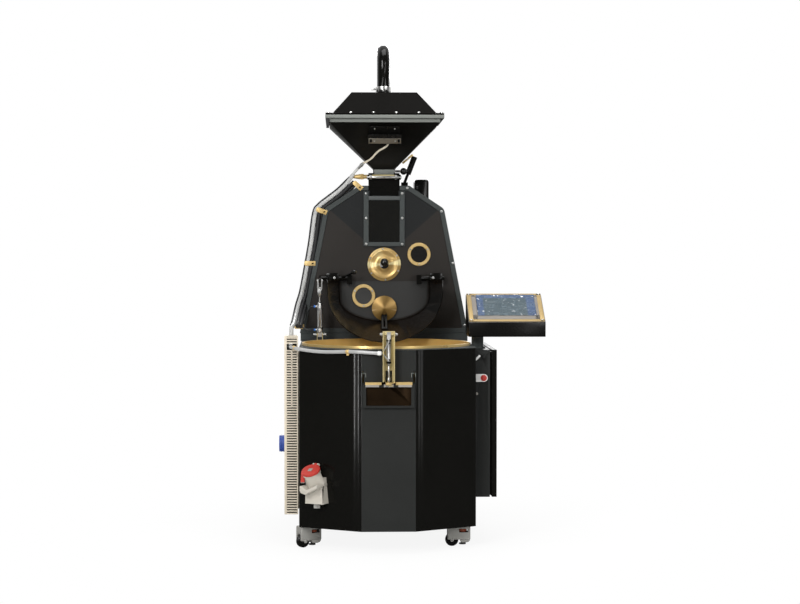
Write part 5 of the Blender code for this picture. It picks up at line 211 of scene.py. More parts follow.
# %% [markdown]
# ## Paints
# The cabinet wears two kinds of paint. The smooth black is a gloss with a faint orange peel, which bends its
# reflections. The dark grey is a textured powder coat: grains about a millimetre wide. Where they would
# catch the light, pale specks are painted on the grain's peaks as painted highlights. Both could be pictures
# of paint, but a grain made by noise has no seams and no end, so both come from one function and are told
# apart by the size and height of the grain. The sheet's bends are rolled wider than on the working solid. A
# bump that rises steadily across the bend leans the paint there, and the strip lamp draws its bright line in
# it.


# %% Paints
def paint(name, colour, rough, grain, height, speck, level):
    """A paint with slow cloudy wear, a grain of a given scale, and painted highlights: pale specks on the
    grain's peaks.
    """
    coat = Finish(name, {"Specular IOR Level": level})
    place = coat.place()
    cloud = coat.noise(place, 4.0, 3.0)
    fine = coat.noise(place, grain, 2.0, 0.6)
    # The grain's peaks get painted highlights, pale specks weighted by speck.
    peaks = coat.ramp(fine, 0.56, 0.74)
    pale = [min(1.0, part * 2.4 + 0.02) for part in colour]
    deep = [part * 0.72 for part in colour]
    base = coat.mix(cloud, deep, [part * 1.25 for part in colour])
    coat.bump(fine, height)
    rough = cloud * 0.12 + (rough - 0.06) + peaks * 0.05
    return coat.look(colour=coat.mix(peaks * speck, base, pale), roughness=rough)


GLOSS_BLACK = paint("gloss black paint", (0.0034, 0.0032, 0.0026), 0.16, 260, 0.00001, 0.10, 0.20)
BEND_FROM, BEND_TO = 0.108, 0.140
BEND_LEAN = math.radians(10.6)
SIDE_FACET_TURN = math.radians(30.3)


def bent_paint():
    """Gloss paint of the cabinet, which leans over beside the centre facet, as on a widely rolled bend."""
    coat = Finish("cabinet gloss paint", {"Specular IOR Level": 0.20})
    cloud = coat.noise(coat.place(), 4.0, 3.0)
    x, _, _ = coat.parts(coat.place(tuple(TRAY_CENTRE)))
    along = coat.ramp(abs(x), BEND_FROM, BEND_TO)
    reach = (BEND_TO - BEND_FROM) / math.cos(SIDE_FACET_TURN)
    coat.bump((along * 1.12 - along * along * 0.12) * (reach * math.tan(BEND_LEAN)), 1.0)
    black = coat.mix(cloud, (0.0026, 0.0025, 0.0020), (0.0042, 0.0040, 0.0033))
    return coat.look(colour=black, roughness=cloud * 0.08 + 0.13)


SHELL_BLACK = bent_paint()
COVER_BLACK = paint("hopper cover paint", (0.0034, 0.0030, 0.0024), 0.42, 700, 0.00022, 0.30, 0.03)
HOPPER_BLACK = paint("hopper black paint", (0.0052, 0.0048, 0.0038), 0.38, 700, 0.00016, 0.30, 0.24)
TEXTURED_GREY = paint("textured grey paint", (0.038, 0.044, 0.043), 0.60, 900, 0.00030, 0.55, 0.28)
FACET_GREY = paint("centre facet paint", (0.0150, 0.0160, 0.0150), 0.60, 900, 0.00026, 0.35, 0.20)
RIM_GREY = paint("rim grey paint", (0.17, 0.18, 0.165), 0.50, 700, 0.00022, 0.45, 0.40)
DOOR_GREY = paint("door grey paint", (0.030, 0.030, 0.029), 0.46, 500, 0.00006, 0.12, 0.24)
CAST_GREY = paint("cast housing paint", (0.27, 0.25, 0.225), 0.50, 420, 0.00022, 0.25, 0.45)
MOTOR_GREY = paint("motor grey paint", (0.085, 0.09, 0.095), 0.48, 500, 0.00020, 0.25, 0.40)
print("paints:", [m.name for m in bpy.data.materials if "paint" in m.name])

# %% [markdown]
# The face plate is darker and cooler above two diagonals that run down from the shoulders to the charge
# window. This is painted shade on its upper corners: a mask made of one straight line each side.


# %% Face paint
SHADE_LINE_TOP = Vector((-0.200, 1.305))
SHADE_LINE_FOOT = Vector((-0.086, 1.205))


def face_paint():
    satin = Finish("face plate paint", {"Specular IOR Level": 0.22})
    place = satin.place(tuple(TRAY_CENTRE))
    x, _, z = satin.parts(place)
    cloud = satin.noise(place, 5.0, 3.0)
    fine = satin.noise(place, 600, 2.0)
    slope = (SHADE_LINE_FOOT.y - SHADE_LINE_TOP.y) / (SHADE_LINE_FOOT.x - SHADE_LINE_TOP.x)
    line = (abs(x) * -1 - SHADE_LINE_TOP.x) * slope + SHADE_LINE_TOP.y
    # above is 1 on the upper corners, which get painted shade: a darker, cooler grey.
    above = satin.ramp(z - line, -0.002, 0.004)
    warm = satin.mix(cloud, (0.0165, 0.0138, 0.0118), (0.0235, 0.0200, 0.0172))
    shaded_grey = satin.mix(cloud, (0.0082, 0.0090, 0.0094), (0.0110, 0.0122, 0.0124))
    satin.bump(fine, 0.00006)
    return satin.look(colour=satin.mix(above, warm, shaded_grey), roughness=cloud * 0.10 + 0.42)


FACE_PAINT = face_paint()
print("shade line slope:", round((SHADE_LINE_FOOT.y - SHADE_LINE_TOP.y) / (SHADE_LINE_FOOT.x - SHADE_LINE_TOP.x), 3))

# %% [markdown]
# ## Metals
# Brass is everywhere on this machine. Turned discs carry fine rings from the lathe, and it is the rings that
# draw two bright fan-shaped streaks of light across them. Such rings are far finer than a pixel, so a mesh
# or an anisotropic shader would cost much and still flicker. These streaks are painted highlights instead:
# paler sectors of colour, by the angle about the disc's middle. Sheet brass is brushed along its length: a
# noise, squeezed across the brush.


# %% Metals
def turned_metal(name, deep, pale, rough, centre, across, pitch, depth, metallic=1.0, painted_highlights=()):
    """Metal turned on a lathe about a centre. across names the two directions of its face.

    Fine rings draw light into streaks, which are painted here as highlights. Each highlight is the direction
    of its middle, its width and its strength.
    """
    metal = Finish(name, {"Metallic": metallic})
    place = metal.place(tuple(centre))
    parts = metal.parts(place)
    first, second = (parts["XYZ".index(letter)] for letter in across)
    radius = (first * first + second * second) ** 0.5
    rings = metal.node("ShaderNodeMath", {"operation": "SINE"}, {0: radius * (math.tau / pitch)})
    stain = metal.noise(place, 26, 3.0)
    colour = metal.mix(stain * 0.5 + rings * 0.12 + 0.25, deep, pale)
    # Each painted highlight pales the colour in one sector about the middle.
    for angle, width, strength in painted_highlights:
        way = Vector((math.cos(angle), math.sin(angle)))
        ahead = (first * way.x + second * way.y) / (radius + 0.0001)
        share = metal.ramp(ahead, 1 - width * width / 2, 1.0)
        colour = metal.mix(share * strength, colour, [min(1.0, part * 1.5 + 0.20) for part in pale])
    metal.bump(rings, depth)
    return metal.look(colour=colour, roughness=stain * 0.10 + rough)


def brushed_metal(name, deep, pale, rough, stretch, stain_scale=14, metallic=1.0):
    """Sheet or bar brushed along one direction. stretch squeezes the pattern across it."""
    metal = Finish(name, {"Metallic": metallic})
    place = metal.place(stretch=stretch)
    hair = metal.noise(place, 60, 3.0, 0.7)
    stain = metal.noise(metal.place(), stain_scale, 4.0)
    metal.bump(hair, 0.00005)
    return metal.look(colour=metal.mix(stain, deep, pale), roughness=hair * 0.18 + stain * 0.10 + rough)


COVER_CENTRE = at(0, 0, DRUM_Z)
WEIGHT_CENTRE = at(0, 0, 0.919)
COVER_PAINTED_HIGHLIGHTS = ((math.radians(182), 0.30, 0.85), (math.radians(7), 0.26, 0.9), (math.radians(120), 0.5, 0.25))
COVER_BRASS = turned_metal("bearing cover brass", (0.42, 0.27, 0.085), (0.66, 0.45, 0.18), 0.30,
                           COVER_CENTRE, "XZ", 0.0022, 0.00001, 0.55, COVER_PAINTED_HIGHLIGHTS)
WEIGHT_PAINTED_HIGHLIGHTS = ((math.pi / 2, 0.06, 0.6), (math.radians(190), 0.09, 1.0), (math.radians(-10), 0.09, 1.0))
WEIGHT_BRASS = turned_metal("door weight bronze", (0.16, 0.095, 0.022), (0.27, 0.165, 0.048), 0.30,
                            WEIGHT_CENTRE, "XZ", 0.0016, 0.00001, 0.6, WEIGHT_PAINTED_HIGHLIGHTS)
TRAY_BRASS = turned_metal("tray brass", (0.66, 0.42, 0.12), (0.92, 0.64, 0.24), 0.32, at(0, 0, 0), "XY",
                          0.006, 0.00002, 0.50)
SHEET_BRASS = brushed_metal("sheet brass", (0.50, 0.34, 0.12), (0.72, 0.53, 0.24), 0.30, (1, 1, 14), 14, 0.5)
PALE_BRASS = brushed_metal("pale gold channel", (0.50, 0.40, 0.18), (0.74, 0.64, 0.36), 0.30, (10, 10, 1),
                           14, 0.6)
STEEL = brushed_metal("brushed steel", (0.42, 0.42, 0.41), (0.68, 0.68, 0.66), 0.24, (8, 8, 1))
BRIGHT_STEEL = brushed_metal("bright fastener steel", (0.60, 0.60, 0.58), (0.82, 0.82, 0.80), 0.18,
                             (1, 1, 1), 60)
SILVER = brushed_metal("anodised cylinder", (0.46, 0.46, 0.45), (0.66, 0.66, 0.64), 0.30, (14, 14, 1), 40)
DARK_STEEL = brushed_metal("dark rolled steel", (0.10, 0.09, 0.08), (0.20, 0.18, 0.16), 0.34, (6, 1, 6))
GATE_BRONZE = brushed_metal("gate plate bronze", (0.014, 0.009, 0.006), (0.040, 0.024, 0.012), 0.34,
                            (1, 1, 16))
print("metals done")

# %% [markdown]
# ## Plastics, rubber and glass
# Moulded parts have a fine even grain and a slow drift in colour, so one function covers them all. The
# glass is nearly black, because it looks into a dark head. A clear glass over a modelled inside would
# show the same and render slower, so it is a dark gloss with a little dust on it.


# %% Plastics
def moulded(name, colour, rough, grain=900, height=0.00004, level=0.45):
    """A moulded plastic or rubber with a fine grain."""
    plastic = Finish(name, {"Specular IOR Level": level})
    place = plastic.place()
    cloud = plastic.noise(place, 14, 3.0)
    fine = plastic.noise(place, grain, 2.0)
    plastic.bump(fine, height)
    low = [part * 0.86 for part in colour]
    high = [min(1.0, part * 1.10) for part in colour]
    return plastic.look(colour=plastic.mix(cloud, low, high), roughness=cloud * 0.14 + rough)


BLACK_PLASTIC = moulded("black plastic", (0.0040, 0.0039, 0.0034), 0.20, 900, 0.00001, 0.18)
SATIN_RUBBER = moulded("caster rubber", (0.022, 0.021, 0.020), 0.62, 500, 0.00012, 0.3)
BEIGE_PLASTIC = moulded("duct beige plastic", (0.62, 0.55, 0.44), 0.46)
INLET_BEIGE = moulded("inlet beige plastic", (0.44, 0.41, 0.355), 0.42)
RED_PLASTIC = moulded("red plastic", (0.44, 0.034, 0.024), 0.30)
BLUE_PLASTIC = moulded("blue plastic", (0.038, 0.085, 0.37), 0.34)
WHITE_PLASTIC = moulded("white plastic", (0.72, 0.72, 0.70), 0.36)
PALE_HOSE = moulded("pale conduit", (0.52, 0.52, 0.50), 0.36)
# The conduit's pale grey is a painted highlight along a dark glossy conduit.
CONDUIT_PAINTED_HIGHLIGHT = moulded("edge conduit", (0.45, 0.45, 0.44), 0.26, 500, 0.00004, 0.55)
FRONT_HOSE = moulded("front air hose", (0.33, 0.33, 0.325), 0.24, 500, 0.00004, 0.60)
CREAM_CABLE = moulded("cream cable", (0.58, 0.52, 0.41), 0.40)
DARK_HOSE = moulded("dark air tube", (0.016, 0.017, 0.018), 0.28)
NYLON_GREY = moulded("caster nylon", (0.27, 0.265, 0.245), 0.44, 500, 0.00010)
THUMB_ORANGE = moulded("thumbwheel orange", (0.24, 0.045, 0.012), 0.44)
BEZEL_GREY = moulded("operator bezel grey", (0.205, 0.185, 0.16), 0.40, 800, 0.00008)
STRAP_BLACK = moulded("rubber strip", (0.012, 0.012, 0.013), 0.50)
print("plastics done")

# %% [markdown]
# The operator panel still wears its protective film: a blue sheet, greyer in its middle, with soft
# wrinkles and a few bright creases. Two noises at different stretches, one folded into ridges, bend its
# surface and pale its colour, and a mask of two ramps tells the middle from the rim.


# %% Glass and film
def dark_glass(name, colour, rough):
    glass = Finish(name, {"Specular IOR Level": 0.6, "IOR": 1.5})
    dust = glass.ramp(glass.noise(glass.place(), 160, 4.0, 0.7), 0.5, 0.8)
    dusty = glass.mix(dust, colour, [part * 1.6 + 0.004 for part in colour])
    return glass.look(colour=dusty, roughness=dust * 0.1 + rough)


FILM_CENTRE = tuple(at(0.4785, 0.0180, 0.9340))


def film():
    sheet = Finish("screen film", {"Specular IOR Level": 0.4})
    soft = sheet.noise(sheet.place(stretch=(1, 1, 2.2)), 11, 3.0, 0.6)
    ridge = abs(sheet.noise(sheet.place(turn=(0, 0.5, 0), stretch=(1, 1, 3)), 16, 3.0, 0.6) - 0.5)
    crease = 1 - sheet.ramp(ridge, 0.004, 0.05)
    across, _, height = sheet.parts(sheet.place(FILM_CENTRE))
    inside = 1 - sheet.ramp(abs(across), 0.084, 0.090)
    inside = inside * (1 - sheet.ramp(abs(height), 0.032, 0.036))
    rim = sheet.mix(soft, (0.018, 0.042, 0.105), (0.055, 0.105, 0.210))
    middle = sheet.mix(soft, (0.028, 0.052, 0.066), (0.048, 0.080, 0.096))
    sheet.bump(soft + crease * 0.5, 0.004)
    base = sheet.mix(inside, rim, middle)
    peaks = sheet.ramp(sheet.noise(sheet.place(), 60, 2.0, 0.5), 0.64, 0.70) * (1 - inside * 0.7)
    base = sheet.mix(peaks, base, (0.85, 0.85, 0.85))
    base = sheet.mix(crease * 0.16, base, (0.34, 0.42, 0.48))
    return sheet.look(colour=base, roughness=crease * 0.2 + 0.30)


WINDOW_GLASS = dark_glass("charge window glass", (0.006, 0.006, 0.005), 0.045)
SIGHT_GLASS = dark_glass("sight glass pane", (0.010, 0.009, 0.008), 0.05)
SCREEN_FILM = film()
CHUTE_BROWN = paint("chute inner paint", (0.0055, 0.0038, 0.0026), 0.24, 300, 0.00003, 0.10, 0.35)
print("glass and film done")

# %% [markdown]
# ## Camera
# The camera stands far away with a long lens, a little left of the machine's middle and at about the
# height of the drum, and it looks down by a degree and a half. A nearer one would bend the cabinet's
# upright lines.

# %% Camera
EYE = Vector((-0.290, -7.896, 1.162))
EYE_TILT = math.radians(90 - 1.577)
EYE_PAN = math.radians(-1.85)
camera = bpy.data.objects.new("camera", bpy.data.cameras.new("camera"))
bpy.context.scene.collection.objects.link(camera)
camera.location = EYE
camera.rotation_euler = (EYE_TILT, 0, EYE_PAN)
camera.data.lens = 85
camera.data.sensor_width = 36
camera.data.clip_end = 100
bpy.context.scene.camera = camera
print("camera at", tuple(round(v, 3) for v in EYE))

# %% [markdown]
# ## Floor, backdrop and light
# The machine stands in a white space. More light would bleach the machine before the floor turned white,
# so the whiteness is told by the kind of ray. For what the camera sees directly most of the floor is
# plain white, and the rest takes real light and shadow, so the shadow stays soft. Mirrors see a dim
# floor, and a world that is white behind the machine and dim in front of it, which keeps the black paint
# black.


# %% Floor and world
def seen_directly(finish):
    """Three masks: 1 for what the camera shows, what a mirror shows and what a pane shows."""
    names = ("Is Camera Ray", "Is Glossy Ray", "Is Transmission Ray")
    return [finish.node("ShaderNodeLightPath", output=name) for name in names]


FLOOR_WHITE_SHARE = 0.90
FLOOR_MIRRORED = (0.16, 0.16, 0.155)
floor_finish = Finish("floor", {"Roughness": 0.9, "Specular IOR Level": 0.1})
sight, mirrored, through = seen_directly(floor_finish)
grain = floor_finish.noise(floor_finish.place(), 3.0, 2.0)
floor_finish.look(colour=floor_finish.mix(grain, (0.80, 0.80, 0.79), (0.84, 0.84, 0.83)))
glow_node = floor_finish.tree.nodes.new("ShaderNodeEmission")
blend = floor_finish.tree.nodes.new("ShaderNodeMixShader")
away = floor_finish.parts(floor_finish.place())
distance = (away[0] * away[0] + away[1] * away[1]) ** 0.5
share = floor_finish.ramp(distance, 0.5, 1.5) * (1 - FLOOR_WHITE_SHARE) + FLOOR_WHITE_SHARE
floor_finish.feed(blend.inputs[0], sight * share + mirrored + through)
floor_finish.feed(glow_node.inputs["Color"], floor_finish.mix(mirrored + through, (1, 1, 1), FLOOR_MIRRORED))
floor_finish.tree.links.new(floor_finish.shader.outputs[0], blend.inputs[1])
floor_finish.tree.links.new(glow_node.outputs[0], blend.inputs[2])
floor_finish.tree.links.new(blend.outputs[0], floor_finish.tree.nodes["Material Output"].inputs[0])
FLOOR_REACH = 30
bm = bmesh.new()
bmesh.ops.create_grid(bm, x_segments=1, y_segments=1, size=FLOOR_REACH)
floor_mesh = bpy.data.meshes.new("floor")
bmesh.ops.translate(bm, verts=bm.verts, vec=(0, 0, CAD_BOX[0].z - 0.0004))
bm.to_mesh(floor_mesh)
bm.free()
floor_mesh.materials.append(floor_finish.material)
floor = bpy.data.objects.new("floor", floor_mesh)
bpy.context.scene.collection.objects.link(floor)


class World(Finish):
    """The same kit for the world's own tree."""

    def __init__(self):
        world = bpy.data.worlds.new("studio")
        world.use_nodes = True
        bpy.context.scene.world = world
        self.tree = world.node_tree


DIM = (0.10, 0.10, 0.105)
AROUND = (0.46, 0.46, 0.46)
studio = World()
sight, mirrored, through = seen_directly(studio)
direction = studio.node("ShaderNodeTexCoord", output="Generated")
behind = studio.ramp(studio.parts(direction)[1], -0.25, 0.35)
mirror_colour = studio.mix(behind, DIM, (0.95, 0.95, 0.95))
colour = studio.mix(mirrored + through, AROUND, mirror_colour)
studio.feed(studio.tree.nodes["Background"].inputs["Color"], studio.mix(sight, colour, (1, 1, 1)))
print("floor and world done")

# %% [markdown]
# Most lamps are large and soft: a key high on the left, a fill that opens the shadows on the right, one
# overhead, and one behind that keeps the back readable from other sides. Two narrow strips stand low
# beside the camera's view. They add hardly any light and only draw the bright lines down the cabinet's
# two bends.

# %% Lamps
LAMPS = (
    ("key", (-2.6, -5.6, 3.6), (1.8, 1.8), 190),
    ("fill", (3.2, -5.4, 2.6), (1.8, 1.8), 90),
    ("overhead", (0.2, -0.6, 5.0), (3.0, 2.4), 120),
    ("left_strip", (-1.39, -2.60, 0.62), (0.10, 0.80), 9),
    ("right_strip", (1.19, -2.60, 0.62), (0.10, 0.80), 2),
    ("back", (0.6, 5.4, 3.0), (3.0, 2.4), 150),
)
MIDDLE = Vector((0, 0, 1.0))
for name, place, size, power in LAMPS:
    lamp = bpy.data.lights.new(name, "AREA")
    lamp.shape = "RECTANGLE"
    lamp.size, lamp.size_y = size
    lamp.energy = power
    stand = bpy.data.objects.new(name, lamp)
    stand.location = place
    stand.visible_camera = False
    stand.rotation_euler = (MIDDLE - Vector(place)).to_track_quat("-Z", "Y").to_euler()
    bpy.context.scene.collection.objects.link(stand)
bpy.context.scene.view_settings.view_transform = "Standard"
print(len(LAMPS), "lamps")

# %% [markdown]
# ## Making shapes
# Most pieces here are small assemblies: a turned ring, a plate with a bent edge, a tube with its nuts.
# They could be joined by hand from Blender's primitives, but a few kinds of closed body cover them all.
# `Shape` collects such bodies in one mesh, each in its place and with its own finish, and `done` makes it
# a piece that rides on its body. Bent edges are real bevels, so they catch the light.


# %% Directions and outlines
FRONT, BACK, RIGHT, LEFT, UP = -Y, Y, X, -X, Z
TURN_SIDES = 72
SHARP = math.radians(38)
FINISHED = set()
BODY_OF = {}
for body_name, body_nodes in frame["record"]["behaviour"]["bodies"].items():
    for node_name in body_nodes:
        BODY_OF[node_name] = body_name


def axes(first, second, third):
    """The turn whose own X, Y and Z run along three directions."""
    return Matrix((first, second, third)).transposed().to_4x4()


def facing(axis, centre, roll=0.0):
    """A placement whose own Z runs along an axis."""
    turn = Vector(axis).to_track_quat("Z", "Y").to_matrix().to_4x4()
    return Matrix.Translation(centre) @ turn @ Matrix.Rotation(roll, 4, "Z")


def circle(radius, sides, turn=0.0):
    angles = [turn + math.tau * n / sides for n in range(sides)]
    return [(radius * math.cos(a), radius * math.sin(a)) for a in angles]


def smooth_route(points, steps=6):
    """Points along a smooth curve through the given ones."""
    points = [Vector(point) for point in points]
    ends = [2 * points[0] - points[1], *points, 2 * points[-1] - points[-2]]
    route = []
    for a, b, c, d in zip(ends, ends[1:], ends[2:], ends[3:]):
        for step in range(steps):
            t = step / steps
            bend = (c - a) * t + (2 * a - 5 * b + 4 * c - d) * t**2 + (3 * b - a - 3 * c + d) * t**3
            route.append(b + bend / 2)
    route.append(points[-1])
    return route


print("directions and outlines ready for", len(BODY_OF), "nodes")

# %% [markdown]
# Every body in a `Shape` is closed, and its faces are turned outwards before it is taken in. `turned`
# makes what a lathe makes, `pin` a cylinder, `prism` and `box` what is cut from sheet or bar, and `tube`
# a hose. `placed` puts the finished mesh in the scene.


# %% Shape builder
class Shape:
    """Closed bodies gathered in one mesh, each with its finish."""

    def __init__(self):
        self.mesh = bmesh.new()
        self.finishes = []

    def take(self, part, finish):
        """Adds a finished body. Its faces are turned outwards first."""
        if finish not in self.finishes:
            self.finishes.append(finish)
        bmesh.ops.recalc_face_normals(part, faces=part.faces)
        for face in part.faces:
            face.material_index = self.finishes.index(finish)
        held = bpy.data.meshes.new("held")
        part.to_mesh(held)
        part.free()
        self.mesh.from_mesh(held)
        bpy.data.meshes.remove(held)
        return self

    def turned(self, profile, centre, axis, finish, sides=TURN_SIDES, roll=0.0):
        """A turned body from (radius, height) points. A radius of 0 closes it at a pole."""
        part = bmesh.new()
        rows = []
        for radius, height in profile:
            if radius == 0:
                rows.append([part.verts.new((0, 0, height))])
            else:
                rows.append([part.verts.new((a, b, height)) for a, b in circle(radius, sides)])
        if profile[0][0] > 0:
            rows.append(rows[0])
        for row, following in zip(rows, rows[1:]):
            for n in range(sides):
                m = (n + 1) % sides
                ring = [row[n % len(row)], row[m % len(row)]]
                ring += [following[m % len(following)], following[n % len(following)]]
                part.faces.new(list(dict.fromkeys(ring)))
        bmesh.ops.transform(part, matrix=facing(axis, centre, roll), verts=part.verts)
        return self.take(part, finish)

    def pin(self, radius, low, high, centre, axis, finish, sides=32, neck=None, chamfer=0.001, roll=0.0):
        """A cylinder from low to high. With a neck, both ends narrow to it over the chamfer."""
        profile = [(radius, low), (radius, high)]
        if neck:
            profile = [(neck, low), (radius, low + chamfer), (radius, high - chamfer), (neck, high)]
        return self.turned([(0, low), *profile, (0, high)], centre, axis, finish, sides, roll)

    def prism(self, outline, depth, place, finish, edge=0.0, steps=2):
        """An outline run along its own Z by a depth, with its edges rounded."""
        part = bmesh.new()
        low = [part.verts.new((a, b, 0)) for a, b in outline]
        high = [part.verts.new((a, b, depth)) for a, b in outline]
        part.faces.new(reversed(low))
        part.faces.new(high)
        for n in range(len(low)):
            m = (n + 1) % len(low)
            part.faces.new((low[n], low[m], high[m], high[n]))
        if edge:
            bmesh.ops.recalc_face_normals(part, faces=part.faces)
            sharp = [e for e in part.edges if e.calc_face_angle(0) > math.radians(30)]
            bmesh.ops.bevel(part, geom=sharp, offset=edge, segments=steps, profile=0.5, affect="EDGES",
                            clamp_overlap=True)
        bmesh.ops.transform(part, matrix=place, verts=part.verts)
        return self.take(part, finish)

    def box(self, low, high, finish, edge=0.001):
        """A block between two corners, given from the tray's centre, with rounded edges."""
        low, high = Vector(low), Vector(high)
        size = high - low
        outline = [(0, 0), (size.x, 0), (size.x, size.y), (0, size.y)]
        return self.prism(outline, size.z, Matrix.Translation(TRAY_CENTRE + low), finish, edge)

    def tube(self, route, radius, finish, sides):
        """A round tube along points, with closed ends."""
        part = bmesh.new()
        route = [Vector(point) for point in route]
        ahead = (route[1] - route[0]).normalized()
        across = ahead.orthogonal().normalized()
        rows = []
        for n, point in enumerate(route):
            first, last = route[max(n - 1, 0)], route[min(n + 1, len(route) - 1)]
            turned_to = (last - first).normalized()
            across = (ahead.rotation_difference(turned_to) @ across).normalized()
            ahead = turned_to
            side = ahead.cross(across)
            ring = [point + across * a + side * b for a, b in circle(radius, sides)]
            rows.append([part.verts.new(place) for place in ring])
        for row, following in zip(rows, rows[1:]):
            for n in range(sides):
                m = (n + 1) % sides
                part.faces.new((row[n], row[m], following[m], following[n]))
        part.faces.new(rows[0])
        part.faces.new(rows[-1])
        return self.take(part, finish)

    def done(self, name, body, slot, sharp=SHARP):
        """Makes the piece. It rides on a body."""
        mesh = bpy.data.meshes.new(name)
        self.mesh.to_mesh(mesh)
        self.mesh.free()
        for finish in self.finishes:
            mesh.materials.append(finish)
        return placed(name, mesh, body, sharp=sharp)


def placed(name, mesh, body, nodes=(), sharp=SHARP):
    """Puts a mesh in the scene as a piece, riding on a body. It stands for the nodes named."""
    mesh.name = name
    mesh.shade_smooth()
    mesh.set_sharp_from_angle(angle=sharp)
    piece = bpy.data.objects.new(name, mesh)
    bpy.context.scene.collection.objects.link(piece)
    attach(piece, body)
    if nodes:
        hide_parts(*nodes)
        FINISHED.update(nodes)
    return piece


print("shape builder ready:", [name for name in vars(Shape) if not name.startswith("_")])

# %% [markdown]
# ## Working solids that keep their shape
# A working solid comes in as loose triangles. Its copy is welded and its flats are made whole, so that
# rounds shade smoothly and edges can be bent. Sheet metal on a real machine never ends in a knife edge,
# so most get a narrow bevel. `dressed` does this, and a test on each face can give some of them another
# finish.


# %% Dress a solid
def welded(node, flat=math.radians(0.7)):
    """A clean copy of a working solid."""
    copy = bmesh.new()
    copy.from_mesh(frame["nodes"][node].data)
    bmesh.ops.remove_doubles(copy, verts=copy.verts, dist=0.00002)
    bmesh.ops.dissolve_limit(copy, angle_limit=flat, verts=copy.verts, edges=copy.edges)
    return copy


def dressed(node, finish, edge=0.0, tests=(), sharp=SHARP, reshape=None, flat=math.radians(0.7)):
    """A solid in its finish. A test pairs a function of a face's centre and normal with another finish."""
    copy = welded(node, flat)
    if reshape:
        reshape(copy)
    for face in copy.faces:
        centre = face.calc_center_median() - TRAY_CENTRE
        for index, (test, _) in enumerate(tests):
            if test(centre, face.normal):
                face.material_index = index + 1
                break
    mesh = bpy.data.meshes.new(node)
    copy.to_mesh(mesh)
    copy.free()
    for material in (finish, *[other for _, other in tests]):
        mesh.materials.append(material)
    piece = placed("dressed_" + node, mesh, BODY_OF[node], (node,), sharp)
    if edge:
        bend = piece.modifiers.new("bend", "BEVEL")
        bend.width = edge
        bend.segments = 2
        bend.limit_method = "ANGLE"
        bend.angle_limit = math.radians(50)
        bend.harden_normals = False
        bend.use_clamp_overlap = True
    return piece


print(len(frame["nodes"]), "solids to dress")

# %% [markdown]
# The cabinet's centre facet is painted a textured dark grey, and the rest of the sheet is gloss black.
# One solid with two finishes is enough: a test on each face's place and direction tells the facet, and
# both paints meet in the bend, as on the real sheet.

# %% Cabinet and head
FACET_HALF = 0.105
PLAIN_SOLIDS = {
    "top_deck": TEXTURED_GREY, "base_frame": TEXTURED_GREY, "back_panel": GLOSS_BLACK,
    "head_shell": GLOSS_BLACK, "head_back": GLOSS_BLACK, "face_panel": FACE_PAINT,
    "exhaust_box": GLOSS_BLACK, "stirrer": STEEL, "stirrer_motor": MOTOR_GREY,
    "cooling_fan": CAST_GREY, "roasting_drum": DARK_STEEL, "gas_burner": STEEL,
}


def on_centre_facet(centre, normal):
    return normal.y < -0.985 and abs(centre.x) < FACET_HALF


dressed("front_shell", SHELL_BLACK, tests=[(on_centre_facet, FACET_GREY)])
dressed("head_border", TEXTURED_GREY, 0.0015)
dressed("outlet_frame", FACET_GREY, 0.0012)
dressed("charge_neck", GLOSS_BLACK, 0.0008)
for node, finish in PLAIN_SOLIDS.items():
    dressed(node, finish)
print("cabinet and head dressed")

# %% [markdown]
# The drum's motor stands out at the back. Its body has fins along it and ends in a cowl with slots for its
# fan. The slots are thin black plates, painted shade for the dark seen through the openings. The fins could
# be set one by one, but one toothed outline, run along the motor, makes them all at once.

# %% Drum motor
MOTOR_END = 1.0800
END_DRAWN_IN = 0.0040
COWL, COWL_LENGTH, COWL_MOUTH = 0.0605, 0.0430, 0.0490
SLOTS, SLOT_OUTLINE = 12, [(0.014, -0.0020), (0.044, -0.0034), (0.044, 0.0034), (0.014, 0.0020)]


def end_drawn_in(copy):
    """Draws the motor's end in, so that its cowl stands round it."""
    for corner in copy.verts:
        if corner.co.y - TRAY_CENTRE.y > MOTOR_END - 0.0010:
            corner.co.y = TRAY_CENTRE.y + MOTOR_END - END_DRAWN_IN


dressed("drum_motor", MOTOR_GREY, reshape=end_drawn_in)
motor = Shape()
FINS, FIN_ROOT, FIN_TIP = 30, 0.0525, 0.0590
teeth = []
for n in range(FINS):
    for share, reach in ((0.0, FIN_ROOT), (0.42, FIN_ROOT), (0.50, FIN_TIP), (0.92, FIN_TIP)):
        angle = math.tau * (n + share) / FINS
        teeth.append((reach * math.cos(angle), reach * math.sin(angle)))
motor.prism(teeth, 0.075, facing(FRONT, at(0, 1.035, DRUM_Z)), MOTOR_GREY)
profile = [(0, 0), (COWL, 0), (COWL, 0.0400), (0.0580, COWL_LENGTH), (COWL_MOUTH, COWL_LENGTH),
           (COWL_MOUTH, 0.0395), (0, 0.0395)]
motor.turned(profile, at(0, MOTOR_END - COWL_LENGTH, DRUM_Z), BACK, MOTOR_GREY, 48)
# Each slot is a thin black plate: painted shade where the cowl is open.
for n in range(SLOTS):
    turn = facing(BACK, at(0, MOTOR_END - 0.0037, DRUM_Z), math.tau * n / SLOTS)
    motor.prism(SLOT_OUTLINE, 0.0008, turn, BLACK_PLASTIC)
motor.done("motor_fins", "machine", "gloss_black")
print("drum motor done")

# %% [markdown]
# ## Screws and other things that repeat
# A machine like this is held by dozens of small bright screws. They could be copied by hand, but all are
# the same. So one head is modelled once, and Geometry Nodes set a copy on every point, turned to face the
# way the point says. The tree realizes the copies and gives them their finish, and the result is one
# plain mesh. Its end is the same for whatever repeats, so `Tree.copies` makes it.


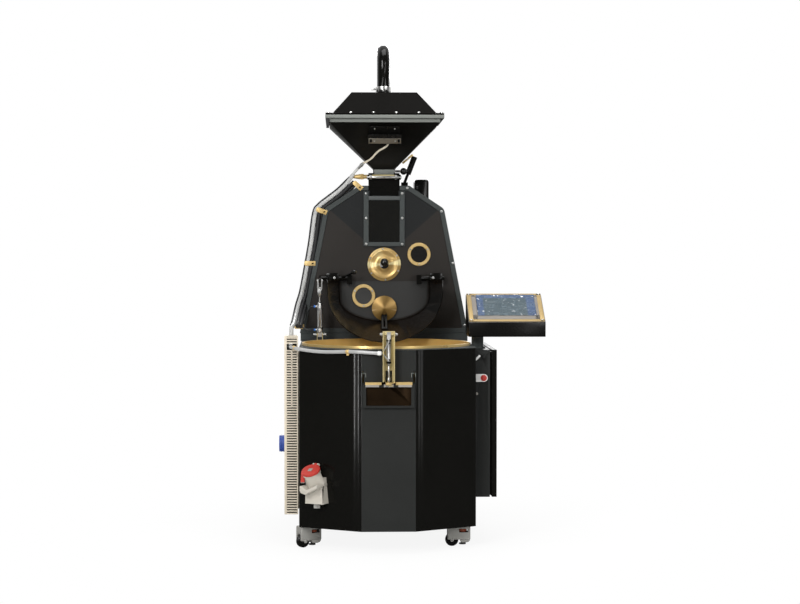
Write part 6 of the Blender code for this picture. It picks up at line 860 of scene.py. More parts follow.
# %% Repeat tree
class Tree:
    """A Geometry Nodes tree that sets an item on points."""

    def __init__(self, name, sockets):
        self.tree = bpy.data.node_groups.new(name, "GeometryNodeTree")
        for title, kind in (*sockets, ("Item", "Object"), ("Finish", "Material")):
            self.tree.interface.new_socket(title, in_out="INPUT", socket_type="NodeSocket" + kind)
        self.tree.interface.new_socket("Mesh", in_out="OUTPUT", socket_type="NodeSocketGeometry")
        self.given = self.node("NodeGroupInput")

    def node(self, kind, **settings):
        made = self.tree.nodes.new(kind)
        for name, value in settings.items():
            setattr(made, name, value)
        return made

    def link(self, source, output, target, socket):
        self.tree.links.new(source.outputs[output], target.inputs[socket])

    def copies(self, source, output, shift=(0, 0, 0)):
        """Sets the item on a node's points, makes the copies real and gives them their finish."""
        item, instance = self.node("GeometryNodeObjectInfo"), self.node("GeometryNodeInstanceOnPoints")
        realize, coat = self.node("GeometryNodeRealizeInstances"), self.node("GeometryNodeSetMaterial")
        moved, result = self.node("GeometryNodeTransform"), self.node("NodeGroupOutput")
        moved.inputs["Translation"].default_value = shift
        self.link(source, output, instance, "Points")
        self.link(self.given, "Item", item, "Object")
        self.link(item, "Geometry", instance, "Instance")
        self.link(instance, "Instances", realize, "Geometry")
        self.link(realize, "Geometry", coat, "Geometry")
        self.link(self.given, "Finish", coat, "Material")
        self.link(coat, "Geometry", moved, "Geometry")
        self.link(moved, "Geometry", result, "Mesh")
        return instance


def repeat_tree():
    """Sets an item on each point, facing along the point's own direction, with a seeded turn."""
    kit = Tree("repeat on points", (("Points", "Geometry"), ("Turn", "Float"), ("Seed", "Int")))
    way = kit.node("GeometryNodeInputNamedAttribute", data_type="FLOAT_VECTOR")
    way.inputs["Name"].default_value = "facing"
    align = kit.node("FunctionNodeAlignRotationToVector", axis="Z")
    chance = kit.node("FunctionNodeRandomValue", data_type="FLOAT")
    turn = kit.node("FunctionNodeAxisAngleToRotation")
    both = kit.node("FunctionNodeRotateRotation", rotation_space="LOCAL")
    kit.link(way, "Attribute", align, "Vector")
    kit.link(kit.given, "Turn", chance, 3)
    kit.link(kit.given, "Seed", chance, "Seed")
    kit.link(chance, 1, turn, "Angle")
    kit.link(align, "Rotation", both, "Rotation")
    kit.link(turn, "Rotation", both, "Rotate By")
    kit.link(both, "Rotation", kit.copies(kit.given, "Points"), "Rotation")
    return kit.tree


TURN_SEED = 3
REPEAT = repeat_tree()
print("repeat tree has", len(REPEAT.nodes), "nodes")

# %% [markdown]
# A tree only runs on an object, so the places become the points of a helper object, and the item is held
# by a second one. Both are removed once the mesh is made. A screw head is one turned shape with a socket
# in it.


# %% Copies on places
SCREW_SIDES = 14


def evaluated(holder, tree, inputs):
    """The plain mesh that a tree makes on an object. The object is removed."""
    modifier = holder.modifiers.new("tree", "NODES")
    modifier.node_group = tree
    for socket in tree.interface.items_tree:
        if socket.in_out == "INPUT" and socket.name in inputs:
            modifier[socket.identifier] = inputs[socket.name]
    holder.update_tag()
    bpy.context.view_layer.update()
    graph = bpy.context.evaluated_depsgraph_get()
    mesh = bpy.data.meshes.new_from_object(holder.evaluated_get(graph))
    holder.modifiers.remove(modifier)
    bpy.data.objects.remove(holder, do_unlink=True)
    return mesh


def loose(name, mesh):
    """A helper object that holds a mesh for a tree."""
    helper = bpy.data.objects.new(name, mesh)
    bpy.context.scene.collection.objects.link(helper)
    return helper


def repeated(name, item, places, finish, body, turn=0.0):
    """Copies of an item on places, each a point and the way it faces, as one piece."""
    points = bpy.data.meshes.new("points")
    points.from_pydata([place for place, _ in places], [], [])
    ways = points.attributes.new("facing", "FLOAT_VECTOR", "POINT")
    for n, (_, way) in enumerate(places):
        ways.data[n].vector = way
    held = bpy.data.meshes.new("item")
    item.to_mesh(held)
    item_object = loose("item", held)
    inputs = {"Item": item_object, "Turn": turn, "Seed": TURN_SEED, "Finish": finish}
    mesh = evaluated(loose("points", points), REPEAT, inputs)
    bpy.data.objects.remove(item_object, do_unlink=True)
    return placed(name, mesh, body)


def screw_head(radius, height, socket_share):
    """A domed screw head with a socket, its underside let into the surface."""
    head = Shape()
    sink = -height * 0.3
    profile = [
        (0, height * 0.35),
        (radius * socket_share, height * 0.35),
        (radius * socket_share, height * 0.96),
        (radius * 0.72, height),
        (radius * 0.93, height * 0.72),
        (radius, height * 0.35),
        (radius, sink),
        (0, sink),
    ]
    return head.turned(profile, (0, 0, 0), UP, BRIGHT_STEEL, SCREW_SIDES).mesh


def screws(name, radius, height, places, body="machine", finish=BRIGHT_STEEL, slot="steel", share=0.5,
           turn=math.tau):
    """Screws on places, each turned by chance."""
    return repeated(name, screw_head(radius, height, share), places, finish, body, turn)


print("screws can be set")

# %% [markdown]
# ## The face of the head
# Four screws hold the border's right side, and clips take their place on the left. Six hold the charge
# frame and six the bearing cover, whose ring of screws is turned by 35 degrees.

# %% Screws on the face
BORDER_FRONT = span("head_border")[0].y
FRAME_FRONT = BORDER_FRONT - 0.0023
FACE_SCREW = (0.0056, 0.0026)
COVER_SCREW_TURN = math.radians(35)
COVER_SCREW_CIRCLE = 0.0645
COVER_RIM_FRONT = 0.3507
BORDER_SCREWS = ((0.0969, 1.4215), (0.2400, 1.3240), (0.2885, 1.1070), (0.3385, 0.8460))
FRAME_SCREW_X = 0.0755
FRAME_SCREW_HEIGHTS = (1.1865, 1.2955, 1.3985)
places = [(at(x, BORDER_FRONT, z), FRONT) for x, z in BORDER_SCREWS]
places += [(at(side * FRAME_SCREW_X, FRAME_FRONT, z), FRONT) for side in (-1, 1)
           for z in FRAME_SCREW_HEIGHTS]
screws("face_screws", *FACE_SCREW, places)
ring = circle(COVER_SCREW_CIRCLE, 6, COVER_SCREW_TURN)
screws("cover_screws", 0.0042, 0.0022, [(at(x, COVER_RIM_FRONT, DRUM_Z + z), FRONT) for x, z in ring])
print("face screws set")

# %% [markdown]
# The charge frame is a U of flat bar with a thicker pale bar across its top. The window behind it is a
# dark pane. The charge neck above is closed by a ribbed plate, and a two-tone tie rod with nuts crosses
# in front.

# %% Charge frame and neck
BAR_BOTTOM, BAR_TOP, BAR_HALF = 1.370, 1.388, 0.066
BAR_GREY = paint("charge bar paint", (0.058, 0.064, 0.063), 0.50, 900, 0.00030, 0.45, 0.40)
FRAME_GREY = paint("charge frame paint", (0.036, 0.043, 0.042), 0.55, 900, 0.00030, 0.50, 0.38)


def on_bar(centre, normal):
    return abs(centre.x) < BAR_HALF and BAR_BOTTOM - 0.001 < centre.z < BAR_TOP + 0.001


dressed("charge_frame", FRAME_GREY, 0.0012, tests=[(on_bar, BAR_GREY)])
dressed("charge_window", WINDOW_GLASS)

ROD_Y, ROD_Z = 0.3483, 1.466
rod = Shape()
rod.pin(0.0066, -0.047, 0.047, at(-0.004, ROD_Y - 0.006, ROD_Z), RIGHT, BRIGHT_STEEL, 28, 0.0058, 0.002)
rod.pin(0.0048, -0.046, 0.046, at(-0.004, ROD_Y - 0.0045, ROD_Z + 0.0066), RIGHT, PALE_BRASS, 20)
for side in (-1, 1):
    nut_place = at(side * 0.053 - 0.004, ROD_Y - 0.006, ROD_Z)
    rod.pin(0.0105, -0.0055, 0.0055, nut_place, RIGHT, BRIGHT_STEEL, 6, 0.0085, 0.0015, 0.3)
    rod.turned([(0, 0.010), (0.005, 0.010), (0.006, 0.008), (0.006, -0.008), (0, -0.008)],
               at(side * 0.0625, ROD_Y - 0.004, ROD_Z), (side, 0, 0), SILVER, 18)
rod.done("tie_rod_dressing", "machine", "steel")

RIB_PITCH = 0.0042
PLATE_BOTTOM, PLATE_TOP, PLATE_HALF = 1.4770, 1.4985, 0.041
PLATE_Y = 0.3632
PLATE_FRONT, PLATE_BACK = PLATE_Y - 0.0030, PLATE_Y - 0.0004
RIB_FRONT, RIB_BACK = PLATE_Y - 0.0046, PLATE_Y - 0.0028
ribs = Shape()
ribs.box((-PLATE_HALF, PLATE_FRONT, PLATE_BOTTOM), (PLATE_HALF, PLATE_BACK, PLATE_TOP), RIM_GREY, 0.0004)
for n in range(5):
    z = PLATE_BOTTOM + (n + 0.6) * RIB_PITCH
    ribs.box((-PLATE_HALF, RIB_FRONT, z), (PLATE_HALF, RIB_BACK, z + RIB_PITCH / 2), RIM_GREY, 0.0004)
ribs.done("collar_plate", "machine", "steel")
print("charge frame and neck done")

# %% [markdown]
# ## Bearing cover and sight glasses
# The cover is one turned brass disc with a raised ridge near its rim, and a boss in its middle that holds
# the sampler. Its solid is already round, so it only needs the finish with the lathe's rings and its painted
# highlights. Its flats are made whole at a much smaller angle than elsewhere, or the facets of its shallow
# cone would run together.

# %% Bearing cover
COVER_FLAT = math.radians(0.02)
dressed("bearing_cover", COVER_BRASS, flat=COVER_FLAT)
print("bearing cover dressed")

# %% [markdown]
# The sight glasses keep their solids: the ring is brass, and the pane set into it is glass on the right
# one. The left one looks out of the door and shows the door's own dull grey.

# %% Sight glasses and door
GLASS_RIGHT, GLASS_LEFT = (0.146, 1.144), (-0.086, 0.970)
RING_INNER, RING_OUTER = 0.0345, 0.0486


def in_pane(middle, front):
    def test(centre, normal):
        reach = math.hypot(centre.x - middle[0], centre.z - middle[1])
        return reach < RING_INNER + 0.0004 and centre.y > front + 0.0004 and normal.y < -0.5
    return test


PANE_GREY = moulded("left sight pane", (0.032, 0.032, 0.031), 0.30)
GLASSES = (("sight_glass_right", GLASS_RIGHT, SIGHT_GLASS), ("sight_glass_left", GLASS_LEFT, PANE_GREY))
for glass, middle, pane in GLASSES:
    front = span(glass)[0].y
    ring = circle((RING_INNER + RING_OUTER) / 2, 3, math.radians(30))
    dressed(glass, SHEET_BRASS, tests=[(in_pane(middle, front), pane)])
    places = [(at(middle[0] + x, front, middle[1] + z), FRONT) for x, z in ring]
    screws(glass + "_screws", 0.0040, 0.0022, places, BODY_OF[glass])


SHAFT_Y, SHAFT_Z = 0.325, 1.044
LUG_INNER, LUG_OUTER, LUG_BACK = 0.130, 0.160, 0.3500


def on_shaft_side(centre, normal):
    on_stub = math.hypot(centre.y - SHAFT_Y, centre.z - SHAFT_Z) < 0.0125 and centre.x > 0.150
    return on_stub or (LUG_INNER < abs(centre.x) < LUG_OUTER and centre.y < LUG_BACK)


dressed("discharge_door", DOOR_GREY, 0.0008, tests=[(on_shaft_side, GLOSS_BLACK)])
# The weight's bronze carries painted highlights: a paler cross of sectors on its cone.
dressed("door_weight", WEIGHT_BRASS)
print("door, weight and sight glasses done")

# %% [markdown]
# The discharge door's two lugs, the shaft's two stubs and the hand lever are black steel, and the ball
# knobs are glossy plastic. The stubs turn in two bearing blocks, whose screws show bright.

# %% Shaft and levers
HAND_KNOB, HAND_KNOB_REACH = (-0.127, 0.277, 1.071), 0.0127
SAMPLER_KNOB, SAMPLER_KNOB_REACH = (0, 0.3187, 1.111), 0.0185
CHUTE_HALF, CHUTE_TOP = 0.200, 1.035
BLOCK_INNER, BLOCK_OUTER = 0.1905, 0.2420
BLOCK_FRONT, BLOCK_BACK = 0.3080, 0.3400


def near(middle, radius):
    def test(centre, normal):
        return (centre - Vector(middle)).length < radius
    return test


BALL_BLACK = moulded("ball knob black", (0.008, 0.008, 0.008), 0.12, 300, 0.00001, 0.55)
dressed("door_shaft", GLOSS_BLACK, tests=[(near(HAND_KNOB, HAND_KNOB_REACH), BALL_BLACK)])
dressed("sampler", STEEL, tests=[(near(SAMPLER_KNOB, SAMPLER_KNOB_REACH), BALL_BLACK)])


def inside_chute(centre, normal):
    return normal.y < -0.2 and abs(centre.x) < CHUTE_HALF and centre.z < CHUTE_TOP


dressed("discharge_chute", GLOSS_BLACK, 0.0006, tests=[(inside_chute, CHUTE_BROWN)])
blocks = Shape()
for side in (-1, 1):
    left, right = sorted((side * BLOCK_INNER, side * BLOCK_OUTER))
    blocks.box((left, BLOCK_FRONT, 1.0352), (right, SHAFT_Y - 0.0102, 1.0660), GLOSS_BLACK, 0.0022)
    blocks.box((left, BLOCK_FRONT + 0.001, 1.0545), (right, BLOCK_BACK, 1.0655), GLOSS_BLACK, 0.0022)
blocks.done("bearing_blocks", "machine", "gloss_black")
places = [(at(x, BLOCK_FRONT, 1.0457), FRONT) for x in (-0.2078, 0.2031)]
screws("bearing_screws", 0.0055, 0.0026, places, turn=0.0)
print("shaft and levers done")

# %% [markdown]
# ## Hopper
# The funnel is black with a pale textured band where its rim is folded, and the cover's own rim above it
# wears the same band. The band could be a stripe of paint, but four thin bars stand out a little and
# catch the light. The rim's screws are set round all four sides by the repeat tree. The working solid's
# rim is drawn in to the funnel's width, since only the cover reaches out to the full width.

# %% Funnel and cover
HOPPER_MIDDLE = 0.460
RIM_HALF, FUNNEL_HALF = 0.244, 0.2285
RIM_LOW, RIM_HIGH = 1.688, 1.7033
BAND_HIGH = 1.7174
COVER_RIM_TOP = 1.7262


def drawn_in(copy):
    """Draws the funnel's rim in to the funnel's own width."""
    for corner in copy.verts:
        for axis, middle in (("x", TRAY_CENTRE.x), ("y", TRAY_CENTRE.y + HOPPER_MIDDLE)):
            away = getattr(corner.co, axis) - middle
            if abs(away) > FUNNEL_HALF + 0.004:
                setattr(corner.co, axis, middle + math.copysign(FUNNEL_HALF, away))


def on_rim_side(centre, normal):
    return RIM_LOW < centre.z < RIM_HIGH - 0.001 and abs(normal.z) < 0.1 and (
        max(abs(centre.x), abs(centre.y - HOPPER_MIDDLE)) > FUNNEL_HALF - 0.001)


dressed("hopper", HOPPER_BLACK, tests=[(on_rim_side, RIM_GREY)], reshape=drawn_in)
dressed("hopper_cover", COVER_BLACK, 0.0012)
BAND_OUTER, BAND_INNER = RIM_HALF + 0.0003, RIM_HALF - 0.0011
bands = Shape()
for left, front, right, back in ((-BAND_OUTER, -BAND_OUTER, BAND_OUTER, -BAND_INNER),
                                 (-BAND_OUTER, BAND_INNER, BAND_OUTER, BAND_OUTER),
                                 (-BAND_OUTER, -BAND_OUTER, -BAND_INNER, BAND_OUTER),
                                 (BAND_INNER, -BAND_OUTER, BAND_OUTER, BAND_OUTER)):
    low, high = (left, HOPPER_MIDDLE + front, RIM_HIGH + 0.0004), (right, HOPPER_MIDDLE + back, BAND_HIGH)
    bands.box(low, high, RIM_GREY, 0.0002)
low, high = (-0.2405, HOPPER_MIDDLE - 0.2430, 1.6632), (-0.2290, HOPPER_MIDDLE - 0.2290, RIM_HIGH)
bands.box(low, high, STRAP_BLACK)
bands.done("cover_bands", "machine", "gloss_black")

RIM_PITCH = 0.0935
SCREW_LINE = 0.2338
stops = [RIM_PITCH * (n - 2.5) for n in range(6)]
lines = (-SCREW_LINE, SCREW_LINE)
places = [(at(a, HOPPER_MIDDLE + line, COVER_RIM_TOP), UP) for a in stops for line in lines]
places += [(at(line, HOPPER_MIDDLE + a, COVER_RIM_TOP), UP) for a in stops[1:-1] for line in lines]
screws("cover_rim_screws", 0.0062, 0.0048, places)
print(len(places), "screws round the cover")

# %% [markdown]
# The loading pipe keeps its solid, and the clamp round it is bright steel. The vibrator is a black ribbed
# block with a plain light plate on its front. Its cream cable runs down the funnel to the conduit. It is
# a tube along a smooth curve through a few places, so the places alone shape it.

# %% Pipe, vibrator and cable
CLAMP_LOW, CLAMP_HIGH = 1.829, 1.853


def on_clamp(centre, normal):
    reach = math.hypot(centre.x, centre.y - HOPPER_MIDDLE)
    return CLAMP_LOW - 0.001 < centre.z < CLAMP_HIGH + 0.001 and reach > 0.0275


dressed("suction_pipe", GLOSS_BLACK, tests=[(on_clamp, BRIGHT_STEEL)])
dressed("hopper_vibrator", BLACK_PLASTIC, 0.0010)
PLATE_GREY = brushed_metal("vibrator plate", (0.30, 0.27, 0.22), (0.42, 0.39, 0.33), 0.36, (1, 1, 8))
vibrator = Shape()
VIBRATOR_LEAN = [(0.2484, 1.6008), (0.2352, 1.6215), (0.2405, 1.6215), (0.2540, 1.6008)]
vibrator.prism(VIBRATOR_LEAN, 0.134, facing(RIGHT, at(-0.067, 0, 0)), PLATE_GREY, 0.0008)
SLOT_LEAN = [(0.2452, 1.6052), (0.2372, 1.6180), (0.2400, 1.6180), (0.2480, 1.6052)]
for x in (-0.0625, 0.0525):
    vibrator.prism(SLOT_LEAN, 0.010, facing(RIGHT, at(x, 0, 0)), BLACK_PLASTIC, 0.0006)
FIN_LEAN = [(0.2352, 1.6222), (0.2262, 1.6366), (0.2320, 1.6366), (0.2400, 1.6222)]
for n in range(9):
    vibrator.prism(FIN_LEAN, 0.006, facing(RIGHT, at(-0.046 + n * 0.0108, 0.0005, 0)), BLACK_PLASTIC, 0.0006)
vibrator.done("vibrator_plate", "machine", "black_plastic")
LEAN_UP, LEAN_DOWN = Vector((0, -0.85, 0.53)).normalized(), Vector((0, -0.83, -0.55)).normalized()
places = [(at(x, 0.2416, 1.6108), LEAN_UP) for x in (-0.043, 0.043)]
places += [(at(x, 0.2352, 1.6610), LEAN_DOWN) for x in (-0.0416, 0.0412)]
screws("vibrator_screws", 0.0036, 0.0022, places)

CABLE_RADIUS = 0.0042
cable = Shape()
CABLE_ROUTE = ((0.0150, 0.2760, 1.6020), (0.0090, 0.2800, 1.5930), (-0.0060, 0.2860, 1.5830),
               (-0.0224, 0.2945, 1.5740), (-0.0390, 0.3060, 1.5590), (-0.0526, 0.3170, 1.5440),
               (-0.0690, 0.3290, 1.5330), (-0.0880, 0.3420, 1.5240))
cable.tube(smooth_route([at(*p) for p in CABLE_ROUTE], 4), CABLE_RADIUS, CREAM_CABLE, 12)
FITTING_ROOT, FITTING_END = at(-0.0860, 0.3405, 1.5255), at(-0.1080, 0.3550, 1.5040)
way = (FITTING_END - FITTING_ROOT).normalized()
length = (FITTING_END - FITTING_ROOT).length
profile = [(0, 0), (0.0052, 0), (0.0060, 0.001), (0.0060, 0.009), (0.0078, 0.0095), (0.0078, 0.018),
           (0.0060, 0.0185), (0.0060, length), (0, length)]
cable.turned(profile, FITTING_ROOT, way, SILVER, 24)
LEAD = ((-0.1070, 0.3545, 1.5050), (-0.1150, 0.3580, 1.4970), (-0.1230, 0.3600, 1.4880),
        (-0.1310, 0.3600, 1.4760))
cable.tube(smooth_route([at(*p) for p in LEAD], 4), 0.0058, PALE_HOSE, 14)
cable.done("vibrator_cable", "machine", "pale_hose")
print("pipe, vibrator and cable done")

# %% [markdown]
# Beside the neck stand a brass cable gland on the left, and on the right the actuator of the slide, which
# a short brass strip ties to the neck.

# %% Round the neck
gland = Shape()
GLAND_LINE = at(-0.1330, 0.3690, 1.4690)
profile = [(0, 0), (0.0052, 0), (0.0070, 0.006), (0.0108, 0.030), (0.0108, 0.036), (0, 0.036)]
gland.turned(profile, GLAND_LINE, RIGHT, SHEET_BRASS, 32)
gland.pin(0.0130, 0.034, 0.048, GLAND_LINE, RIGHT, SHEET_BRASS, 6, 0.0120, 0.0015)
gland.pin(0.0085, 0.046, 0.0655, GLAND_LINE, RIGHT, SHEET_BRASS, 28)
STRIP_FROM, STRIP_TO = Vector((0.0793, 1.5276)), Vector((0.1227, 1.5642))
run = STRIP_TO - STRIP_FROM
lie = Vector((-run.y, run.x)).normalized() * 0.0042
strip = [tuple(STRIP_FROM - lie), tuple(STRIP_TO - lie), tuple(STRIP_TO + lie), tuple(STRIP_FROM + lie)]
gland.prism(strip, 0.0022, facing(FRONT, at(0, 0.4262, 0)), SHEET_BRASS, 0.0006)
gland.done("neck_fittings", "machine", "brass")
dressed("neck_actuator", BLACK_PLASTIC, 0.0006)
middle = (STRIP_FROM + STRIP_TO) / 2
places = [(at(middle.x, 0.4240, middle.y), FRONT)]
screws("strip_screw", 0.0042, 0.0024, places, finish=WHITE_PLASTIC, turn=0.0)
SLIDE_BALL, SLIDE_BALL_RADIUS = Vector((0.083, 0.3953, 1.4928)), 0.0155


def on_slide_ball(centre, normal):
    return (centre - SLIDE_BALL).length < SLIDE_BALL_RADIUS and centre.x > 0.0685


dressed("hopper_slide", BRIGHT_STEEL, tests=[(on_slide_ball, BALL_BLACK)])
print("neck fittings done")

# %% [markdown]
# ## Outlet gate and its cylinder
# A pale gold channel hangs in front of the cabinet and holds a small pneumatic cylinder by a cross pin.
# The cylinder's rod lifts the gate by its lip. The gate's plate is bronze, darkened by heat, with level
# streaks. The lip carries a grey bar. It is in three lengths, so that it clears the channel's walls when
# the gate rises.

# %% Outlet gate
GATE_LIP_LOW, GATE_TAB_LOW, GATE_HALF = 0.6475, 0.6600, 0.0905


def on_gate_plate(centre, normal):
    return centre.z < GATE_LIP_LOW and abs(centre.x) < GATE_HALF


def on_gate_tab(centre, normal):
    return centre.z > GATE_TAB_LOW


dressed("outlet_gate", SHEET_BRASS, tests=[(on_gate_plate, GATE_BRONZE), (on_gate_tab, BRIGHT_STEEL)])
lip = Shape()
for left, right, back in ((-0.0885, -0.0365, -0.3662), (-0.0185, 0.0185, -0.3701),
                          (0.0365, 0.0885, -0.3662)):
    lip.box((left, -0.3812, 0.6400), (right, back, 0.6500), CAST_GREY, 0.0010)
profile = [(0, 0), (0.0045, 0), (0.0045, 0.003), (0.0030, 0.0045), (0, 0.0045)]
lip.turned(profile, at(-0.006, -0.3810, 0.6450), FRONT, BRIGHT_STEEL, 20)
lip.box((0.002, -0.3830, 0.6425), (0.016, -0.3775, 0.6465), PALE_BRASS, 0.0008)
lip.done("gate_lip_bar", "outlet_gate", "steel")
edges = Shape()
for side in (-1, 1):
    for first, second, low in ((0.0865, 0.1035, 0.6905), (0.0865, 0.0885, 0.6760), (0.1015, 0.1035, 0.6760)):
        left, right = sorted((side * first, side * second))
        edges.box((left, -0.3608, low), (right, -0.3588, 0.6922), RIM_GREY, 0.0005)
edges.done("slit_edges", "machine", "textured_grey")
print("outlet gate done")

# %% [markdown]
# The channel and the cylinder keep their solids. The cylinder's barrel is drawn in between its end caps,
# and the caps, the air ports, the nuts and the fork on the rod are added. What is on the rod rides with
# the gate.

# %% Channel and cylinder
PIN_Y, PIN_Z = -0.385, 0.841


def on_cross_pin(centre, normal):
    return math.hypot(centre.y - PIN_Y, centre.z - PIN_Z) < 0.0046 and abs(centre.x) > 0.0205


dressed("gate_channel", PALE_BRASS, 0.0006, tests=[(on_cross_pin, BRIGHT_STEEL)])
BARREL_LOW, BARREL_HIGH, BARREL_SLIMMING = 0.730, 0.824, 0.76


def slimmed(copy):
    """Draws the barrel in between its end caps."""
    for corner in copy.verts:
        place = corner.co - TRAY_CENTRE
        if BARREL_LOW < place.z < BARREL_HIGH:
            corner.co.x = TRAY_CENTRE.x + place.x * BARREL_SLIMMING
            corner.co.y = TRAY_CENTRE.y + PIN_Y + (place.y - PIN_Y) * BARREL_SLIMMING


dressed("gate_cylinder", SILVER, reshape=slimmed)
web = Shape()
web.box((-0.0215, PIN_Y + 0.0105, 0.7040), (0.0215, PIN_Y + 0.0125, 0.8500), PALE_BRASS, 0.0006)
web.done("channel_web", "machine", "pale_brass")
ends = Shape()
for low, high, reach in ((BARREL_LOW, 0.7385, 0.0098), (0.8140, 0.8225, 0.0098), (0.8260, 0.8300, 0.0080)):
    ends.pin(reach, low, high, at(0, PIN_Y, 0), UP, BLACK_PLASTIC, 32, reach * 0.9, 0.0012)
PORT_HEIGHTS = (0.7445, 0.8090)
profile = [(0, 0), (0.0038, 0), (0.0038, 0.0048), (0.0026, 0.0056), (0, 0.0056)]
for height in PORT_HEIGHTS:
    ends.turned(profile, at(0.0030, PIN_Y - 0.0085, height), FRONT, DARK_HOSE, 16)
NUT_Z = 0.7205
ends.pin(0.0068, 0, 0.0095, at(0, PIN_Y, NUT_Z), UP, BRIGHT_STEEL, 6, 0.0060)
for side in (-1, 1):
    ends.pin(0.0072, 0, 0.0055, at(side * 0.0235, PIN_Y, PIN_Z), (side, 0, 0), BRIGHT_STEEL, 6, 0.0062)
ends.done("gate_cylinder_ends", "machine", "steel")
fork = Shape()
profile = [(0, 0), (0.0062, 0), (0.0062, 0.008), (0.0045, 0.0108), (0, 0.0108)]
fork.turned(profile, at(0, PIN_Y, 0.6664), UP, SILVER, 20)
profile = [(0, 0), (0.0048, 0), (0.0055, 0.001), (0.0055, 0.0065), (0, 0.0065)]
fork.turned(profile, at(0, PIN_Y, 0.6600), UP, BRIGHT_STEEL, 6)
fork.done("gate_rod_ends", "outlet_gate", "steel")
print("channel and cylinder done")

# %% [markdown]
# Air reaches the cylinder through a pale hose that is held along the tray's rim. It is tied by a brass
# clip, and at its end it forks into two thin tubes.

# %% Front hose
dressed("front_hose", FRONT_HOSE)
clip = Shape()
for first, second, finish in ((at(-0.1620, -0.3427, 0.7733), at(-0.1500, -0.3496, 0.7735), SHEET_BRASS),
                              (at(-0.3680, -0.2205, 0.7830), at(-0.3585, -0.2375, 0.7812), SHEET_BRASS),
                              (at(-0.0420, -0.3828, 0.7697), at(-0.0290, -0.3848, 0.7692), WHITE_PLASTIC)):
    run = second - first
    clip.pin(0.0084, 0, run.length, first, run, finish, 28, 0.0078)
clip.box((-0.1605, -0.3560, 0.7590), (-0.1515, -0.3300, 0.7668), SHEET_BRASS, 0.0006)
HOSE_START = Vector((0.05, -1, 0))
clip.pin(0.0118, 0, 0.009, at(-0.3785, -0.1560, 0.7850), HOSE_START, BRIGHT_STEEL, 6, 0.0105)
profile = [(0, 0), (0.0092, 0), (0.0098, 0.001), (0.0098, 0.0095), (0.0086, 0.0105), (0, 0.0105)]
clip.turned(profile, at(-0.3780, -0.1650, 0.7850), HOSE_START, BLACK_PLASTIC, 24)
THIN = 0.0019
FORKS = (
    ((-0.0290, -0.3850, 0.7690), (-0.0230, -0.3870, 0.7720), (-0.0150, -0.3895, 0.7860),
     (-0.0050, -0.3930, 0.8040), (0.0030, -0.3950, 0.8090)),
    ((-0.0290, -0.3850, 0.7690), (-0.0220, -0.3880, 0.7670), (-0.0120, -0.3920, 0.7560),
     (-0.0040, -0.3950, 0.7470), (0.0030, -0.3950, 0.7445)),
)
for route in FORKS:
    clip.tube(smooth_route([at(*point) for point in route], 4), THIN, FRONT_HOSE, 10)
clip.done("hose_clips", "machine", "pale_hose")
print("front hose done")

# %% [markdown]
# ## The clips and the conduit
# The conduit runs down the head's left edge, and three black tubes run beside it. Its pale grey is a painted
# highlight along a dark glossy conduit, and the black tubes give that conduit's dark sides. They follow the
# conduit's own places, each moved square to its run, so they never cross it. Four brass clips hold them.
# Each is a short strap with a screw at its right end, and all but the lowest bend back round the tubes at
# their left end.

# %% Conduit clips
dressed("edge_conduit", CONDUIT_PAINTED_HIGHLIGHT)
EDGE_ROUTE = [at(*place) for place in (
    (-0.137, 0.360, 1.460), (-0.156, 0.360, 1.442), (-0.191, 0.360, 1.408), (-0.233, 0.360, 1.376),
    (-0.270, 0.360, 1.346), (-0.288, 0.360, 1.316), (-0.305, 0.360, 1.193), (-0.323, 0.360, 1.091),
    (-0.342, 0.357, 0.990), (-0.358, 0.342, 0.936), (-0.365, 0.270, 0.902), (-0.369, 0.150, 0.876),
    (-0.372, 0.020, 0.860),
)]
tubes = Shape()
# Black tubes beside the conduit give its dark sides round the painted highlight.
for shift, radius, depth in ((-0.0112, 0.0030, 0), (0.0168, 0.0084, 0), (0.0290, 0.0080, 0.0110)):
    beside = []
    for n, place in enumerate(EDGE_ROUTE):
        run = EDGE_ROUTE[min(n + 1, len(EDGE_ROUTE) - 1)] - EDGE_ROUTE[max(n - 1, 0)]
        run = Vector((run.x, 0, run.z)).normalized()
        beside.append(place + Vector((-run.z * shift, depth, run.x * shift)))
    tubes.tube(smooth_route(beside, 5), radius, STRAP_BLACK, 14)
tubes.done("edge_tubes", "machine", "black_plastic")
CLIPS = (
    ((-0.1010, 1.4235), (-0.0420, 0.0365), 0.0350),
    ((-0.2500, 1.3210), (-0.0290, 0.0110), 0.0350),
    ((-0.2985, 1.1060), (-0.0215, 0.0000), 0.0350),
    ((-0.3455, 0.8420), (-0.0305, 0.0000), 0.0300),
)
STRAP_HALF, STRAP_SHEET = 0.0098, 0.0018
LEG = [(0, 0), (0.0018, 0), (0.0018, 0.024), (0, 0.024)]
straps = Shape()
places = []
for screw, run, reach in CLIPS:
    along = Vector((run[0], 0, run[1])).normalized()
    outline = [(-0.011, -STRAP_HALF), (reach - 0.004, -STRAP_HALF), (reach, -STRAP_HALF + 0.004),
               (reach, STRAP_HALF - 0.004), (reach - 0.004, STRAP_HALF), (-0.011, STRAP_HALF)]
    root = at(screw[0], BORDER_FRONT, screw[1])
    outward = Matrix.Translation(root) @ axes(along, FRONT.cross(along), FRONT)
    straps.prism(outline, STRAP_SHEET, outward, SHEET_BRASS, 0.0005)
    if reach == CLIPS[0][2]:
        start = root + along * (reach - 0.001) - along.cross(Y) * STRAP_HALF * 0.6 - Y * STRAP_SHEET
        back = Matrix.Translation(start) @ axes(along, Y, along.cross(Y))
        straps.prism(LEG, STRAP_HALF * 1.2, back, SHEET_BRASS, 0.0004)
    places.append((root + FRONT * STRAP_SHEET, FRONT))
straps.done("conduit_straps", "machine", "brass")
screws("strap_screws", *FACE_SCREW, places, finish=SHEET_BRASS, slot="brass", share=0.62, turn=0.0)
socket = Shape()
socket.pin(0.0033, 0, 0.0010, (0, 0, 0), UP, BLACK_PLASTIC, 12)
repeated("strap_screw_centres", socket.mesh, places, BLACK_PLASTIC, "machine")
print(len(CLIPS), "clips")

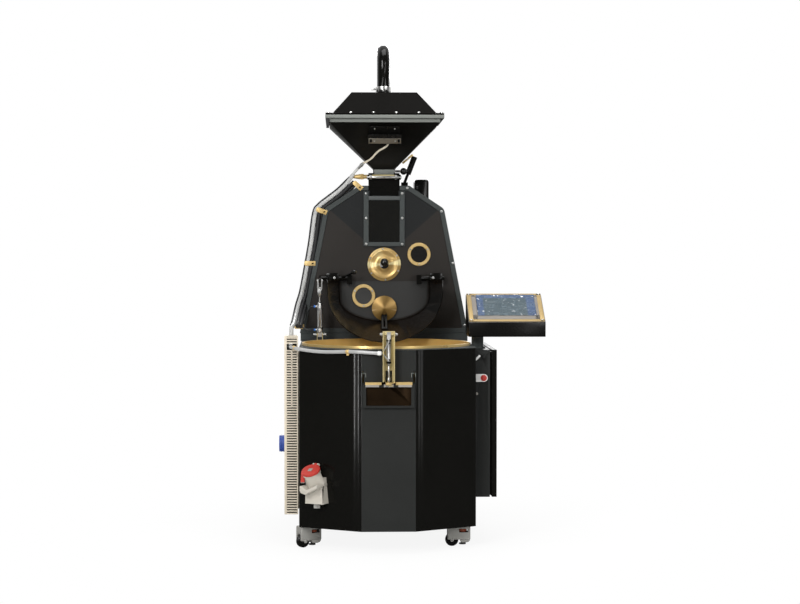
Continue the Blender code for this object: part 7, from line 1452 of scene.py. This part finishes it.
# %% [markdown]
# ## The door's cylinder
# A second cylinder stands in a brass fork on the deck and pushes the shaft's lever up. Its head and
# barrel are bright, with dark seals between them. Two nuts sit on its rod, and two blue fittings feed it.

# %% Door cylinder
CYLINDER_X, CYLINDER_Y = -0.268, 0.2404
CYLINDER = at(CYLINDER_X, CYLINDER_Y, 0)
dressed("door_cylinder", SILVER)
dressed("door_rod", BRIGHT_STEEL, 0.0004)
FOOT_PIN_Z = 0.813


def on_foot_pin(centre, normal):
    return abs(centre.z - FOOT_PIN_Z) < 0.0045 and abs(centre.x - CYLINDER_X) > 0.0128


dressed("cylinder_foot", PALE_BRASS, 0.0006, tests=[(on_foot_pin, BRIGHT_STEEL)])
head = Shape()
CAPS = ((0.8262, 0.8375, 0.0122), (0.9225, 0.9360, 0.0122), (0.9350, 0.9450, 0.0078))
SEALS = ((0.8395, 0.8425, 0.0114), (0.9140, 0.9165, 0.0114), (0.9440, 0.9475, 0.0056))
for rings, finish in ((CAPS, BRIGHT_STEEL), (SEALS, BLACK_PLASTIC)):
    for low, high, reach in rings:
        head.pin(reach, low, high, CYLINDER, UP, finish, 32, reach * 0.92)
BLUE_FITTING = moulded("blue push fitting", (0.03, 0.16, 0.55), 0.30)
AIR_ROUTES = (
    ((-0.2920, 0.2404, 0.9295), (-0.3050, 0.2420, 0.9270), (-0.3190, 0.2550, 0.9060),
     (-0.3270, 0.2800, 0.8790), (-0.3370, 0.3080, 0.8580), (-0.3480, 0.3260, 0.8460)),
    ((-0.2920, 0.2404, 0.8330), (-0.3030, 0.2440, 0.8300), (-0.3170, 0.2650, 0.8310),
     (-0.3310, 0.2960, 0.8360), (-0.3480, 0.3240, 0.8400)),
)
FITTING = [(0, 0), (0.0040, 0), (0.0044, 0.0008), (0.0044, 0.0062), (0.0034, 0.0075), (0, 0.0075)]
for route in AIR_ROUTES:
    height = route[0][2]
    head.pin(0.0042, 0, 0.0080, CYLINDER + Vector((-0.0100, 0, height)), LEFT, BRIGHT_STEEL, 6)
    head.turned(FITTING, CYLINDER + Vector((-0.0175, 0, height)), LEFT, BLUE_FITTING, 20)
    head.tube(smooth_route([at(*point) for point in route], 4), 0.0024, DARK_HOSE, 10)
head.done("door_cylinder_head", "door_cylinder", "steel")
nut = Shape()
profile = [(0, 0.9765), (0.0085, 0.9765), (0.0096, 0.9780), (0.0096, 0.9995), (0.0085, 1.0008), (0, 1.0008)]
nut.turned(profile, CYLINDER, UP, BRIGHT_STEEL, 6)
profile = [(0, 0.9715), (0.0066, 0.9715), (0.0074, 0.9725), (0.0074, 0.9768), (0, 0.9768)]
nut.turned(profile, CYLINDER, UP, BRIGHT_STEEL, 6, 0.4)
nut.done("door_rod_nuts", "door_rod", "steel")
print("door cylinder done")

# %% [markdown]
# ## Wiring duct
# The trunking on the left is a box whose front is a row of fingers with slots between them. The slots could
# be cut with a Boolean, but bars over a dark ground look the same and keep the mesh clean. The dark ground
# is painted shade, standing for the dark inside of the duct. Each finger is one short bar, set along the
# front by the repeat tree. In the upper part a middle rail splits the slots into two columns.

# %% Duct
DUCT_LOW, DUCT_HIGH = span("cable_duct")
DUCT_LEFT, DUCT_RIGHT = -0.4035, -0.3497
SLOT_DEPTH = 0.0030
FINGER_PITCH, FINGER_HEIGHT = 0.0100, 0.0055
SLOT_LEFT, SLOT_RIGHT = -0.3935, -0.3545
HOLE_LOW, HOLE_HIGH = 0.7700, 0.7960
COLUMNS_FROM = 0.5450


def pushed_back(copy):
    """Sets the duct's front back by the depth of a slot, to make room for the fingers."""
    front = TRAY_CENTRE.y + DUCT_LOW.y
    for corner in copy.verts:
        if abs(corner.co.y - front) < 0.0005:
            corner.co.y += SLOT_DEPTH


dressed("cable_duct", BEIGE_PLASTIC, reshape=pushed_back)
duct = Shape()
front, ground = DUCT_LOW.y, DUCT_LOW.y + SLOT_DEPTH
duct.box((DUCT_LEFT, front, DUCT_LOW.z), (SLOT_LEFT, ground + 0.0004, DUCT_HIGH.z), BEIGE_PLASTIC, 0.0008)
duct.box((SLOT_RIGHT, front, DUCT_LOW.z), (DUCT_RIGHT, ground + 0.0004, DUCT_HIGH.z), BEIGE_PLASTIC, 0.0008)
# The black ground behind the fingers is painted shade of the duct's inside.
duct.box((SLOT_LEFT - 0.001, ground - 0.0002, DUCT_LOW.z + 0.004),
         (SLOT_RIGHT + 0.001, ground + 0.0006, DUCT_HIGH.z - 0.004), BLACK_PLASTIC, 0)
rail = (SLOT_LEFT + SLOT_RIGHT) / 2
low, high = (rail - 0.0028, front + 0.0002, COLUMNS_FROM), (rail + 0.0028, ground + 0.0004, HOLE_LOW)
duct.box(low, high, BEIGE_PLASTIC, 0.0006)
duct.done("duct_rails", "machine", "beige_plastic")
finger = Shape()
wide, high = (SLOT_RIGHT - SLOT_LEFT) / 2 + 0.0004, FINGER_HEIGHT / 2
outline = [(-wide, -high), (wide, -high), (wide, high), (-wide, high)]
finger.prism(outline, SLOT_DEPTH - 0.0002, Matrix.Identity(4), BEIGE_PLASTIC, 0.0007, 1)
places = []
height = DUCT_LOW.z + FINGER_HEIGHT / 2
while height < DUCT_HIGH.z - FINGER_HEIGHT / 2:
    if not HOLE_LOW < height < HOLE_HIGH:
        places.append((at(rail, ground, height), FRONT))
    height += FINGER_PITCH
repeated("duct_fingers", finger.mesh, places, BEIGE_PLASTIC, "machine")
extras = Shape()
profile = [(0, -0.002), (0.0095, -0.002), (0.0095, 0.0008), (0.0070, 0.0014), (0, 0.0014)]
extras.turned(profile, at(DUCT_RIGHT - 0.0095, ground - 0.0008, 0.6050), FRONT, BLACK_PLASTIC, 6)
low = (DUCT_LEFT + 0.004, front + 0.0006, HOLE_LOW + 0.002)
high = (SLOT_RIGHT - 0.004, ground, HOLE_HIGH - 0.004)
extras.box(low, high, BLACK_PLASTIC)
extras.done("duct_gland", "machine", "black_plastic")
print(len(places), "duct fingers")

# %% [markdown]
# ## Sockets and inlet
# The wall socket has a beige box and a blue snout. The inlet on the left facet has a wedge-shaped box, a
# round snout that points up, a nut below and a red hinged lid. Each solid gets its second finish by a
# test. The inlet's box could be remade, but its solid only has to be slanted: a few of its corners slide
# along the facet.

# %% Sockets
SOCKET_MOUTH_X = -0.3900


def on_socket_snout(centre, normal):
    return centre.x < SOCKET_MOUTH_X


def on_gland(centre, normal):
    return centre.z < 0.1848


dressed("side_socket", INLET_BEIGE, 0.0015, tests=[(on_socket_snout, BLUE_PLASTIC)])
ALONG = Vector((0.240, -0.140, 0)).normalized()
INLET_FOOT = Vector((-0.272, -0.2626, 0))
NUT_TOP, BOX_LOW, BOX_HIGH = 0.1856, 0.200, 0.272


def slanted(copy):
    """Slants the box's left side in towards its bottom and widens its right side."""
    for corner in copy.verts:
        place = corner.co - TRAY_CENTRE
        reach = (place - INLET_FOOT).dot(ALONG)
        if place.z < NUT_TOP:
            corner.co += ALONG * 0.010
        elif place.z < BOX_LOW and reach < -0.015:
            corner.co += ALONG * 0.026
        elif place.z < BOX_HIGH and reach > 0.020:
            corner.co += ALONG * 0.012


dressed("power_inlet", INLET_BEIGE, 0.0012, tests=[(on_gland, NYLON_GREY)], reshape=slanted)
dressed("inlet_lid", RED_PLASTIC, 0.0012)
SNOUT_WAY = Vector((-0.25194, -0.43189, 0.86603)).normalized()
MOUTH = at(-0.29669, -0.30491, 0.31003)
ring = Shape()
profile = [(0.0335, -0.010), (0.0358, -0.008), (0.0358, -0.0015), (0.0335, -0.0008)]
ring.turned(profile, MOUTH, SNOUT_WAY, INLET_BEIGE, 48)
ring.done("inlet_rings", "machine", "beige_plastic")
rib = Shape()
for step, reach in ((0.0, 0.0345), (0.010, 0.0338), (0.020, 0.0338)):
    profile = [(0.0322, 0), (reach, 0.0008), (reach, 0.0042), (0.0322, 0.005)]
    rib.turned(profile, at(-0.3990 - step, 0.0575, 0.3825), LEFT, BLUE_PLASTIC, 48)
rib.done("socket_ribs", "machine", "blue_plastic")
LID_BASE = MOUTH + SNOUT_WAY * 0.0086
lid = Shape()
profile = [(0.0290, -0.0004), (0.0320, 0.0006), (0.0350, -0.0002), (0.0345, -0.0012), (0.0290, -0.0012)]
lid.turned(profile, LID_BASE, SNOUT_WAY, RED_PLASTIC, 48)
side_way = SNOUT_WAY.cross(UP).normalized()
tab_up = side_way.cross(SNOUT_WAY).normalized()
tab = [(-0.007, -0.010), (0.009, -0.010), (0.009, 0.008), (-0.007, 0.008)]
on_lid = Matrix.Translation(LID_BASE + SNOUT_WAY * 0.0016) @ axes(side_way, tab_up, side_way.cross(tab_up))
lid.prism(tab, 0.0012, on_lid, NYLON_GREY, 0.0004)
LEFT_END = (LEFT - SNOUT_WAY * LEFT.dot(SNOUT_WAY)).normalized()
strap = [(-0.0075, 0), (0.0075, 0), (0.0075, 0.0065), (0.0062, 0.0080), (-0.0062, 0.0080), (-0.0075, 0.0065)]
strap_root = MOUTH + LEFT_END * 0.0300 + SNOUT_WAY * 0.0070
hang = Vector((-0.05, 0, -1)).normalized()
aside = FRONT.cross(hang).normalized()
down = Matrix.Translation(strap_root) @ axes(aside, hang.cross(aside), hang)
lid.prism(strap, 0.040, down, RED_PLASTIC, 0.0014)
lid.pin(0.0060, -0.008, 0.008, strap_root + hang * 0.038, RIGHT, NYLON_GREY, 20, 0.0050, 0.002)
lid.done("inlet_lid_rim", "inlet_lid", "red_plastic")
band = Shape()
slant = [(-0.0350, 0.2350), (-0.0290, 0.2280), (-0.0100, 0.2230), (0.0440, 0.2500), (0.0440, 0.2640),
         (-0.0060, 0.2400), (-0.0240, 0.2560), (-0.0350, 0.2560)]
on_facet = Matrix.Translation(TRAY_CENTRE + INLET_FOOT) @ axes(ALONG, Z, ALONG.cross(Z))
band.prism(slant, 0.080, on_facet, INLET_BEIGE, 0.0030)
band.done("inlet_band", "machine", "beige_plastic")
print("sockets and inlet done")

# %% [markdown]
# ## Operator panel
# A wedge box on an arm. Its top slopes down to the front and carries a brass frame with four screws, a
# grey frame inside it, and the screen under its film. All of them are drawn flat in the slope's own two
# directions, and one placement, SLOPE_PLACE, carries them onto the box.

# %% Operator panel
HMI_LOW, HMI_HIGH = span("hmi_box")
SLOPE_LOW, SLOPE_HIGH = Vector((-0.080, 0.876)), Vector((0.105, 0.984))
SLOPE = (SLOPE_HIGH - SLOPE_LOW).normalized()
SLOPE_OUT = Vector((0, -SLOPE.y, SLOPE.x))
SLOPE_LENGTH = (SLOPE_HIGH - SLOPE_LOW).length
HMI_MIDDLE = (HMI_LOW.x + HMI_HIGH.x) / 2
ON_SLOPE = axes(X, Vector((0, SLOPE.x, SLOPE.y)), SLOPE_OUT)
SLOPE_PLACE = Matrix.Translation(at(HMI_MIDDLE, SLOPE_LOW.x, SLOPE_LOW.y)) @ ON_SLOPE
HMI_HALF = (HMI_HIGH.x - HMI_LOW.x) / 2


def on_slope(centre, normal):
    return normal.dot(SLOPE_OUT) > 0.80 and centre.z > 0.860


def frame_of(shape, outer, inner, low, high, finish, edge):
    """A flat frame on the slope from an outer to an inner rectangle, each (left, bottom, right, top)."""
    left, bottom, right, top = outer
    in_left, in_bottom, in_right, in_top = inner
    place = SLOPE_PLACE @ Matrix.Translation((0, 0, low))
    for a, b, c, d in ((left, bottom, right, in_bottom), (left, in_top, right, top),
                       (left, bottom, in_left, top), (in_right, bottom, right, top)):
        shape.prism([(a, b), (c, b), (c, d), (a, d)], high - low, place, finish, edge)


dressed("hmi_box", BLACK_PLASTIC, 0.0012, tests=[(on_slope, BEZEL_GREY)])


def set_left(copy):
    """Widens the post towards the cabinet, where it closes the gap beside the head."""
    low, high = span("hmi_post")
    middle = TRAY_CENTRE.x + (low.x + high.x) / 2
    for corner in copy.verts:
        corner.co.x -= 0.013 if corner.co.x < middle else 0.005


dressed("hmi_post", TEXTURED_GREY, reshape=set_left)
panel = Shape()
BRASS_MARGIN, GREY_MARGIN, GREY_FOOT = 0.0205, 0.0380, 0.0500
brass_in = (-HMI_HALF + BRASS_MARGIN, 0.0170, HMI_HALF - BRASS_MARGIN, SLOPE_LENGTH - 0.0150)
grey_in = (-HMI_HALF + GREY_MARGIN, GREY_FOOT, HMI_HALF - GREY_MARGIN, SLOPE_LENGTH - 0.0290)
outer = (-HMI_HALF + 0.0030, 0.0030, HMI_HALF - 0.0030, SLOPE_LENGTH - 0.0030)
PANEL_BRASS = brushed_metal("operator panel brass", (0.30, 0.205, 0.075), (0.46, 0.335, 0.145), 0.34,
                            (1, 1, 14), 14, 0.4)
frame_of(panel, outer, brass_in, 0.0004, 0.0030, PANEL_BRASS, 0.0004)
frame_of(panel, brass_in, grey_in, 0.0004, 0.0036, BEZEL_GREY, 0.0006)
panel.done("panel_frames", "operator_panel", "brass")
places = [(SLOPE_PLACE @ Vector((a, b, 0.0030)), SLOPE_OUT) for a in (-HMI_HALF + 0.012, HMI_HALF - 0.012)
          for b in (0.012, SLOPE_LENGTH - 0.010)]
screws("panel_screws", 0.0040, 0.0020, places, "operator_panel")
print("operator panel done")

# %% [markdown]
# ## Switch cabinet
# Its sides keep the gloss black, and its front has the facet's dark grey. The knob of the switch is red
# on a white plate with a round right end, and above it sits a small white handle, tilted to the right.

# %% Switch cabinet
SWITCH = Vector((0.380, -0.144, 0.659))


def on_cabinet_front(centre, normal):
    return normal.y < -0.9 and centre.y < -0.1380


dressed("switch_cabinet", GLOSS_BLACK, tests=[(on_cabinet_front, FACET_GREY)])
dressed("cabinet_door", GLOSS_BLACK, 0.0008)
dressed("main_switch", RED_PLASTIC, 0.0006)
CABINET_FRONT = span("switch_cabinet")[0].y
PLATE_HALF_HEIGHT = 0.0155
ON_FRONT = facing(FRONT, at(0, CABINET_FRONT + 0.0004, 0))
plate = Shape()
ends = [(x, z) for x, z in circle(PLATE_HALF_HEIGHT, 24, -math.pi / 2)[:13]]
outline = [(0.3475, SWITCH.z - PLATE_HALF_HEIGHT), *[(SWITCH.x + x, SWITCH.z + z) for x, z in ends],
           (0.3475, SWITCH.z + PLATE_HALF_HEIGHT)]
plate.prism(outline, 0.0020, ON_FRONT, WHITE_PLASTIC, 0.0008)
HANDLE = Vector((0.3560, 0.7390))
tilt = Vector((1, 1)).normalized()
aside = Vector((-tilt.y, tilt.x))
outline = [HANDLE + tilt * a + aside * b for a, b in ((-0.013, -0.004), (0.013, -0.004), (0.013, 0.004),
                                                      (-0.013, 0.004))]
plate.prism(outline, 0.0060, ON_FRONT, WHITE_PLASTIC, 0.0016)
plate.done("switch_plate", "machine", "beige_plastic")
screws("cabinet_screws", 0.0055, 0.0026, [(at(0.3520, CABINET_FRONT, 0.5970), FRONT)], finish=CAST_GREY)
print("switch cabinet done")

# %% [markdown]
# The film on the screen is a thin body of its own. A displaced plane would be open at its edge, so the
# body is built here. Its top is a grid whose points are lifted by a sum of ridged waves, which gives
# folds that catch the light, and its edge runs down to the screen so that the body is closed.

# %% Film
FILM_ACROSS, FILM_UP = 60, 32
FILM_LEFT, FILM_RIGHT = -HMI_HALF + 0.040, HMI_HALF - 0.032
FILM_LOW, FILM_HIGH = 0.0430, SLOPE_LENGTH - 0.0140
FILM_HEIGHT = 0.0026


def folds(across, up):
    """The height of the film: shallow waves with sharp ridges."""
    total = 0.0
    for scale, weight, turn in ((24, 1.0, 0.3), (47, 0.7, 1.1), (90, 0.45, 2.0), (150, 0.25, 0.8)):
        a = (across * math.cos(turn) + up * math.sin(turn) * 1.4) * scale
        b = (up * math.cos(turn) - across * math.sin(turn)) * scale * 1.3
        total += weight * (1 - abs(math.sin(a + 1.7 * math.sin(b * 0.8) + turn * 5)))
    return total / 2.4


film_sheet = bmesh.new()
rows = []
for n in range(FILM_UP + 1):
    row = []
    for m in range(FILM_ACROSS + 1):
        across = FILM_LEFT + (FILM_RIGHT - FILM_LEFT) * m / FILM_ACROSS
        up = FILM_LOW + (FILM_HIGH - FILM_LOW) * n / FILM_UP
        rim = n in (0, FILM_UP) or m in (0, FILM_ACROSS)
        lift = 0.0042 + (0.0006 if rim else FILM_HEIGHT * folds(across, up))
        row.append(film_sheet.verts.new((across, up, lift)))
    rows.append(row)
for row, following in zip(rows, rows[1:]):
    for n in range(FILM_ACROSS):
        film_sheet.faces.new((row[n], row[n + 1], following[n + 1], following[n]))
edge_loop = [*rows[0], *[row[-1] for row in rows[1:]], *rows[-1][-2::-1], *[row[0] for row in rows[-2:0:-1]]]
foot_loop = [film_sheet.verts.new((corner.co.x, corner.co.y, 0.0030)) for corner in edge_loop]
for n in range(len(edge_loop)):
    m = (n + 1) % len(edge_loop)
    film_sheet.faces.new((edge_loop[n], foot_loop[n], foot_loop[m], edge_loop[m]))
film_sheet.faces.new(foot_loop)
bmesh.ops.transform(film_sheet, matrix=SLOPE_PLACE, verts=film_sheet.verts)
cover_film = Shape()
cover_film.take(film_sheet, SCREEN_FILM)
cover_film.done("screen_film", "operator_panel", "window_glass", sharp=math.radians(80))
print("screen film done")

# %% [markdown]
# ## Cooling tray and sieve
# The tray is turned brass, so its solid keeps its shape and only gets the lathe's finish, with a brighter
# rim.


# %% Tray
TRAY_RIM_INNER, TRAY_RIM_LOW = 0.3285, 0.7805


def on_rim(centre, normal):
    return math.hypot(centre.x, centre.y) > TRAY_RIM_INNER and centre.z > TRAY_RIM_LOW


RIM_BRASS = turned_metal("tray rim brass", (0.66, 0.46, 0.17), (0.86, 0.64, 0.27), 0.24, at(0, 0, 0), "XY",
                         0.004, 0.00001, 0.7)
dressed("cooling_tray", TRAY_BRASS, tests=[(on_rim, RIM_BRASS)])
dressed("tray_sieve", STEEL)
SIEVE_TOP, SIEVE_RADIUS, SIEVE_HUB = 0.565, 0.322, 0.042
HOLE_PITCH, HOLE_RADIUS = 0.0085, 0.0024
ROW_STEP, EVEN_START = 0.866, 1000.0
print("tray dressed")

# %% [markdown]
# The sieve's holes repeat by the thousand. Geometry Nodes lay out a grid of points, keep those inside the
# tray and outside the hub, and set a small dark six-sided disc on each. The discs are painted shade,
# standing for the holes and the dark below them. Cutting them would cost far more faces.


# %% Sieve holes
def grid_tree():
    """A staggered grid of points in a ring between two radii, with an item on each."""
    sockets = (("Seat", "Geometry"), ("Pitch", "Float"), ("Outer", "Float"), ("Inner", "Float"))
    kit = Tree("perforation", sockets)
    given = kit.given.outputs

    def maths(operation, first, second=None):
        made = kit.node("ShaderNodeMath", operation=operation)
        for n, value in enumerate((first, second)):
            if isinstance(value, (int, float)):
                made.inputs[n].default_value = value
            elif value is not None:
                kit.tree.links.new(value, made.inputs[n])
        return made.outputs[0]

    steps = 2 * math.ceil(SIEVE_RADIUS / HOLE_PITCH / ROW_STEP) + 3
    grid = kit.node("GeometryNodeMeshGrid")
    for side in "XY":
        grid.inputs["Size " + side].default_value = steps - 1.0
        grid.inputs["Vertices " + side].default_value = steps
    where = kit.node("GeometryNodeInputPosition")
    reach = kit.node("ShaderNodeVectorMath", operation="LENGTH")
    apart, joined = kit.node("ShaderNodeSeparateXYZ"), kit.node("ShaderNodeCombineXYZ")
    kit.link(where, 0, apart, 0)
    kit.link(where, 0, reach, 0)
    row, column = maths("ROUND", apart.outputs[1]), apart.outputs[0]
    shift = maths("MULTIPLY", maths("MODULO", maths("ADD", row, EVEN_START), 2.0), 0.5)
    across = maths("MULTIPLY", maths("ADD", column, shift), given["Pitch"])
    along = maths("MULTIPLY", maths("MULTIPLY", row, ROW_STEP), given["Pitch"])
    kit.tree.links.new(across, joined.inputs[0])
    kit.tree.links.new(along, joined.inputs[1])
    moved = kit.node("GeometryNodeSetPosition")
    kit.link(grid, "Mesh", moved, "Geometry")
    kit.link(joined, 0, moved, "Position")
    outside = maths("GREATER_THAN", reach.outputs["Value"], given["Outer"])
    inside = maths("LESS_THAN", reach.outputs["Value"], given["Inner"])
    cut = kit.node("GeometryNodeDeleteGeometry", domain="POINT")
    kit.link(moved, 0, cut, "Geometry")
    kit.tree.links.new(maths("MAXIMUM", outside, inside), cut.inputs["Selection"])
    kit.copies(cut, "Geometry", at(0, 0, SIEVE_TOP))
    return kit.tree


hole = Shape()
# A hole is a thin black disc: painted shade where the sieve is open.
hole.pin(HOLE_RADIUS, -0.0004, 0.0003, (0, 0, 0), UP, BLACK_PLASTIC, 6)
held = bpy.data.meshes.new("hole")
hole.mesh.to_mesh(held)
hole_object = loose("hole", held)
inputs = {"Item": hole_object, "Pitch": HOLE_PITCH, "Outer": SIEVE_RADIUS, "Inner": SIEVE_HUB,
          "Finish": BLACK_PLASTIC}
mesh = evaluated(loose("seat", bpy.data.meshes.new("seat")), grid_tree(), inputs)
bpy.data.objects.remove(hole_object, do_unlink=True)
holes = placed("sieve_holes", mesh, "machine")
print("sieve holes:", len(holes.data.polygons) // 8)

# %% [markdown]
# ## Casters
# Each levelling caster is a grey nylon housing with a dark slot, an orange thumbwheel in it, a black
# wheel and a black pad. The four are the same, turned their own way, so they are built in a loop about
# their swivels. Tests on the housing's solid tell the pad, the thumbwheel and the slot. A skirt round the
# foot, ribs on the thumbwheel and caps on the axle are added to it.

# %% Casters
CASTER_X, CASTER_FRONT, CASTER_REAR = 0.295, -0.170, 0.800
CASTERS = (("front_left", -CASTER_X, CASTER_FRONT), ("front_right", CASTER_X, CASTER_FRONT),
           ("rear_left", -CASTER_X, CASTER_REAR), ("rear_right", CASTER_X, CASTER_REAR))
SLOT_LOW, SLOT_HIGH, SLOT_HALF = 0.0555, 0.0705, 0.0215
THUMB_LOW, THUMB_HIGH, THUMB_INNER, THUMB_OUTER = 0.0575, 0.0685, 0.0105, 0.0178
THUMB_RIBS, THUMB_RIB_CIRCLE, THUMB_RIB_REACH = 24, 0.0168, 0.0155
PAD_HIGH, PAD_RADIUS = 0.0265, 0.0145
AXLE_Z, CAP_OUT = 0.026, 0.0226
CAP = [(0, 0), (0.0068, 0), (0.0068, 0.0012), (0.0050, 0.0022), (0, 0.0024)]
SKIRT = [(-0.0290, 0.0300), (-0.0290, 0.0240), (-0.0235, 0.0180), (-0.0160, 0.0155), (0.0030, 0.0155),
         (0.0095, 0.0190), (0.0120, 0.0300)]
for name, x, y in CASTERS:
    fork, wheel = "caster_fork_" + name, "caster_wheel_" + name
    wheel_low, wheel_high = span(wheel)
    hub = (wheel_low + wheel_high) / 2
    away = Vector((hub.x - x, hub.y - y, 0))
    heading = away.normalized()
    beside = UP.cross(heading)

    def in_slot(centre, normal, x=x, y=y, beside=beside):
        aside = Vector((centre.x - x, centre.y - y, 0)).dot(beside)
        return SLOT_LOW < centre.z < SLOT_HIGH and abs(aside) < SLOT_HALF

    def on_thumbwheel(centre, normal, x=x, y=y):
        reach = math.hypot(centre.x - x, centre.y - y)
        return THUMB_LOW < centre.z < THUMB_HIGH and THUMB_INNER < reach < THUMB_OUTER

    def on_foot(centre, normal, x=x, y=y):
        return centre.z < PAD_HIGH and math.hypot(centre.x - x, centre.y - y) < PAD_RADIUS

    tests = [(on_foot, SATIN_RUBBER), (on_thumbwheel, THUMB_ORANGE), (in_slot, BLACK_PLASTIC)]
    dressed(fork, NYLON_GREY, 0.0020, tests=tests)
    dressed(wheel, BLACK_PLASTIC, 0.0012)
    base = Matrix.Translation(at(x, y, 0)) @ axes(heading, beside, UP)
    skirt = Shape()
    on_side = base @ Matrix(((1, 0, 0, 0), (0, 0, -1, 0.0205), (0, 1, 0, 0), (0, 0, 0, 1)))
    skirt.prism(SKIRT, 0.0410, on_side, NYLON_GREY, 0.0030)
    skirt.done("caster_skirt_" + name, "caster_" + name, "cast_grey")
    knurl = Shape()
    for ahead, aside in circle(THUMB_RIB_CIRCLE, THUMB_RIBS):
        if abs(aside) < THUMB_RIB_REACH:
            knurl.pin(0.0008, 0, 0.0084, base @ Vector((ahead, aside, 0.0588)), UP, THUMB_ORANGE, 8)
    knurl.done("thumbwheel_ribs_" + name, "caster_" + name, "beige_plastic")
    caps = Shape()
    for side in (-1, 1):
        caps.turned(CAP, base @ Vector((away.length, side * CAP_OUT, AXLE_Z)), beside * side, NYLON_GREY, 28)
    caps.done("axle_caps_" + name, "caster_" + name, "cast_grey")
print("casters done")

# %% [markdown]
# ## Behind the machine
# The back panel is held by four screws on each side, set in from its edges by the same amount.

# %% Back
BACK_LOW, BACK_HIGH = span("back_panel")
INSET, SCREWS_EACH_SIDE = 0.020, 4
rise = (BACK_HIGH.z - BACK_LOW.z - 2 * INSET) / (SCREWS_EACH_SIDE - 1)
places = [(at(side * (BACK_HIGH.x - INSET), BACK_HIGH.y, BACK_LOW.z + INSET + n * rise), BACK)
          for side in (-1, 1) for n in range(SCREWS_EACH_SIDE)]
screws("back_screws", 0.0050, 0.0024, places)
print("back done, nodes without a finish:", sorted(set(frame["nodes"]) - FINISHED))

# %% [markdown]
# ## The working solids' box
# The box of the working solids is written down. The finished machine has to stay inside the box of its
# working solids.

# %% Finish
print("cad box", [[round(v, 4) for v in corner] for corner in CAD_BOX])
